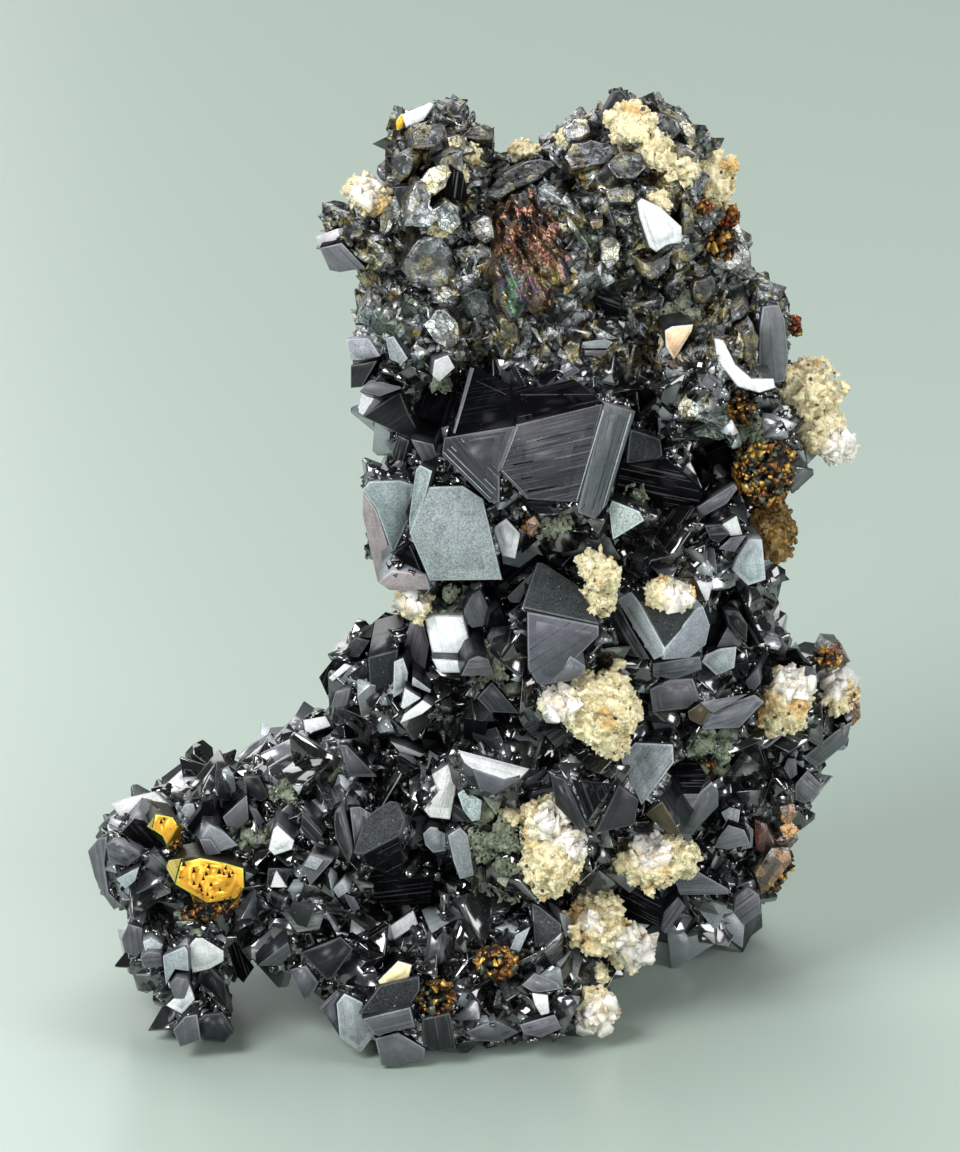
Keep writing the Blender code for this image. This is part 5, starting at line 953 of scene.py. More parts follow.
def listed_crystal(skin, name, entry, rng):
    """A crystal read from its front face. Local heights run from the face, 0, back to its
    root. The profile goes root, a few growth steps on the sides, the face's edge, a small
    bevel, and terraces that shrink towards a point of growth by a factor each."""
    colour_and_painted_light, seat, out, lean, depth, flare, outline = entry
    centre = outline.mean(axis=0)
    if seat:
        seat_across, seat_down, seat_depth = SEATS[seat]
    else:
        seat_across, seat_down = centre
        reach = front_depth(*np.vstack([centre, outline]).T)
        on_rock = reach[reach < NO_ROCK_DEPTH]
        missed = reach[0] >= NO_ROCK_DEPTH and len(on_rock)
        seat_depth = on_rock.max() if missed else reach[0]
    if colour_and_painted_light.startswith("rough"):
        outline = ragged(outline, rng)
    across, down = outline.T
    y = seat_depth - out + lean[0] * (across - seat_across) - lean[1] * (down - seat_down)
    ring = place(across, down, y)
    normal = newell(ring)
    if normal[1] > 0:
        ring, normal = ring[::-1], -normal
    along, up = longest_edge_frame(ring, normal)
    origin = ring.mean(axis=0)
    flat = np.stack([(ring - origin) @ along, (ring - origin) @ up], axis=-1)
    area = 0.5 * np.abs(np.cross(flat, np.roll(flat, -1, axis=0)).sum())
    size = math.sqrt(area)
    rim = np.linalg.norm(np.roll(flat, -1, axis=0) - flat, axis=1).sum()
    full = depth + ROOT
    bevel = min(0.035 * size + 0.02, 0.14, 0.25 * area / rim)

    layers = [(flat * flare, -full)]
    steps = int(np.clip(size / 1.4, 1, 5))
    for share in np.sort(rng.uniform(0.12, 0.8, steps))[::-1]:
        wide = 1 + (flare - 1) * share
        notch = 0.02 + 0.04 * rng.uniform()
        layers.append((inset(flat * wide, notch), -full * share - notch))
        layers.append((flat * wide, -full * share))
    layers.append((flat, -bevel))
    edge = inset(flat, bevel)
    layers.append((edge, 0.0))
    growth = edge.T @ rng.dirichlet(np.full(len(edge), 0.5))
    growth = growth * 0.86 + edge.mean(axis=0) * 0.14
    height = 0.0
    factor = 1.0
    broken = colour_and_painted_light.startswith("rough")
    terraces = 0 if area < 4 or colour_and_painted_light == "frosted" else int(rng.integers(0, 2 + (area > 12)))
    if broken:
        terraces = 0
        for factor in (0.72, 0.40):
            uneven = rng.uniform(-0.16, 0.05, (len(edge), 1)) * size * (1.3 - factor)
            layers.append((growth + (edge - growth) * factor, uneven))
    for _ in range(terraces):
        factor *= rng.uniform(0.62, 0.93)
        rise = rng.uniform(0.02, 0.05)
        layers.append((growth + (edge - growth) * factor, height))
        height += rise
        layers.append((growth + (edge - growth) * (factor - 0.004), height))
    rings = np.stack([origin + q @ np.stack([along, up]) + h * normal for q, h in layers])

    # The faces' colours carry painted light: the sides are drawn mostly dark, painted shade beside the front face,
    # and the warm crystals' sides brown, a painted shadow.
    side = ("black", "dark", "slate")[rng.choice(3, p=(0.35, 0.45, 0.2))]
    if colour_and_painted_light in ("white", "pale", "rose"):
        side = ("dark", "slate", "pale")[rng.choice(3, p=(0.35, 0.4, 0.25))]
    if colour_and_painted_light in WARM:
        side = "brown"
    face_colour, face_look = shade(rng, colour_and_painted_light, 0.04 if seat or area > 30 else 0.22)
    side_colour, side_look = shade(rng, side)
    # Painted highlights: the bevel round the face and the edges of the terraces are drawn paler than the face.
    painted_edge_highlight = colour_and_painted_light not in ("black", "sage")
    bright = np.minimum(face_colour * 1.4 + rng.uniform(0.02, 0.10) * painted_edge_highlight, 0.7)
    sides = 2 * steps + 1
    colours = [side_colour] * sides + [face_colour * 0.8 if broken else bright]
    looks = [side_look] * sides + [(0.35, 0.0, face_look[2])]
    if broken:
        colours += [face_colour] * 2
        looks += [face_look] * 2
    for level in range(terraces):
        colours += [face_colour * (1 - 0.04 * level), bright * 0.6]
        looks += [face_look, (0.3, 0.0, face_look[2])]
    colours += [side_colour, face_colour]
    looks += [side_look, face_look]
    run = LINES_RUN.get(name)
    run = None if run is None else place(*run, 0.0) - place(0.0, 0.0, 0.0)
    loft(skin, rings, np.array(colours), np.array(looks), 3 if broken else 2 * terraces + 1, run,
         rng if broken else None)


def crystal_forms(rng, count, bevel=0.0, flat=1.0):
    """Unit sphalerite forms: the points inside four tetrahedron faces, the four opposite ones
    further out, and six cube faces, each distance drawn at random, so that no two are alike."""
    tetra = np.array([[1, 1, 1], [1, -1, -1], [-1, 1, -1], [-1, -1, 1]]) / math.sqrt(3)
    cube = np.vstack([np.eye(3), -np.eye(3)])
    normals = np.vstack([tetra, -tetra, cube])
    forms = []
    for _ in range(count):
        distances = np.concatenate([
            rng.uniform(0.42, 0.62, 4), rng.uniform(0.80, 1.6, 4), rng.uniform(0.90, 1.6, 6)])
        triples = np.array([(i, j, k) for i in range(14) for j in range(i) for k in range(j)])
        matrices = normals[triples]
        sound = np.abs(np.linalg.det(matrices)) > 1e-3
        corners = np.linalg.solve(matrices[sound], distances[triples[sound]][..., None])[..., 0]
        corners = corners[(corners @ normals.T <= distances + 1e-6).all(axis=1)]
        corners = np.unique(np.round(corners, 5), axis=0) * (1, 1, flat)
        bm = bmesh.new()
        for corner in corners:
            bm.verts.new(corner)
        bmesh.ops.convex_hull(bm, input=bm.verts)
        bmesh.ops.dissolve_limit(bm, angle_limit=math.radians(1), verts=bm.verts, edges=bm.edges)
        if bevel:
            bmesh.ops.bevel(bm, geom=bm.edges, offset=bevel, segments=1, affect="EDGES",
                            profile=0.5, clamp_overlap=True)
        bmesh.ops.recalc_face_normals(bm, faces=bm.faces)
        forms.append(form_arrays(bm))
        bm.free()
    return forms


def form_arrays(bm):
    """A bmesh as arrays: points, loops, sizes, flat coordinates and which faces are bevels."""
    bm.verts.index_update()
    points = np.array([vert.co for vert in bm.verts])
    loops, sizes, uvs, areas = [], [], [], []
    for face in bm.faces:
        ring = np.array([vert.co for vert in face.verts])
        along, up = longest_edge_frame(ring, np.array(face.normal))
        loops += [vert.index for vert in face.verts]
        sizes.append(len(ring))
        uvs.append(np.stack([ring @ along, ring @ up], axis=-1))
        areas.append(face.calc_area())
    areas = np.array(areas)
    return points, np.array(loops), np.array(sizes), np.vstack(uvs), areas < 0.10 * areas.max()


def add_forms(skin, forms, centres, radii, turns, face_colours_and_painted_light, rng, tints=None, glints=0.0):
    """Copies of the forms: point = centre + radius x turn x unit point. A crystal's faces are
    in its colour, some a step lighter or darker; a share of them, glints, is painted pale as
    painted glints, and its bevels are painted pale as painted highlights, paler still on some
    crystals."""
    pick = rng.integers(0, len(forms), len(centres))
    base = np.array([COLOURS_AND_PAINTED_LIGHT[name][0] for name in face_colours_and_painted_light])
    look = np.array([COLOURS_AND_PAINTED_LIGHT[name][1:] for name in face_colours_and_painted_light])
    for index, (points, loops, sizes, uvs, thin) in enumerate(forms):
        mine = np.flatnonzero(pick == index)
        n, f = len(mine), len(sizes)
        if not n:
            continue
        moved = np.einsum("nij,pj->npi", turns[mine], points) * radii[mine][:, None, None]
        moved = moved + centres[mine][:, None, :]
        shift = np.arange(n)[:, None] * len(points)
        levels = np.exp(rng.normal(0, 0.5, (n, f, 1)))
        colours = np.clip(base[mine][:, None, :] * levels, 0.004, 0.8)
        # Painted glints: random faces painted pale in place of a reflection of the lamps.
        glint = rng.uniform(size=(n, f, 1)) < glints
        colours = np.where(glint, (0.22, 0.25, 0.26) * np.sqrt(levels), colours)
        # Painted highlights: the bevels drawn paler than the faces, more so on some crystals.
        painted_edge_highlight = rng.uniform(size=(n, 1, 1)) < 0.45
        pale = np.clip(colours * 1.3 + 0.05 * painted_edge_highlight, 0, 0.6)
        colours = np.where(thin[None, :, None], pale, colours)
        if tints is not None:
            colours = colours * tints[mine][:, None, :]
        looks = np.concatenate([
            np.repeat(look[mine][:, None, :], f, axis=1), rng.uniform(size=(n, f, 1))], axis=-1)
        looks[:, :, 1] *= rng.choice((0.0, 0.5, 1.5), size=(n, f))
        skin.add(moved.reshape(-1, 3), (loops[None, :] + shift).ravel(), np.tile(sizes, n),
                 (uvs[None] * radii[mine][:, None, None]).reshape(-1, 2),
                 colours.reshape(-1, 3), looks.reshape(-1, 3))


def surface_points(obj, rng, count):
    """Random points on an object's faces, in mm, with their normals, even by area."""
    mesh = obj.data
    mesh.calc_loop_triangles()
    corners = np.empty(len(mesh.vertices) * 3, np.float32)
    mesh.vertices.foreach_get("co", corners)
    corners = corners.reshape(-1, 3).astype(float) / MM
    faces = np.empty(len(mesh.loop_triangles) * 3, np.int32)
    mesh.loop_triangles.foreach_get("vertices", faces)
    a, b, c = (corners[column] for column in faces.reshape(-1, 3).T)
    cross = np.cross(b - a, c - a)
    area = np.linalg.norm(cross, axis=1)
    pick = rng.choice(len(a), count, p=area / area.sum())
    s, t = rng.uniform(size=(2, count, 1))
    s = np.sqrt(s)
    points = a[pick] * (1 - s) + b[pick] * s * (1 - t) + c[pick] * s * t
    return points, cross[pick] / np.maximum(area[pick], 1e-9)[:, None]


def spaced(points, radii, share, batch=1500):
    """Which points stay when each keeps share x (its radius + the other's) from those before."""
    kept = np.zeros(len(points), bool)
    for start in range(0, len(points), batch):
        here = np.arange(start, min(start + batch, len(points)))
        if kept.any():
            p, q = points[here], points[kept]
            apart = (p ** 2).sum(1)[:, None] + (q ** 2).sum(1) - 2 * p @ q.T
            gap = share * (radii[here][:, None] + radii[kept])
            here = here[(apart >= gap ** 2).all(axis=1)]
        fresh = np.zeros(len(here), bool)
        for index, point in enumerate(here):
            near = ((points[here[fresh]] - points[point]) ** 2).sum(axis=1)
            fresh[index] = (near >= (share * (radii[here[fresh]] + radii[point])) ** 2).all()
        kept[here[fresh]] = True
    return kept


def inside_ring(places, ring):
    """Which places lie inside a ring in the picture, by how many edges lie to their right."""
    a0, d0 = ring.T
    a1, d1 = np.roll(ring, -1, axis=0).T
    a, d = places[:, :1], places[:, 1:]
    spans = (d0 > d) != (d1 > d)
    reach = a0 + (d - d0) * (a1 - a0) / np.where(d1 == d0, 1e-9, d1 - d0)
    return (spans & (a < reach)).sum(axis=1) % 2 == 1


def listed_gap(points):
    """Distance in the picture, in mm, from points to the nearest listed crystal or cluster; 0 on
    one, and large for points behind the front."""
    places = in_picture(points)
    gap = np.full(len(points), 99.0)
    for entry in CRYSTALS.values():
        ring = entry[6]
        near = np.flatnonzero(((places > ring.min(0) - 3) & (places < ring.max(0) + 3)).all(1))
        offset = places[near][:, None] - ring
        edge = np.roll(ring, -1, axis=0) - ring
        share = np.clip((offset * edge).sum(-1) / (edge ** 2).sum(-1), 0, 1)
        away = np.linalg.norm(offset - share[..., None] * edge, axis=-1).min(axis=1)
        away[inside_ring(places[near], ring)] = 0
        gap[near] = np.minimum(gap[near], away)
    for _, lumps in CLUSTERS.values():
        for across, down, half_width, half_height, *_ in lumps:
            half = np.array([half_width, half_height])
            share = np.linalg.norm((places - (across, down)) / half, axis=1)
            gap = np.minimum(gap, np.maximum(share - 0.9, 0) * half.min())
    behind = points[:, 1] + MIDDLE_DEPTH > front_depth(*places.T) + 4.0
    gap[behind] = 99.0
    return gap


# What is grown on the sphalerite

def mesh_object(name, mesh, material):
    mesh.materials.clear()
    mesh.materials.append(material)
    obj = bpy.data.objects.new(name, mesh)
    bpy.context.scene.collection.objects.link(obj)
    return obj


def remeshed(name, bm, voxel, material, smooth=True):
    """One closed skin over everything in a bmesh, at a voxel size in mm."""
    mesh = bpy.data.meshes.new(name + "_raw")
    bm.to_mesh(mesh)
    bm.free()
    raw = bpy.data.objects.new(name + "_raw", mesh)
    bpy.context.scene.collection.objects.link(raw)
    modifier = raw.modifiers.new("Skin", "REMESH")
    modifier.mode = "VOXEL"
    modifier.voxel_size = voxel * MM
    modifier.use_smooth_shade = smooth
    graph = bpy.context.evaluated_depsgraph_get()
    skinned = bpy.data.meshes.new_from_object(raw.evaluated_get(graph))
    bpy.data.objects.remove(raw)
    skinned.name = name
    return mesh_object(name, skinned, material)


def moved_by_noise(obj, layers, pull=0.0):
    """Moves each vertex along its normal by a sum of noises (size, height) in mm, less a pull.
    Nothing goes below the floor or out of the solids' box."""
    mesh = obj.data
    points = np.empty(len(mesh.vertices) * 3, np.float32)
    normals = np.empty(len(mesh.vertices) * 3, np.float32)
    mesh.vertices.foreach_get("co", points)
    mesh.vertex_normals.foreach_get("vector", normals)
    points = points.reshape(-1, 3).astype(float)
    normals = normals.reshape(-1, 3).astype(float)
    height = -pull + sum(high * noise(points / MM, size, size * 3.1) for size, high in layers)
    points += normals * height[:, None] * MM
    points = np.clip(points, BOX_LOW * MM, BOX_HIGH * MM)
    mesh.vertices.foreach_set("co", points.astype(np.float32).ravel())
    mesh.update()


def lump_points(lumps, rng, per_mm):
    """Points on the outer surface of a cluster's lumps, with their outward directions."""
    points, outward = [], []
    shapes = []
    for across, down, half_width, half_height, depth, half_depth, turn in lumps:
        centre = place(across, down, depth)
        shapes.append((centre, np.array([half_width, half_depth, half_height]) * 0.92, turn))
    for centre, radii, turn in shapes:
        area = 4 * math.pi * ((radii[0] * radii[1]) ** 1.6 + (radii[0] * radii[2]) ** 1.6
                              + (radii[1] * radii[2]) ** 1.6) / 3
        count = int(per_mm * area ** (1 / 1.6) * 4)
        unit = rng.normal(size=(count, 3))
        unit /= np.linalg.norm(unit, axis=1, keepdims=True)
        spin = np.array(Matrix.Rotation(math.radians(turn), 3, "Y"))
        points.append(centre + (unit * radii) @ spin.T)
        normal = unit / radii
        outward.append((normal / np.linalg.norm(normal, axis=1, keepdims=True)) @ spin.T)
    points, outward = np.vstack(points), np.vstack(outward)
    buried = np.zeros(len(points), bool)
    for centre, radii, turn in shapes:
        spin = np.array(Matrix.Rotation(math.radians(turn), 3, "Y"))
        buried |= ((((points - centre) @ spin) / radii) ** 2).sum(axis=1) < 0.93
    return points[~buried], outward[~buried], shapes


def grainy_crust(name, lumps, material, rng, grain=0.36, voxel=0.155, ragged=1.7,
                 sugar=2.5):
    """Calcite: a crowd of small turned blocks over the cluster's lumps, made one skin. How far
    a block stands out follows a noise, so that the crust swells, thins and ends raggedly.
    Sugar is how many sharp grains lie on each square mm of it."""
    points, outward, shapes = lump_points(lumps, rng, 0.23 / grain ** 1.5)
    bm = bmesh.new()
    for centre, radii, turn in shapes:
        size = Matrix.Translation(Vector(centre) * MM) @ Matrix.Rotation(
            math.radians(turn), 4, "Y") @ Matrix.Diagonal((*(radii * MM * 0.80), 1))
        bmesh.ops.create_icosphere(bm, subdivisions=3, radius=1.0, matrix=size)
    turns = rotations(rng, len(points))
    swell = noise(points, 2.6, 4.0) * ragged + noise(points, 0.9, 9.0) * 0.45
    keep = swell > -1.25
    for point, out, turn, bulge in zip(points[keep], outward[keep], turns[keep], swell[keep]):
        size = grain * rng.uniform(0.5, 1.5)
        lift = min(bulge * 0.62 - 0.1, 1.3)
        matrix = Matrix.Translation(Vector(point + out * lift) * MM) @ Matrix(turn).to_4x4()
        matrix = matrix @ Matrix.Diagonal((size * MM, size * 0.7 * MM, size * 1.5 * MM, 1))
        bmesh.ops.create_cube(bm, size=1.5, matrix=matrix)
        deeper = Matrix.Translation(Vector(-out * (0.7 + max(lift, 0))) * MM)
        bmesh.ops.create_cube(bm, size=1.9, matrix=deeper @ matrix)
    crust = remeshed(name, bm, voxel, material)
    moved_by_noise(crust, [(0.5, 0.05)])
    if sugar:
        sprinkled(crust, rng, sugar)
    mark_white(crust)
    return crust


def sprinkled(crust, rng, per_mm2):
    """Adds to a crust sharp crystals of 0.1 to 0.3 mm, half sunk in its skin."""
    area = sum(face.area for face in crust.data.polygons) / MM ** 2
    points, normals = surface_points(crust, rng, int(area * per_mm2))
    radii = np.exp(rng.normal(math.log(0.16), 0.35, len(points)))
    points = points + normals * radii[:, None] * 0.15
    skin = Skin()
    add_forms(skin, crystal_forms(rng, 10), points, radii, rotations(rng, len(points)),
              ["plain"] * len(points), rng)
    grains = skin.build(crust.name + "_sugar", crust.data.materials[0])
    bm = bmesh.new()
    for mesh in (crust.data, grains.data):
        bm.from_mesh(mesh)
    bpy.data.objects.remove(grains)
    bm.to_mesh(crust.data)
    bm.free()


def mark_white(obj):
    """A share of white at each corner: 1 at the middle of a white place of the calcite, and 0
    at its reach, give or take a noise."""
    corners = np.empty(len(obj.data.vertices) * 3, np.float32)
    obj.data.vertices.foreach_get("co", corners)
    corners = corners.reshape(-1, 3).astype(float) / MM
    places = in_picture(corners)
    white = np.full(len(corners), -1.0)
    for across, down, reach in WHITE_CALCITE:
        away = np.linalg.norm(places - (across, down), axis=1)
        white = np.maximum(white, 1.3 - 1.3 * away / reach)
    white = np.clip(white + 0.35 * noise(corners, 0.8, 2.0), 0, 1)
    share = obj.data.attributes.new("white", "FLOAT", "POINT")
    share.data.foreach_set("value", white.astype(np.float32))


def grain_pile(name, lumps, face_colours_and_painted_light, tints, rng, material, radius=(0.3, 0.75), dense=1.6):
    """Metal sulphide crust: a crowd of small sharp crystals over the cluster's lumps."""
    points, outward, shapes = lump_points(lumps, rng, dense)
    radii = rng.uniform(*radius, len(points)) ** 1.0
    kept = spaced(points, radii, 0.55)
    points, outward, radii = points[kept], outward[kept], radii[kept]
    skin = Skin()
    for centre, half, _ in shapes:
        core = crystal_forms(rng, 1)[0]
        add_scaled(skin, core, centre, half * 0.93, np.array(tints[-1]) * 0.25)
    tint = np.array(tints)[rng.integers(0, len(tints), len(points))]
    names = [face_colours_and_painted_light[i] for i in rng.integers(0, len(face_colours_and_painted_light), len(points))]
    add_forms(skin, crystal_forms(rng, 10), points - outward * radii[:, None] * 0.2, radii,
              rotations(rng, len(points)), names, rng, tint)
    return skin.build(name, material)


def add_scaled(skin, form, centre, half, colour):
    """One form stretched to half sizes, as the bed under a crust."""
    points, loops, sizes, uvs, _ = form
    faces = len(sizes)
    skin.add(centre + points * half, loops, sizes, uvs * half.mean(),
             np.repeat(np.asarray(colour)[None], faces, axis=0),
             np.tile((0.8, 0.0, 0.3), (faces, 1)))


def calcite_blocks(crusts, material, rng):
    """Clear white blocks of 0.3 to 0.9 mm, in a crowd over each white place of the crusts."""
    clouds = [surface_points(crust, rng, 9000) for crust in crusts]
    points, normals = (np.concatenate(part) for part in zip(*clouds))
    places = in_picture(points)
    skin = Skin()
    forms = crystal_forms(rng, 8)
    for across, down, reach in WHITE_CALCITE:
        away = np.linalg.norm(places - (across, down), axis=1)
        near = np.flatnonzero((away < reach * 0.62) & (normals[:, 1] < 0.3))
        if not len(near):
            continue
        radii = np.clip(rng.lognormal(math.log(0.55), 0.35, len(near)), 0.3, 0.95)
        order = np.argsort(-radii)
        near, radii = near[order], radii[order]
        kept = spaced(points[near], radii, 0.62)
        near, radii = near[kept], radii[kept]
        centres = points[near] - normals[near] * radii[:, None] * 0.35
        add_forms(skin, forms, centres, radii, rotations(rng, len(near)),
                  ["milk"] * len(near), rng)
    return skin.build("calcite_white_blocks", material)


# Pyrite, bornite and the small patches

def ridge_entry(colour_and_painted_light, seat, lean, out, width, start, end):
    """A crystal entry for a thin strip between two places of a face."""
    start, end = np.array(start), np.array(end)
    side = np.array([end[1] - start[1], start[0] - end[0]])
    side = side / np.linalg.norm(side) * width / 2
    taper = 0.6
    corners = [start + side, end + side * taper, end - side * taper, start - side]
    return colour_and_painted_light, seat, out, lean, 0.4, 1.1, np.array(corners)


def front_of(lump):
    """Depth of a lump's foremost point."""
    return lump[4] - lump[5]


def pyrite_tile(name, lumps, material, pit_material, rng):
    """Pyrite: flat gold faces set round one point, with growth pits cut into them."""
    skin = Skin()
    across, down = lumps[0][:2]
    SEATS[name] = (across, down, front_of(lumps[0]) + 0.5)
    for index, (colour_and_painted_light, out, lean, corners) in enumerate(PYRITE_FACES[name]):
        entry = (colour_and_painted_light, name, out, lean, 3, 1.0, np.array(corners))
        listed_crystal(skin, f"{name}_{index}", entry, rng)
    tile = skin.build(name + "_tile", material)
    bm = bmesh.new()
    colour_and_painted_light, out, lean, _ = PYRITE_FACES[name][0]
    for a, d, half in PITS:
        if abs(a - across) > 4.2 or abs(d - down) > 3.2:
            continue
        y = SEATS[name][2] - out + lean[0] * (a - across) - lean[1] * (d - down)
        turn = rng.normal(0, 0.12)
        ring = []
        for angle in (90, 210, 330):
            angle = math.radians(angle) + turn
            ring.append((a + half * math.cos(angle), d - half * 1.5 * math.sin(angle)))
        near = [bm.verts.new(place(*corner, y - 0.3) * MM) for corner in ring]
        far = [bm.verts.new(place(*corner, y + 0.28) * MM) for corner in ring]
        bmesh.ops.convex_hull(bm, input=near + far)
    cutter = bpy.data.meshes.new(name + "_pits")
    bmesh.ops.recalc_face_normals(bm, faces=bm.faces)
    bm.to_mesh(cutter)
    bm.free()
    cutter_obj = mesh_object(name + "_pits", cutter, pit_material)
    modifier = tile.modifiers.new("Pits", "BOOLEAN")
    modifier.operation = "DIFFERENCE"
    modifier.object = cutter_obj
    modifier.solver = "EXACT"
    modifier.use_self = True
    modifier.material_mode = "TRANSFER"
    graph = bpy.context.evaluated_depsgraph_get()
    cut = bpy.data.meshes.new_from_object(tile.evaluated_get(graph))
    tile.modifiers.clear()
    tile.data = cut
    bpy.data.objects.remove(cutter_obj)
    return tile


def bornite_sheet(name, lumps, material, rows=90, columns=220):
    """A crumpled leaf, closed round a pole in front and one behind. At angle t and reach s, 0
    at the front pole, 1 at the rim, 2 at the back pole, and r = min(s, 2 - s):
    across = middle + 4.3 r R(t) cos t, down = middle + 6.2 r R(t) sin t with a jagged R, and
    depth = slope x down - dome (1 - r^2) - folds + 1.2 r^6, the back 1.4 mm deeper."""
    s = np.concatenate([np.linspace(0, 1, rows) ** 0.9, 2 - np.linspace(1, 0, 12)[1:]])[:, None]
    t = np.linspace(0, math.tau, columns, endpoint=False)[None, :]
    r = np.minimum(s, 2 - s)
    edge = 1 + 0.10 * np.sin(3 * t + 1) + 0.06 * np.sin(7 * t) + 0.05 * np.sin(13 * t + 2)
    across = 52.7 + 4.2 * r * edge * np.cos(t)
    down = 26.0 + 6.1 * r * edge * np.sin(t)
    flat = np.stack([across, np.zeros_like(across), down], axis=-1).reshape(-1, 3)
    lean = np.stack([flat[:, 0] - 0.5 * flat[:, 2], flat[:, 1], flat[:, 2] * 0.45], axis=-1)
    wander = noise(flat, 2.2, 1.0)
    folds = 1.1 * np.abs(noise(lean + wander[:, None] * 0.8, 1.5, 2.0))
    folds += 0.55 * np.abs(noise(lean + wander[:, None] * 0.3, 0.6, 3.0))
    folds += 0.10 * noise(flat, 0.25, 5.0)
    folds = folds.reshape(across.shape) * np.clip(1.6 - 1.4 * r, 0, 1)
    high, low = lumps[0], lumps[1]
    slope = (front_of(low) - front_of(high)) / (low[1] - high[1])
    depth = front_of(high) + slope * (down - high[1]) + 0.6 - 0.7 * (1 - r * r) - folds
    depth = depth + 1.5 * r ** 6 + 1.6 * np.maximum(s - 1, 0)
    points = place(across, down, depth).reshape(-1, 3)
    count = across.shape[0]
    i = np.arange(count - 1)[:, None] * columns
    j = np.arange(columns)[None, :]
    k = (j + 1) % columns
    quads = np.stack([i + j, i + columns + j, i + columns + k, i + k], axis=-1).reshape(-1, 4)
    mesh = bpy.data.meshes.new(name)
    mesh.from_pydata((points * MM).tolist(), [], quads.tolist())
    bm = bmesh.new()
    bm.from_mesh(mesh)
    bmesh.ops.remove_doubles(bm, verts=bm.verts, dist=0.00001)
    bmesh.ops.recalc_face_normals(bm, faces=bm.faces)
    bm.to_mesh(mesh)
    bm.free()
    mesh.shade_smooth()
    corners = np.empty(len(mesh.vertices) * 3, np.float32)
    mesh.vertices.foreach_get("co", corners)
    fall = (in_picture(corners.reshape(-1, 3) / MM)[:, 1] - 19.9) / 12.2
    down_leaf = mesh.attributes.new("fall", "FLOAT", "POINT")
    down_leaf.data.foreach_set("value", fall.astype(np.float32))
    return mesh_object(name, mesh, material)


def patch_lumps(patches, half_depth=1.6):
    """Lumps for patches given as (across, down, half width, half height, out)."""
    lumps = []
    for across, down, half_width, half_height, out in patches:
        reach = float(front_depth(np.array([across]), np.array([down]))[0])
        lumps.append((across, down, half_width, half_height, reach - out + half_depth,
                      half_depth, 0))
    return lumps


# Materials

def nodes_of(name, **values):
    """A material, its node tree and its Principled shader with these socket values."""
    material = bpy.data.materials.new(name)
    material.use_nodes = True
    shader = material.node_tree.nodes["Principled BSDF"]
    for label, value in values.items():
        shader.inputs[label.replace("_", " ")].default_value = value
    return material, material.node_tree, shader


def node(tree, kind, inputs=None, **settings):
    """A node with its settings, and its inputs given as values or as sockets to link."""
    made = tree.nodes.new("ShaderNode" + kind)
    for label, value in settings.items():
        setattr(made, label, value)
    for label, value in (inputs or {}).items():
        socket = made.inputs[label]
        if isinstance(value, bpy.types.NodeSocket):
            tree.links.new(value, socket)
        else:
            socket.default_value = value
    return made


def math_node(tree, operation, *values, clamp=False):
    made = node(tree, "Math", operation=operation, use_clamp=clamp)
    for socket, value in zip(made.inputs, values):
        if isinstance(value, bpy.types.NodeSocket):
            tree.links.new(value, socket)
        else:
            socket.default_value = value
    return made.outputs[0]


def ramp(tree, factor, stops, interpolation="LINEAR"):
    made = node(tree, "ValToRGB", {"Fac": factor})
    made.color_ramp.interpolation = interpolation
    elements = made.color_ramp.elements
    while len(elements) < len(stops):
        elements.new(0.5)
    for element, (position, colour) in zip(elements, stops):
        element.position = position
        element.color = (*colour, 1.0) if len(colour) == 3 else colour
    return made.outputs["Color"]


def mixed(tree, factor, a, b, blend="MIX"):
    made = node(tree, "Mix", data_type="RGBA", blend_type=blend)
    for index, value in ((0, factor), (6, a), (7, b)):
        socket = made.inputs[index]
        if isinstance(value, bpy.types.NodeSocket):
            tree.links.new(value, socket)
        else:
            socket.default_value = value if index == 0 else (*value, 1.0)
    return made.outputs[2]


def attribute(tree, name, output="Fac"):
    return node(tree, "Attribute", attribute_name=name).outputs[output]


def noise_node(tree, vector, scale, detail=3.0, roughness=0.55):
    return node(tree, "TexNoise", {"Vector": vector, "Scale": scale, "Detail": detail,
                                   "Roughness": roughness}).outputs["Fac"]


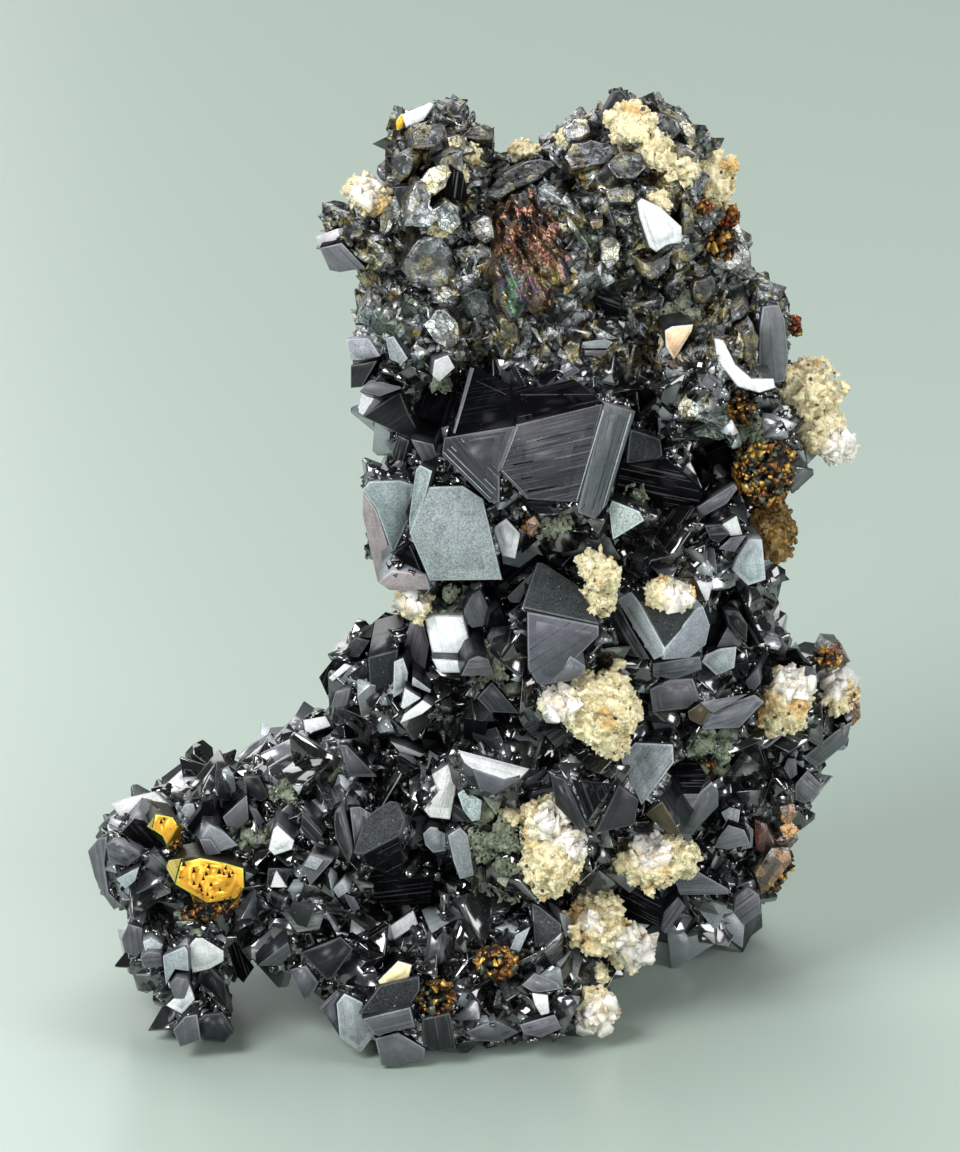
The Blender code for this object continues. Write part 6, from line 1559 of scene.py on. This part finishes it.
def crystal_material(name, ior, dust, least_shine, most_shine, least_rough):
    """Sphalerite: the face's colour, which carries its painted light, crossed by growth steps that
    run along the face's longest edge, some of them black, painted shadow in their grooves, some
    pale, and broken off short, by a frost of fine grains, and by pale dust."""
    material, tree, shader = nodes_of(name, IOR=ior)
    spot = node(tree, "TexCoord").outputs["Object"]
    facet = node(tree, "UVMap", uv_map="facet").outputs["UV"]
    parts = node(tree, "SeparateXYZ", {0: facet})
    seed = math_node(tree, "MULTIPLY", attribute(tree, "seed"), 90.0)
    frost = attribute(tree, "frost")
    lined = attribute(tree, "lines")
    row = math_node(tree, "ADD", math_node(tree, "MULTIPLY", parts.outputs[1], 2.6), seed)
    tones = []
    for scale in (1.0, 3.3):
        cells = node(tree, "TexVoronoi", {"W": row, "Scale": scale}, voronoi_dimensions="1D")
        tones.append(node(tree, "SeparateColor", {0: cells.outputs["Color"]}).outputs[0])
    steps = math_node(tree, "ADD", tones[0], math_node(tree, "MULTIPLY", tones[1], 0.5))
    marks = []
    for along, across in ((0.10, 7.0), (0.35, 16.0)):
        stretched = node(tree, "CombineXYZ", {
            0: math_node(tree, "MULTIPLY", parts.outputs[0], along),
            1: math_node(tree, "MULTIPLY", parts.outputs[1], across), 2: seed}).outputs[0]
        dashes = node(tree, "TexVoronoi", {"Vector": stretched, "Scale": 1.0})
        marks.append(node(tree, "SeparateColor", {0: dashes.outputs["Color"]}).outputs[1])
    steps = math_node(tree, "ADD", math_node(tree, "MULTIPLY", steps, 0.75),
                      math_node(tree, "MULTIPLY", marks[0], 0.3))
    steps = math_node(tree, "MULTIPLY", steps, lined)
    grains = noise_node(tree, spot, 5200.0, 4.0, 0.7)
    blotch = noise_node(tree, spot, 900.0, 4.0, 0.6)

    # The face's colour carries the painted light of the table's greys.
    own = attribute(tree, "colour", "Color")
    line_tone = math_node(tree, "ADD", math_node(tree, "MULTIPLY", steps, 0.35), 0.85)
    colour = mixed(tree, 1.0, own, node(tree, "CombineColor", {
        0: line_tone, 1: line_tone, 2: line_tone}).outputs[0], "MULTIPLY")
    cloud = ramp(tree, blotch, [(0.3, (0.82, 0.82, 0.83)), (0.7, (1.16, 1.16, 1.15))])
    colour = mixed(tree, 1.0, colour, cloud, "MULTIPLY")
    speckle = ramp(tree, grains, [(0.38, (0.5, 0.5, 0.51)), (0.62, (1.5, 1.5, 1.48))])
    colour = mixed(tree, frost, colour, mixed(tree, 1.0, colour, speckle, "MULTIPLY"))
    # Black dashes are painted shadow in the grooves of the growth steps.
    for mark, dark_from, pale_to in zip(marks, (0.80, 0.90), (0.05, 0.06)):
        black = math_node(tree, "MULTIPLY", math_node(tree, "GREATER_THAN", mark, dark_from), lined)
        colour = mixed(tree, math_node(tree, "MULTIPLY", black, 0.85), colour, (0.004, 0.004, 0.005))
        pale = math_node(tree, "MULTIPLY", math_node(tree, "LESS_THAN", mark, pale_to), lined)
        colour = mixed(tree, math_node(tree, "MULTIPLY", pale, 0.45), colour,
                       mixed(tree, 0.30, own, (0.75, 0.80, 0.82)))
    specks = node(tree, "TexVoronoi", {"Vector": spot, "Scale": 1500.0}).outputs[0]
    speck = ramp(tree, math_node(tree, "ADD", specks, math_node(
        tree, "MULTIPLY", grains, 0.35)), [(0.22, (1, 1, 1)), (0.26, (0, 0, 0))])
    amount = math_node(tree, "ADD", math_node(tree, "MULTIPLY", frost, dust), 0.06, clamp=True)
    amount = math_node(tree, "MULTIPLY", amount, speck)
    colour = mixed(tree, amount, colour, (0.40, 0.43, 0.42))
    tree.links.new(colour, shader.inputs["Base Color"])
    bright = node(tree, "SeparateColor", {0: own}).outputs[1]
    shine = node(tree, "MapRange", {0: bright, 1: 0.004, 2: 0.05, 3: least_shine, 4: most_shine})
    dulled = math_node(tree, "MULTIPLY_ADD", frost, -0.7, 1.0, clamp=True)
    shine = math_node(tree, "MULTIPLY", shine.outputs[0], dulled)
    tree.links.new(shine, shader.inputs["Specular IOR Level"])

    rough = math_node(tree, "MULTIPLY", frost, 0.5)
    rough = math_node(tree, "ADD", rough, math_node(tree, "MULTIPLY", blotch, 0.04))
    rough = math_node(tree, "ADD", rough, least_rough)
    rough = math_node(tree, "ADD", rough, math_node(tree, "MULTIPLY", steps, 0.05), clamp=True)
    tree.links.new(rough, shader.inputs["Roughness"])
    bumped = node(tree, "Bump", {"Strength": 0.3, "Distance": 0.00001, "Height": steps})
    gritty = math_node(tree, "MULTIPLY", grains, frost)
    grit = node(tree, "Bump", {"Strength": 0.5, "Distance": 0.00008, "Height": gritty,
                               "Normal": bumped.outputs[0]})
    tree.links.new(grit.outputs[0], shader.inputs["Normal"])
    return material


def broken_material(name, own_colour):
    """Broken ore: crumbs a few tenths of a millimetre wide, each black, grey or white, over a
    slower change from dark to pale, with olive and tan stains and, low down, grey-green
    chlorite. With its own colour the crumbs shade the face's colour."""
    material, tree, shader = nodes_of(name, IOR=1.9)
    spot = node(tree, "TexCoord").outputs["Object"]
    bent = noise_node(tree, spot, 1600.0, 3.0, 0.6)
    shift = node(tree, "VectorMath", {0: spot, 1: node(tree, "CombineXYZ", {
        0: math_node(tree, "MULTIPLY", bent, 0.0005), 1: math_node(tree, "MULTIPLY", bent, 0.0004),
        2: math_node(tree, "MULTIPLY", bent, -0.0005)}).outputs[0]}, operation="ADD").outputs[0]
    crumb = node(tree, "TexVoronoi", {"Vector": shift, "Scale": 2600.0})
    tone = node(tree, "SeparateColor", {0: crumb.outputs["Color"]}).outputs[0]
    large = node(tree, "TexVoronoi", {"Vector": shift, "Scale": 900.0})
    large_tone = node(tree, "SeparateColor", {0: large.outputs["Color"]}).outputs[1]
    slow = noise_node(tree, spot, 260.0, 4.0, 0.6)
    crumbs, shards, base = (0.16, 0.44, -0.26) if own_colour else (0.36, 0.40, -0.29)
    level = math_node(tree, "ADD", math_node(tree, "MULTIPLY", tone, crumbs),
                      math_node(tree, "MULTIPLY", large_tone, shards))
    level = math_node(tree, "ADD", level, math_node(tree, "MULTIPLY_ADD", slow, 1.0, base))
    if own_colour:
        facet = node(tree, "Mapping", {0: node(tree, "UVMap", uv_map="facet").outputs["UV"],
                                       3: (0.5, 3.5, 1.0)}).outputs[0]
        streak = node(tree, "TexNoise", {"Vector": facet, "Scale": 1.0, "Detail": 4.0})
        streak = math_node(tree, "MULTIPLY_ADD", streak.outputs["Fac"], 0.9, -0.45)
        streak = math_node(tree, "MULTIPLY", streak, attribute(tree, "lines"))
        level = math_node(tree, "ADD", level, streak)
    grey = ramp(tree, level, [(0.34, (0.004, 0.004, 0.005)), (0.50, (0.046, 0.056, 0.060)),
                              (0.66, (0.22, 0.255, 0.265)), (0.84, (0.74, 0.79, 0.80))])
    stains = noise_node(tree, node(tree, "Mapping", {0: spot, 1: (0.3, 0.1, 0.7)}).outputs[0],
                        330.0, 5.0, 0.7)
    height = node(tree, "SeparateXYZ", {0: spot}).outputs[2]
    high = node(tree, "MapRange", {0: height, 1: 0.060, 2: 0.074}).outputs[0]
    stained = ramp(tree, level, [(0.4, (0.02, 0.015, 0.006)), (0.6, (0.25, 0.18, 0.03)),
                                 (0.85, (0.60, 0.52, 0.20))])
    amount = math_node(tree, "MULTIPLY", ramp(tree, stains, [(0.51, (0, 0, 0)), (0.55, (1, 1, 1))]),
                       math_node(tree, "ADD", math_node(tree, "MULTIPLY", high, 0.75), 0.15))
    colour = mixed(tree, amount, grey, stained)
    patches = noise_node(tree, node(tree, "Mapping", {0: spot, 1: (0.9, 0.5, 0.2)}).outputs[0],
                         120.0, 3.0, 0.5)
    chlorite = ramp(tree, level, [(0.4, (0.02, 0.028, 0.02)), (0.7, (0.11, 0.15, 0.11)),
                                  (0.95, (0.30, 0.36, 0.27))])
    colour = mixed(tree, ramp(tree, patches, [(0.56, (0, 0, 0)), (0.60, (1, 1, 1))]),
                   colour, chlorite)
    if own_colour:
        shade_by = ramp(tree, level, [(0.32, (0.20, 0.20, 0.20)), (0.56, (0.9, 0.9, 0.9)),
                                      (0.85, (2.3, 2.3, 2.2))])
        own = mixed(tree, 1.0, attribute(tree, "colour", "Color"), shade_by, "MULTIPLY")
        own = mixed(tree, math_node(tree, "MULTIPLY", amount, 0.6), own, stained)
        colour = mixed(tree, attribute(tree, "frost"), own, colour)
    for scale, width in ((900.0, 0.05), (2100.0, 0.07)):
        edge = node(tree, "TexVoronoi", {"Vector": shift, "Scale": scale},
                    feature="DISTANCE_TO_EDGE").outputs[0]
        crack = ramp(tree, edge, [(width * 0.3, (0.10, 0.10, 0.10)), (width, (1, 1, 1))])
        colour = mixed(tree, 1.0, colour, crack, "MULTIPLY")
    tree.links.new(colour, shader.inputs["Base Color"])
    rough = math_node(tree, "ADD", math_node(tree, "MULTIPLY", tone, 0.40), 0.14)
    tree.links.new(rough, shader.inputs["Roughness"])
    bump = node(tree, "Bump", {"Strength": 0.4 if own_colour else 0.8, "Distance": 0.00022,
                               "Height": level})
    tree.links.new(bump.outputs[0], shader.inputs["Normal"])
    return material


def calcite_material():
    """Calcite: cream, whiter on the raised grains and darker in the hollows between them as painted shade, with dark
    specks of ore in the hollows.
    """
    material, tree, shader = nodes_of("calcite_cream", Roughness=0.55, IOR=1.6,
                                      Subsurface_Weight=0.25, Subsurface_Scale=0.0009)
    shader.inputs["Subsurface Radius"].default_value = (1.0, 0.8, 0.5)
    spot = node(tree, "TexCoord").outputs["Object"]
    grains = noise_node(tree, spot, 2100.0, 5.0, 0.7)
    warm = noise_node(tree, spot, 190.0, 3.0, 0.5)
    # Each grain ramp runs dark in the hollows between the grains: painted shade.
    cream = ramp(tree, grains, [(0.28, (0.34, 0.25, 0.12)), (0.43, (0.66, 0.56, 0.31)),
                                (0.62, (0.88, 0.82, 0.58))])
    white = ramp(tree, grains, [(0.3, (0.60, 0.57, 0.50)), (0.6, (0.86, 0.85, 0.82))])
    tanned = ramp(tree, grains, [(0.28, (0.25, 0.13, 0.03)), (0.5, (0.60, 0.37, 0.12)),
                                 (0.7, (0.80, 0.58, 0.26))])
    cream = mixed(tree, ramp(tree, warm, [(0.55, (0, 0, 0)), (0.65, (1, 1, 1))]), cream, tanned)
    colour = mixed(tree, attribute(tree, "white"), cream, white)
    specks = node(tree, "TexVoronoi", {"Vector": spot, "Scale": 620.0}).outputs[0]
    broken = math_node(tree, "ADD", specks, math_node(tree, "MULTIPLY", grains, 0.3))
    clear = math_node(tree, "MULTIPLY", attribute(tree, "white"), 0.10)
    broken = math_node(tree, "ADD", broken, clear)
    speck = ramp(tree, broken, [(0.27, (1, 1, 1)), (0.33, (0, 0, 0))])
    colour = mixed(tree, speck, colour, (0.03, 0.028, 0.02))
    tree.links.new(colour, shader.inputs["Base Color"])
    bump = node(tree, "Bump", {"Strength": 0.6, "Distance": 0.0002, "Height": grains})
    tree.links.new(bump.outputs[0], shader.inputs["Normal"])
    return material


def milky_material():
    """Clear calcite blocks: milky white, a little see-through in their edges, with tan clouds
    and fine cracks."""
    material, tree, shader = nodes_of("calcite_milky", IOR=1.5, Subsurface_Weight=0.3,
                                      Subsurface_Scale=0.0008)
    shader.inputs["Subsurface Radius"].default_value = (1.0, 0.95, 0.9)
    spot = node(tree, "TexCoord").outputs["Object"]
    clouds = noise_node(tree, spot, 600.0, 4.0, 0.6)
    cracks = noise_node(tree, spot, 2600.0, 4.0, 0.7)
    colour = ramp(tree, clouds, [(0.34, (0.72, 0.58, 0.40)), (0.48, (0.86, 0.82, 0.75)),
                                 (0.7, (0.90, 0.90, 0.89))])
    crack = ramp(tree, cracks, [(0.36, (0.55, 0.48, 0.38)), (0.44, (1, 1, 1))])
    colour = mixed(tree, 1.0, colour, crack, "MULTIPLY")
    tree.links.new(colour, shader.inputs["Base Color"])
    rough = math_node(tree, "MULTIPLY_ADD", cracks, 0.5, 0.08)
    tree.links.new(rough, shader.inputs["Roughness"])
    bump = node(tree, "Bump", {"Strength": 0.4, "Distance": 0.00008, "Height": cracks})
    tree.links.new(bump.outputs[0], shader.inputs["Normal"])
    return material


def tarnish_material():
    """Bornite's tarnish, by how far down the leaf: near black with thin gold and magenta lines
    at the top, brown in the middle, then broad patches of grey-green, pink and blue, drawn out
    down to the right, gold at the sharpest folds."""
    material, tree, shader = nodes_of("bornite_tarnish", Metallic=0.6)
    spot = node(tree, "TexCoord").outputs["Object"]
    long = node(tree, "Mapping", {0: spot, 2: (0.0, -0.45, 0.0), 3: (1.0, 1.5, 2.2)},
                vector_type="TEXTURE").outputs[0]
    streak = noise_node(tree, long, 1000.0, 4.0, 0.6)
    broad = noise_node(tree, long, 420.0, 2.0, 0.5)
    fine = noise_node(tree, spot, 3600.0, 3.0, 0.6)
    top = ramp(tree, streak, [
        (0.46, (0.004, 0.003, 0.003)), (0.53, (0.045, 0.018, 0.010)), (0.56, (0.16, 0.06, 0.02)),
        (0.575, (0.80, 0.52, 0.18)), (0.590, (0.40, 0.05, 0.20)), (0.605, (0.02, 0.01, 0.008)),
        (0.645, (0.03, 0.012, 0.008)), (0.66, (0.60, 0.36, 0.34)), (0.675, (0.08, 0.22, 0.20)),
        (0.69, (0.01, 0.008, 0.008))])
    middle = ramp(tree, streak, [
        (0.40, (0.006, 0.004, 0.003)), (0.47, (0.040, 0.022, 0.014)), (0.53, (0.085, 0.050, 0.030)),
        (0.60, (0.15, 0.085, 0.045)), (0.65, (0.22, 0.06, 0.06))])
    low = ramp(tree, broad, [
        (0.36, (0.040, 0.024, 0.016)), (0.42, (0.22, 0.15, 0.04)), (0.46, (0.12, 0.15, 0.10)),
        (0.50, (0.24, 0.10, 0.085)), (0.54, (0.12, 0.15, 0.11)), (0.58, (0.20, 0.09, 0.12)),
        (0.61, (0.11, 0.11, 0.21)), (0.65, (0.11, 0.18, 0.12))])
    low = mixed(tree, 1.0, low, ramp(tree, streak, [
        (0.40, (0.15, 0.12, 0.10)), (0.50, (0.9, 0.9, 0.9)), (0.64, (1.5, 1.4, 1.3))]), "MULTIPLY")
    fall = math_node(tree, "ADD", attribute(tree, "fall"),
                     math_node(tree, "MULTIPLY_ADD", broad, 0.7, -0.35))
    colour = mixed(tree, ramp(tree, fall, [(0.26, (0, 0, 0)), (0.34, (1, 1, 1))]), top, middle)
    colour = mixed(tree, ramp(tree, fall, [(0.46, (0, 0, 0)), (0.58, (1, 1, 1))]), colour, low)
    worn = node(tree, "NewGeometry").outputs["Pointiness"]
    colour = mixed(tree, ramp(tree, worn, [(0.57, (0, 0, 0)), (0.63, (0.8, 0.8, 0.8))]), colour,
                   (0.70, 0.40, 0.10))
    pits = ramp(tree, fine, [(0.36, (0.12, 0.10, 0.09)), (0.46, (1, 1, 1))])
    colour = mixed(tree, 1.0, colour, pits, "MULTIPLY")
    tree.links.new(colour, shader.inputs["Base Color"])
    bump = node(tree, "Bump", {"Strength": 0.7, "Distance": 0.0002, "Height": streak})
    tree.links.new(bump.outputs[0], shader.inputs["Normal"])
    rough = math_node(tree, "ADD", math_node(tree, "MULTIPLY", fine, 0.3), 0.15)
    tree.links.new(rough, shader.inputs["Roughness"])
    return material


def granular_material(name, dark, middle, pale, streaked=1.0, **values):
    """A matt mass of fine grains between three colours, with black specks; streaked below 1
    draws the grains out lengthwise."""
    material, tree, shader = nodes_of(name, **values)
    spot = node(tree, "TexCoord").outputs["Object"]
    long = node(tree, "Mapping", {0: spot, 3: (1.0, 1.0, streaked)}).outputs[0]
    grains = noise_node(tree, long, 2300.0, 5.0, 0.7)
    broad = noise_node(tree, long, 420.0, 3.0, 0.55)
    level = math_node(tree, "ADD", math_node(tree, "MULTIPLY", grains, 0.7),
                      math_node(tree, "MULTIPLY", broad, 0.4))
    colour = ramp(tree, level, [(0.40, dark), (0.56, middle), (0.72, pale)])
    specks = node(tree, "TexVoronoi", {"Vector": spot, "Scale": 1100.0}).outputs[0]
    speck = ramp(tree, math_node(tree, "ADD", specks, math_node(tree, "MULTIPLY", grains, 0.3)),
                 [(0.30, (1, 1, 1)), (0.36, (0, 0, 0))])
    colour = mixed(tree, speck, colour, tuple(value * 0.15 for value in dark))
    tree.links.new(colour, shader.inputs["Base Color"])
    bump = node(tree, "Bump", {"Strength": 0.8, "Distance": 0.0002, "Height": level})
    tree.links.new(bump.outputs[0], shader.inputs["Normal"])
    return material


def sulphide_material():
    """Pyrite and chalcopyrite: metal in the face's own colour, with lines that follow the
    face's longest edge and darker tarnish in patches."""
    material, tree, shader = nodes_of("sulphide_gold", Metallic=0.6)
    spot = node(tree, "TexCoord").outputs["Object"]
    facet = node(tree, "UVMap", uv_map="facet").outputs["UV"]
    parts = node(tree, "SeparateXYZ", {0: facet})
    row = math_node(tree, "ADD", math_node(tree, "MULTIPLY", parts.outputs[1], 6.0),
                    math_node(tree, "MULTIPLY", attribute(tree, "seed"), 70.0))
    lines = node(tree, "TexVoronoi", {"W": row, "Scale": 1.0}, voronoi_dimensions="1D")
    step = node(tree, "SeparateColor", {0: lines.outputs["Color"]}).outputs[0]
    step = math_node(tree, "MULTIPLY", step, attribute(tree, "lines"))
    tarnish = noise_node(tree, spot, 1100.0, 5.0, 0.7)
    colour = attribute(tree, "colour", "Color")
    shadow = ramp(tree, tarnish, [(0.34, (0.50, 0.34, 0.22)), (0.44, (1, 1, 1)),
                                  (0.70, (1.0, 1.1, 1.2))])
    tone = ramp(tree, step, [(0.0, (1, 1, 1)), (1.0, (0.35, 0.30, 0.25))])
    colour = mixed(tree, 1.0, mixed(tree, 1.0, colour, shadow, "MULTIPLY"), tone, "MULTIPLY")
    tree.links.new(colour, shader.inputs["Base Color"])
    rough = math_node(tree, "ADD", math_node(tree, "MULTIPLY", tarnish, 0.35), 0.26)
    tree.links.new(rough, shader.inputs["Roughness"])
    height = math_node(tree, "ADD", math_node(tree, "MULTIPLY", step, 0.5), tarnish)
    bump = node(tree, "Bump", {"Strength": 0.2, "Distance": 0.00005, "Height": height})
    tree.links.new(bump.outputs[0], shader.inputs["Normal"])
    return material


# The specimen

def small_colours_and_painted_light(count, shares, rng):
    """A colour for each small crystal, painted light included, drawn by shares."""
    names = list(shares)
    odds = np.array([shares[name] for name in names])
    return np.array(names)[rng.choice(len(names), count, p=odds / odds.sum())]


def main():
    ore = frame["nodes"]["sphalerite"]
    rng = np.random.default_rng(5)
    crystal_look = crystal_material("ore_crystal", 1.6, 0.8, 0.02, 0.35, 0.22)
    glint_look = crystal_material("ore_glint", 2.3, 0.5, 0.4, 0.5, 0.05)
    rock_look = broken_material("ore_ground", False)
    chip_look = broken_material("ore_chips", True)
    calcite_look = calcite_material()
    metal_look = sulphide_material()
    tarnish_look = tarnish_material()
    pit_look = granular_material("pyrite_pit", (0.004, 0.003, 0.002), (0.012, 0.008, 0.004),
                                 (0.03, 0.02, 0.01), Roughness=0.5)
    ochre_look = granular_material("ochre_fibres", (0.022, 0.012, 0.004), (0.13, 0.075, 0.014),
                                   (0.40, 0.22, 0.045), 0.3, Roughness=0.4)
    chlorite_look = granular_material("chlorite_green", (0.045, 0.055, 0.035),
                                      (0.17, 0.20, 0.14), (0.38, 0.42, 0.31), Roughness=0.85)
    milky_look = milky_material()
    pieces = []

    bm = bmesh.new()
    bm.from_mesh(ore.data)
    body = remeshed("ore_body", bm, 0.68, rock_look, smooth=False)
    moved_by_noise(body, [(3.0, 0.30), (0.9, 0.35)], pull=0.6)
    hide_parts("sphalerite")
    pieces.append((body, "ore"))

    skins = {label: Skin() for label in ("front", "lower", "details", "plates", "gold", "warm")}
    for name, entry in CRYSTALS.items():
        part = "plates" if entry[0].startswith("rough") else "front" if entry[6][0, 1] < 68 else "lower"
        listed_crystal(skins[part], name, entry, rng)
    for name, entry in SMALL_BITS.items():
        part = "details"
        if entry[0] in WARM:
            part = "gold" if entry[0].startswith("gold") else "warm"
        listed_crystal(skins[part], name, entry, rng)
    for number, ridge in enumerate(RIDGES):
        listed_crystal(skins["details"], f"ridge_{number}", ridge_entry(*ridge), rng)
    for name, skin in skins.items():
        look = {"plates": chip_look, "warm": chip_look, "gold": metal_look}.get(name, crystal_look)
        pieces.append((skin.build(f"ore_crystals_{name}", look), "ore"))

    # Small crystals over everything, the largest first, then finer ones in what is left.
    points, normals = surface_points(ore, rng, 70000)
    upper = in_picture(points)[:, 1] < 37
    radii = np.exp(rng.normal(math.log(0.95), 0.42, len(points)))
    radii = np.clip(radii, 0.35, 2.5)
    plates = rng.uniform(size=len(points)) < 0.10
    radii = np.where(upper, np.minimum(radii * np.where(plates, 1.9, 0.72), 1.7), radii)
    radii = np.minimum(radii, listed_gap(points) / 0.75 + 0.1)
    open_to = (radii > 0.35) & (points[:, 2] > radii * 0.9)
    order = np.argsort(-radii[open_to], kind="stable")
    points, normals, radii = (part[open_to][order] for part in (points, normals, radii))
    kept = spaced(points, radii, 0.60)
    points, normals, radii = points[kept], normals[kept], radii[kept]
    centres = points - normals * radii[:, None] * rng.uniform(0.2, 0.7, (len(points), 1))
    centres = np.clip(centres, BOX_LOW + radii[:, None] * 1.1, BOX_HIGH - radii[:, None] * 1.1)
    turns = rotations(rng, len(points))
    forms = {"big": crystal_forms(rng, 14, bevel=0.03), "small": crystal_forms(rng, 24),
             "chips": crystal_forms(rng, 20, flat=0.42)}
    back_shares = {"black": 4, "dark": 3, "slate": 2.6, "pale": 1.5, "white": 0.5, "frosted": 1,
                   "brown": 0.3}
    ore_shares = {"black": 6, "dark": 3.5, "slate": 1.1, "pale": 0.5, "frosted": 0.5}
    chip_shares = {"black": 3, "dark": 2, "slate": 1.6, "pale": 1.8, "white": 0.8, "frosted": 4}
    upper = in_picture(points)[:, 1] < 37
    behind = points[:, 1] > 0
    big = radii > 1.0
    places = in_picture(points)
    mossy = np.zeros(len(points), bool)
    for across, down, half_width, half_height, _ in CHLORITE:
        away = (places - (across, down)) / (half_width + 0.6, half_height + 0.6)
        mossy |= (np.linalg.norm(away, axis=1) < 1) & ~behind & (radii < 1.2)
    print("small crystals", len(points), "big", int(big.sum()))
    for label, some, form in (
            ("front_big", ~behind & big & ~upper, "big"),
            ("front_small", ~behind & ~big & ~upper, "small"),
            ("back_big", behind & big & ~upper, "big"),
            ("back_small", behind & ~big & ~upper, "small"), ("broken", upper, "chips")):
        skin = Skin()
        shares = (chip_shares if form == "chips" else
                  back_shares if label.startswith("back") else ore_shares)
        names = small_colours_and_painted_light(int(some.sum()), shares, rng)
        names[mossy[some]] = "moss"
        if form == "chips":
            names[(radii[some] > 1.05) & np.isin(names, ("black", "dark"))] = "frosted"
        add_forms(skin, forms[form], centres[some], radii[some] * 1.15, turns[some], names, rng,
                  glints=0.10)
        look = chip_look if form == "chips" else glint_look
        pieces.append((skin.build(f"ore_small_{label}", look), "ore"))

    gold = [(0.95, 0.60, 0.14), (0.62, 0.30, 0.07), (0.32, 0.14, 0.04), (0.10, 0.05, 0.03),
            (0.16, 0.17, 0.12), (0.035, 0.03, 0.02)]
    red = [(0.40, 0.08, 0.03), (0.22, 0.05, 0.02), (0.60, 0.27, 0.07), (0.10, 0.06, 0.05)]
    for name, (kind, lumps) in CLUSTERS.items():
        if kind == "calcite":
            piece = grainy_crust(name + "_crust", lumps, calcite_look, rng)
        elif kind == "bornite":
            piece = bornite_sheet(name + "_leaf", lumps, tarnish_look)
        elif kind == "pyrite":
            piece = pyrite_tile(name, lumps, metal_look, pit_look, rng)
        elif name == "chalcopyrite_knob":
            piece = grainy_crust(name + "_mass", lumps, ochre_look, rng, 0.3, 0.15, 0.9, 0)
        else:
            tints = red if name == "chalcopyrite_red" else gold
            piece = grain_pile(name + "_grains", lumps, ["plain"], tints, rng, metal_look,
                               (0.14, 0.55), 3.0)
        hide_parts(name)
        pieces.append((piece, kind))
    crusts = [piece for piece, kind in pieces if kind == "calcite"]
    pieces.append((calcite_blocks(crusts, milky_look, rng), "calcite"))
    for name, (colour_and_painted_light, patches) in GOLD_GRAINS.items():
        tints = gold if colour_and_painted_light == "gold" else gold[:4] + red[:1]
        piece = grain_pile(name, patch_lumps(patches), ["plain"], tints, rng, metal_look,
                           (0.12, 0.4), 3.5)
        pieces.append((piece, "chalcopyrite"))
    rim = [(20.6, 90.9, 2.9, 1.2, 9.2, 1.6, -14), (17.2, 84.2, 1.0, 0.9, 12.2, 1.4, 0)]
    pieces.append((grain_pile("pyrite_rim", rim, ["plain"], gold[1:4] + gold[4:], rng, metal_look,
                              (0.12, 0.38), 3.5), "pyrite"))
    for number, (across, down, width, height, out) in enumerate(CHLORITE):
        spread = rng.uniform(-0.75, 0.75, (8, 2)) * (width, height)
        patch = [(across + aside, down + below, width * rng.uniform(0.25, 0.6),
                  height * rng.uniform(0.25, 0.6), out * rng.uniform(0.6, 1.1))
                 for aside, below in spread]
        piece = grainy_crust(f"chlorite_{number:02d}", patch_lumps(patch, 0.9), chlorite_look, rng, 0.16, 0.13, 1.2, 3.0)
        pieces.append((piece, "ore"))
    for number, lump in enumerate(patch_lumps(CREAM)):
        piece = grainy_crust(f"calcite_bit_{number:02d}", [lump], calcite_look, rng, 0.2, 0.13, 0.9, 2.5)
        pieces.append((piece, "calcite"))
    for piece, slot in pieces:
        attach(piece, "root")
        print(piece.name, len(piece.data.polygons))

    # Stage
    bpy.ops.mesh.primitive_plane_add(size=3.0)
    floor = bpy.context.object
    floor.name = "floor"
    pale, tree, shader = nodes_of("pale_floor", Roughness=0.30, IOR=1.35)
    shader.inputs["Base Color"].default_value = (0.40, 0.48, 0.43, 1)
    floor.data.materials.append(pale)

    world = bpy.data.worlds.new("studio")
    bpy.context.scene.world = world
    world.use_nodes = True
    world.node_tree.nodes["Background"].inputs[0].default_value = (0.62, 0.68, 0.66, 1)
    world.node_tree.nodes["Background"].inputs[1].default_value = 0.16
    bpy.context.scene.view_settings.view_transform = "Standard"
    for name, at, size, power in (
            ("key", (-0.35, -0.45, 0.50), 0.34, 5.4), ("side", (0.55, -0.30, 0.25), 0.36, 2.4),
            ("top", (0.05, 0.20, 0.65), 0.50, 2.8),
            ("back", (-0.30, 0.75, 0.35), 0.50, 2.6), ("front", (0.10, -0.85, 0.30), 0.26, 2.2)):
        light = bpy.data.lights.new(name, "AREA")
        light.size = size
        light.energy = power
        lamp = bpy.data.objects.new(name, light)
        lamp.location = at
        lamp.rotation_euler = (Vector((0, 0, 0.045)) - Vector(at)).to_track_quat("-Z", "Y").to_euler()
        bpy.context.scene.collection.objects.link(lamp)

    camera = bpy.data.cameras.new("camera")
    eye = bpy.data.objects.new("camera", camera)
    bpy.context.scene.collection.objects.link(eye)
    camera.lens = 625
    camera.clip_end = 20
    target = Vector(place(48.0, 57.6, 15.0)) * MM
    eye.location = target + Vector((0, -COS, SIN)) * 2.0
    eye.rotation_euler = (math.radians(90) - VIEW_TILT, 0, 0)
    bpy.context.scene.camera = eye



main()
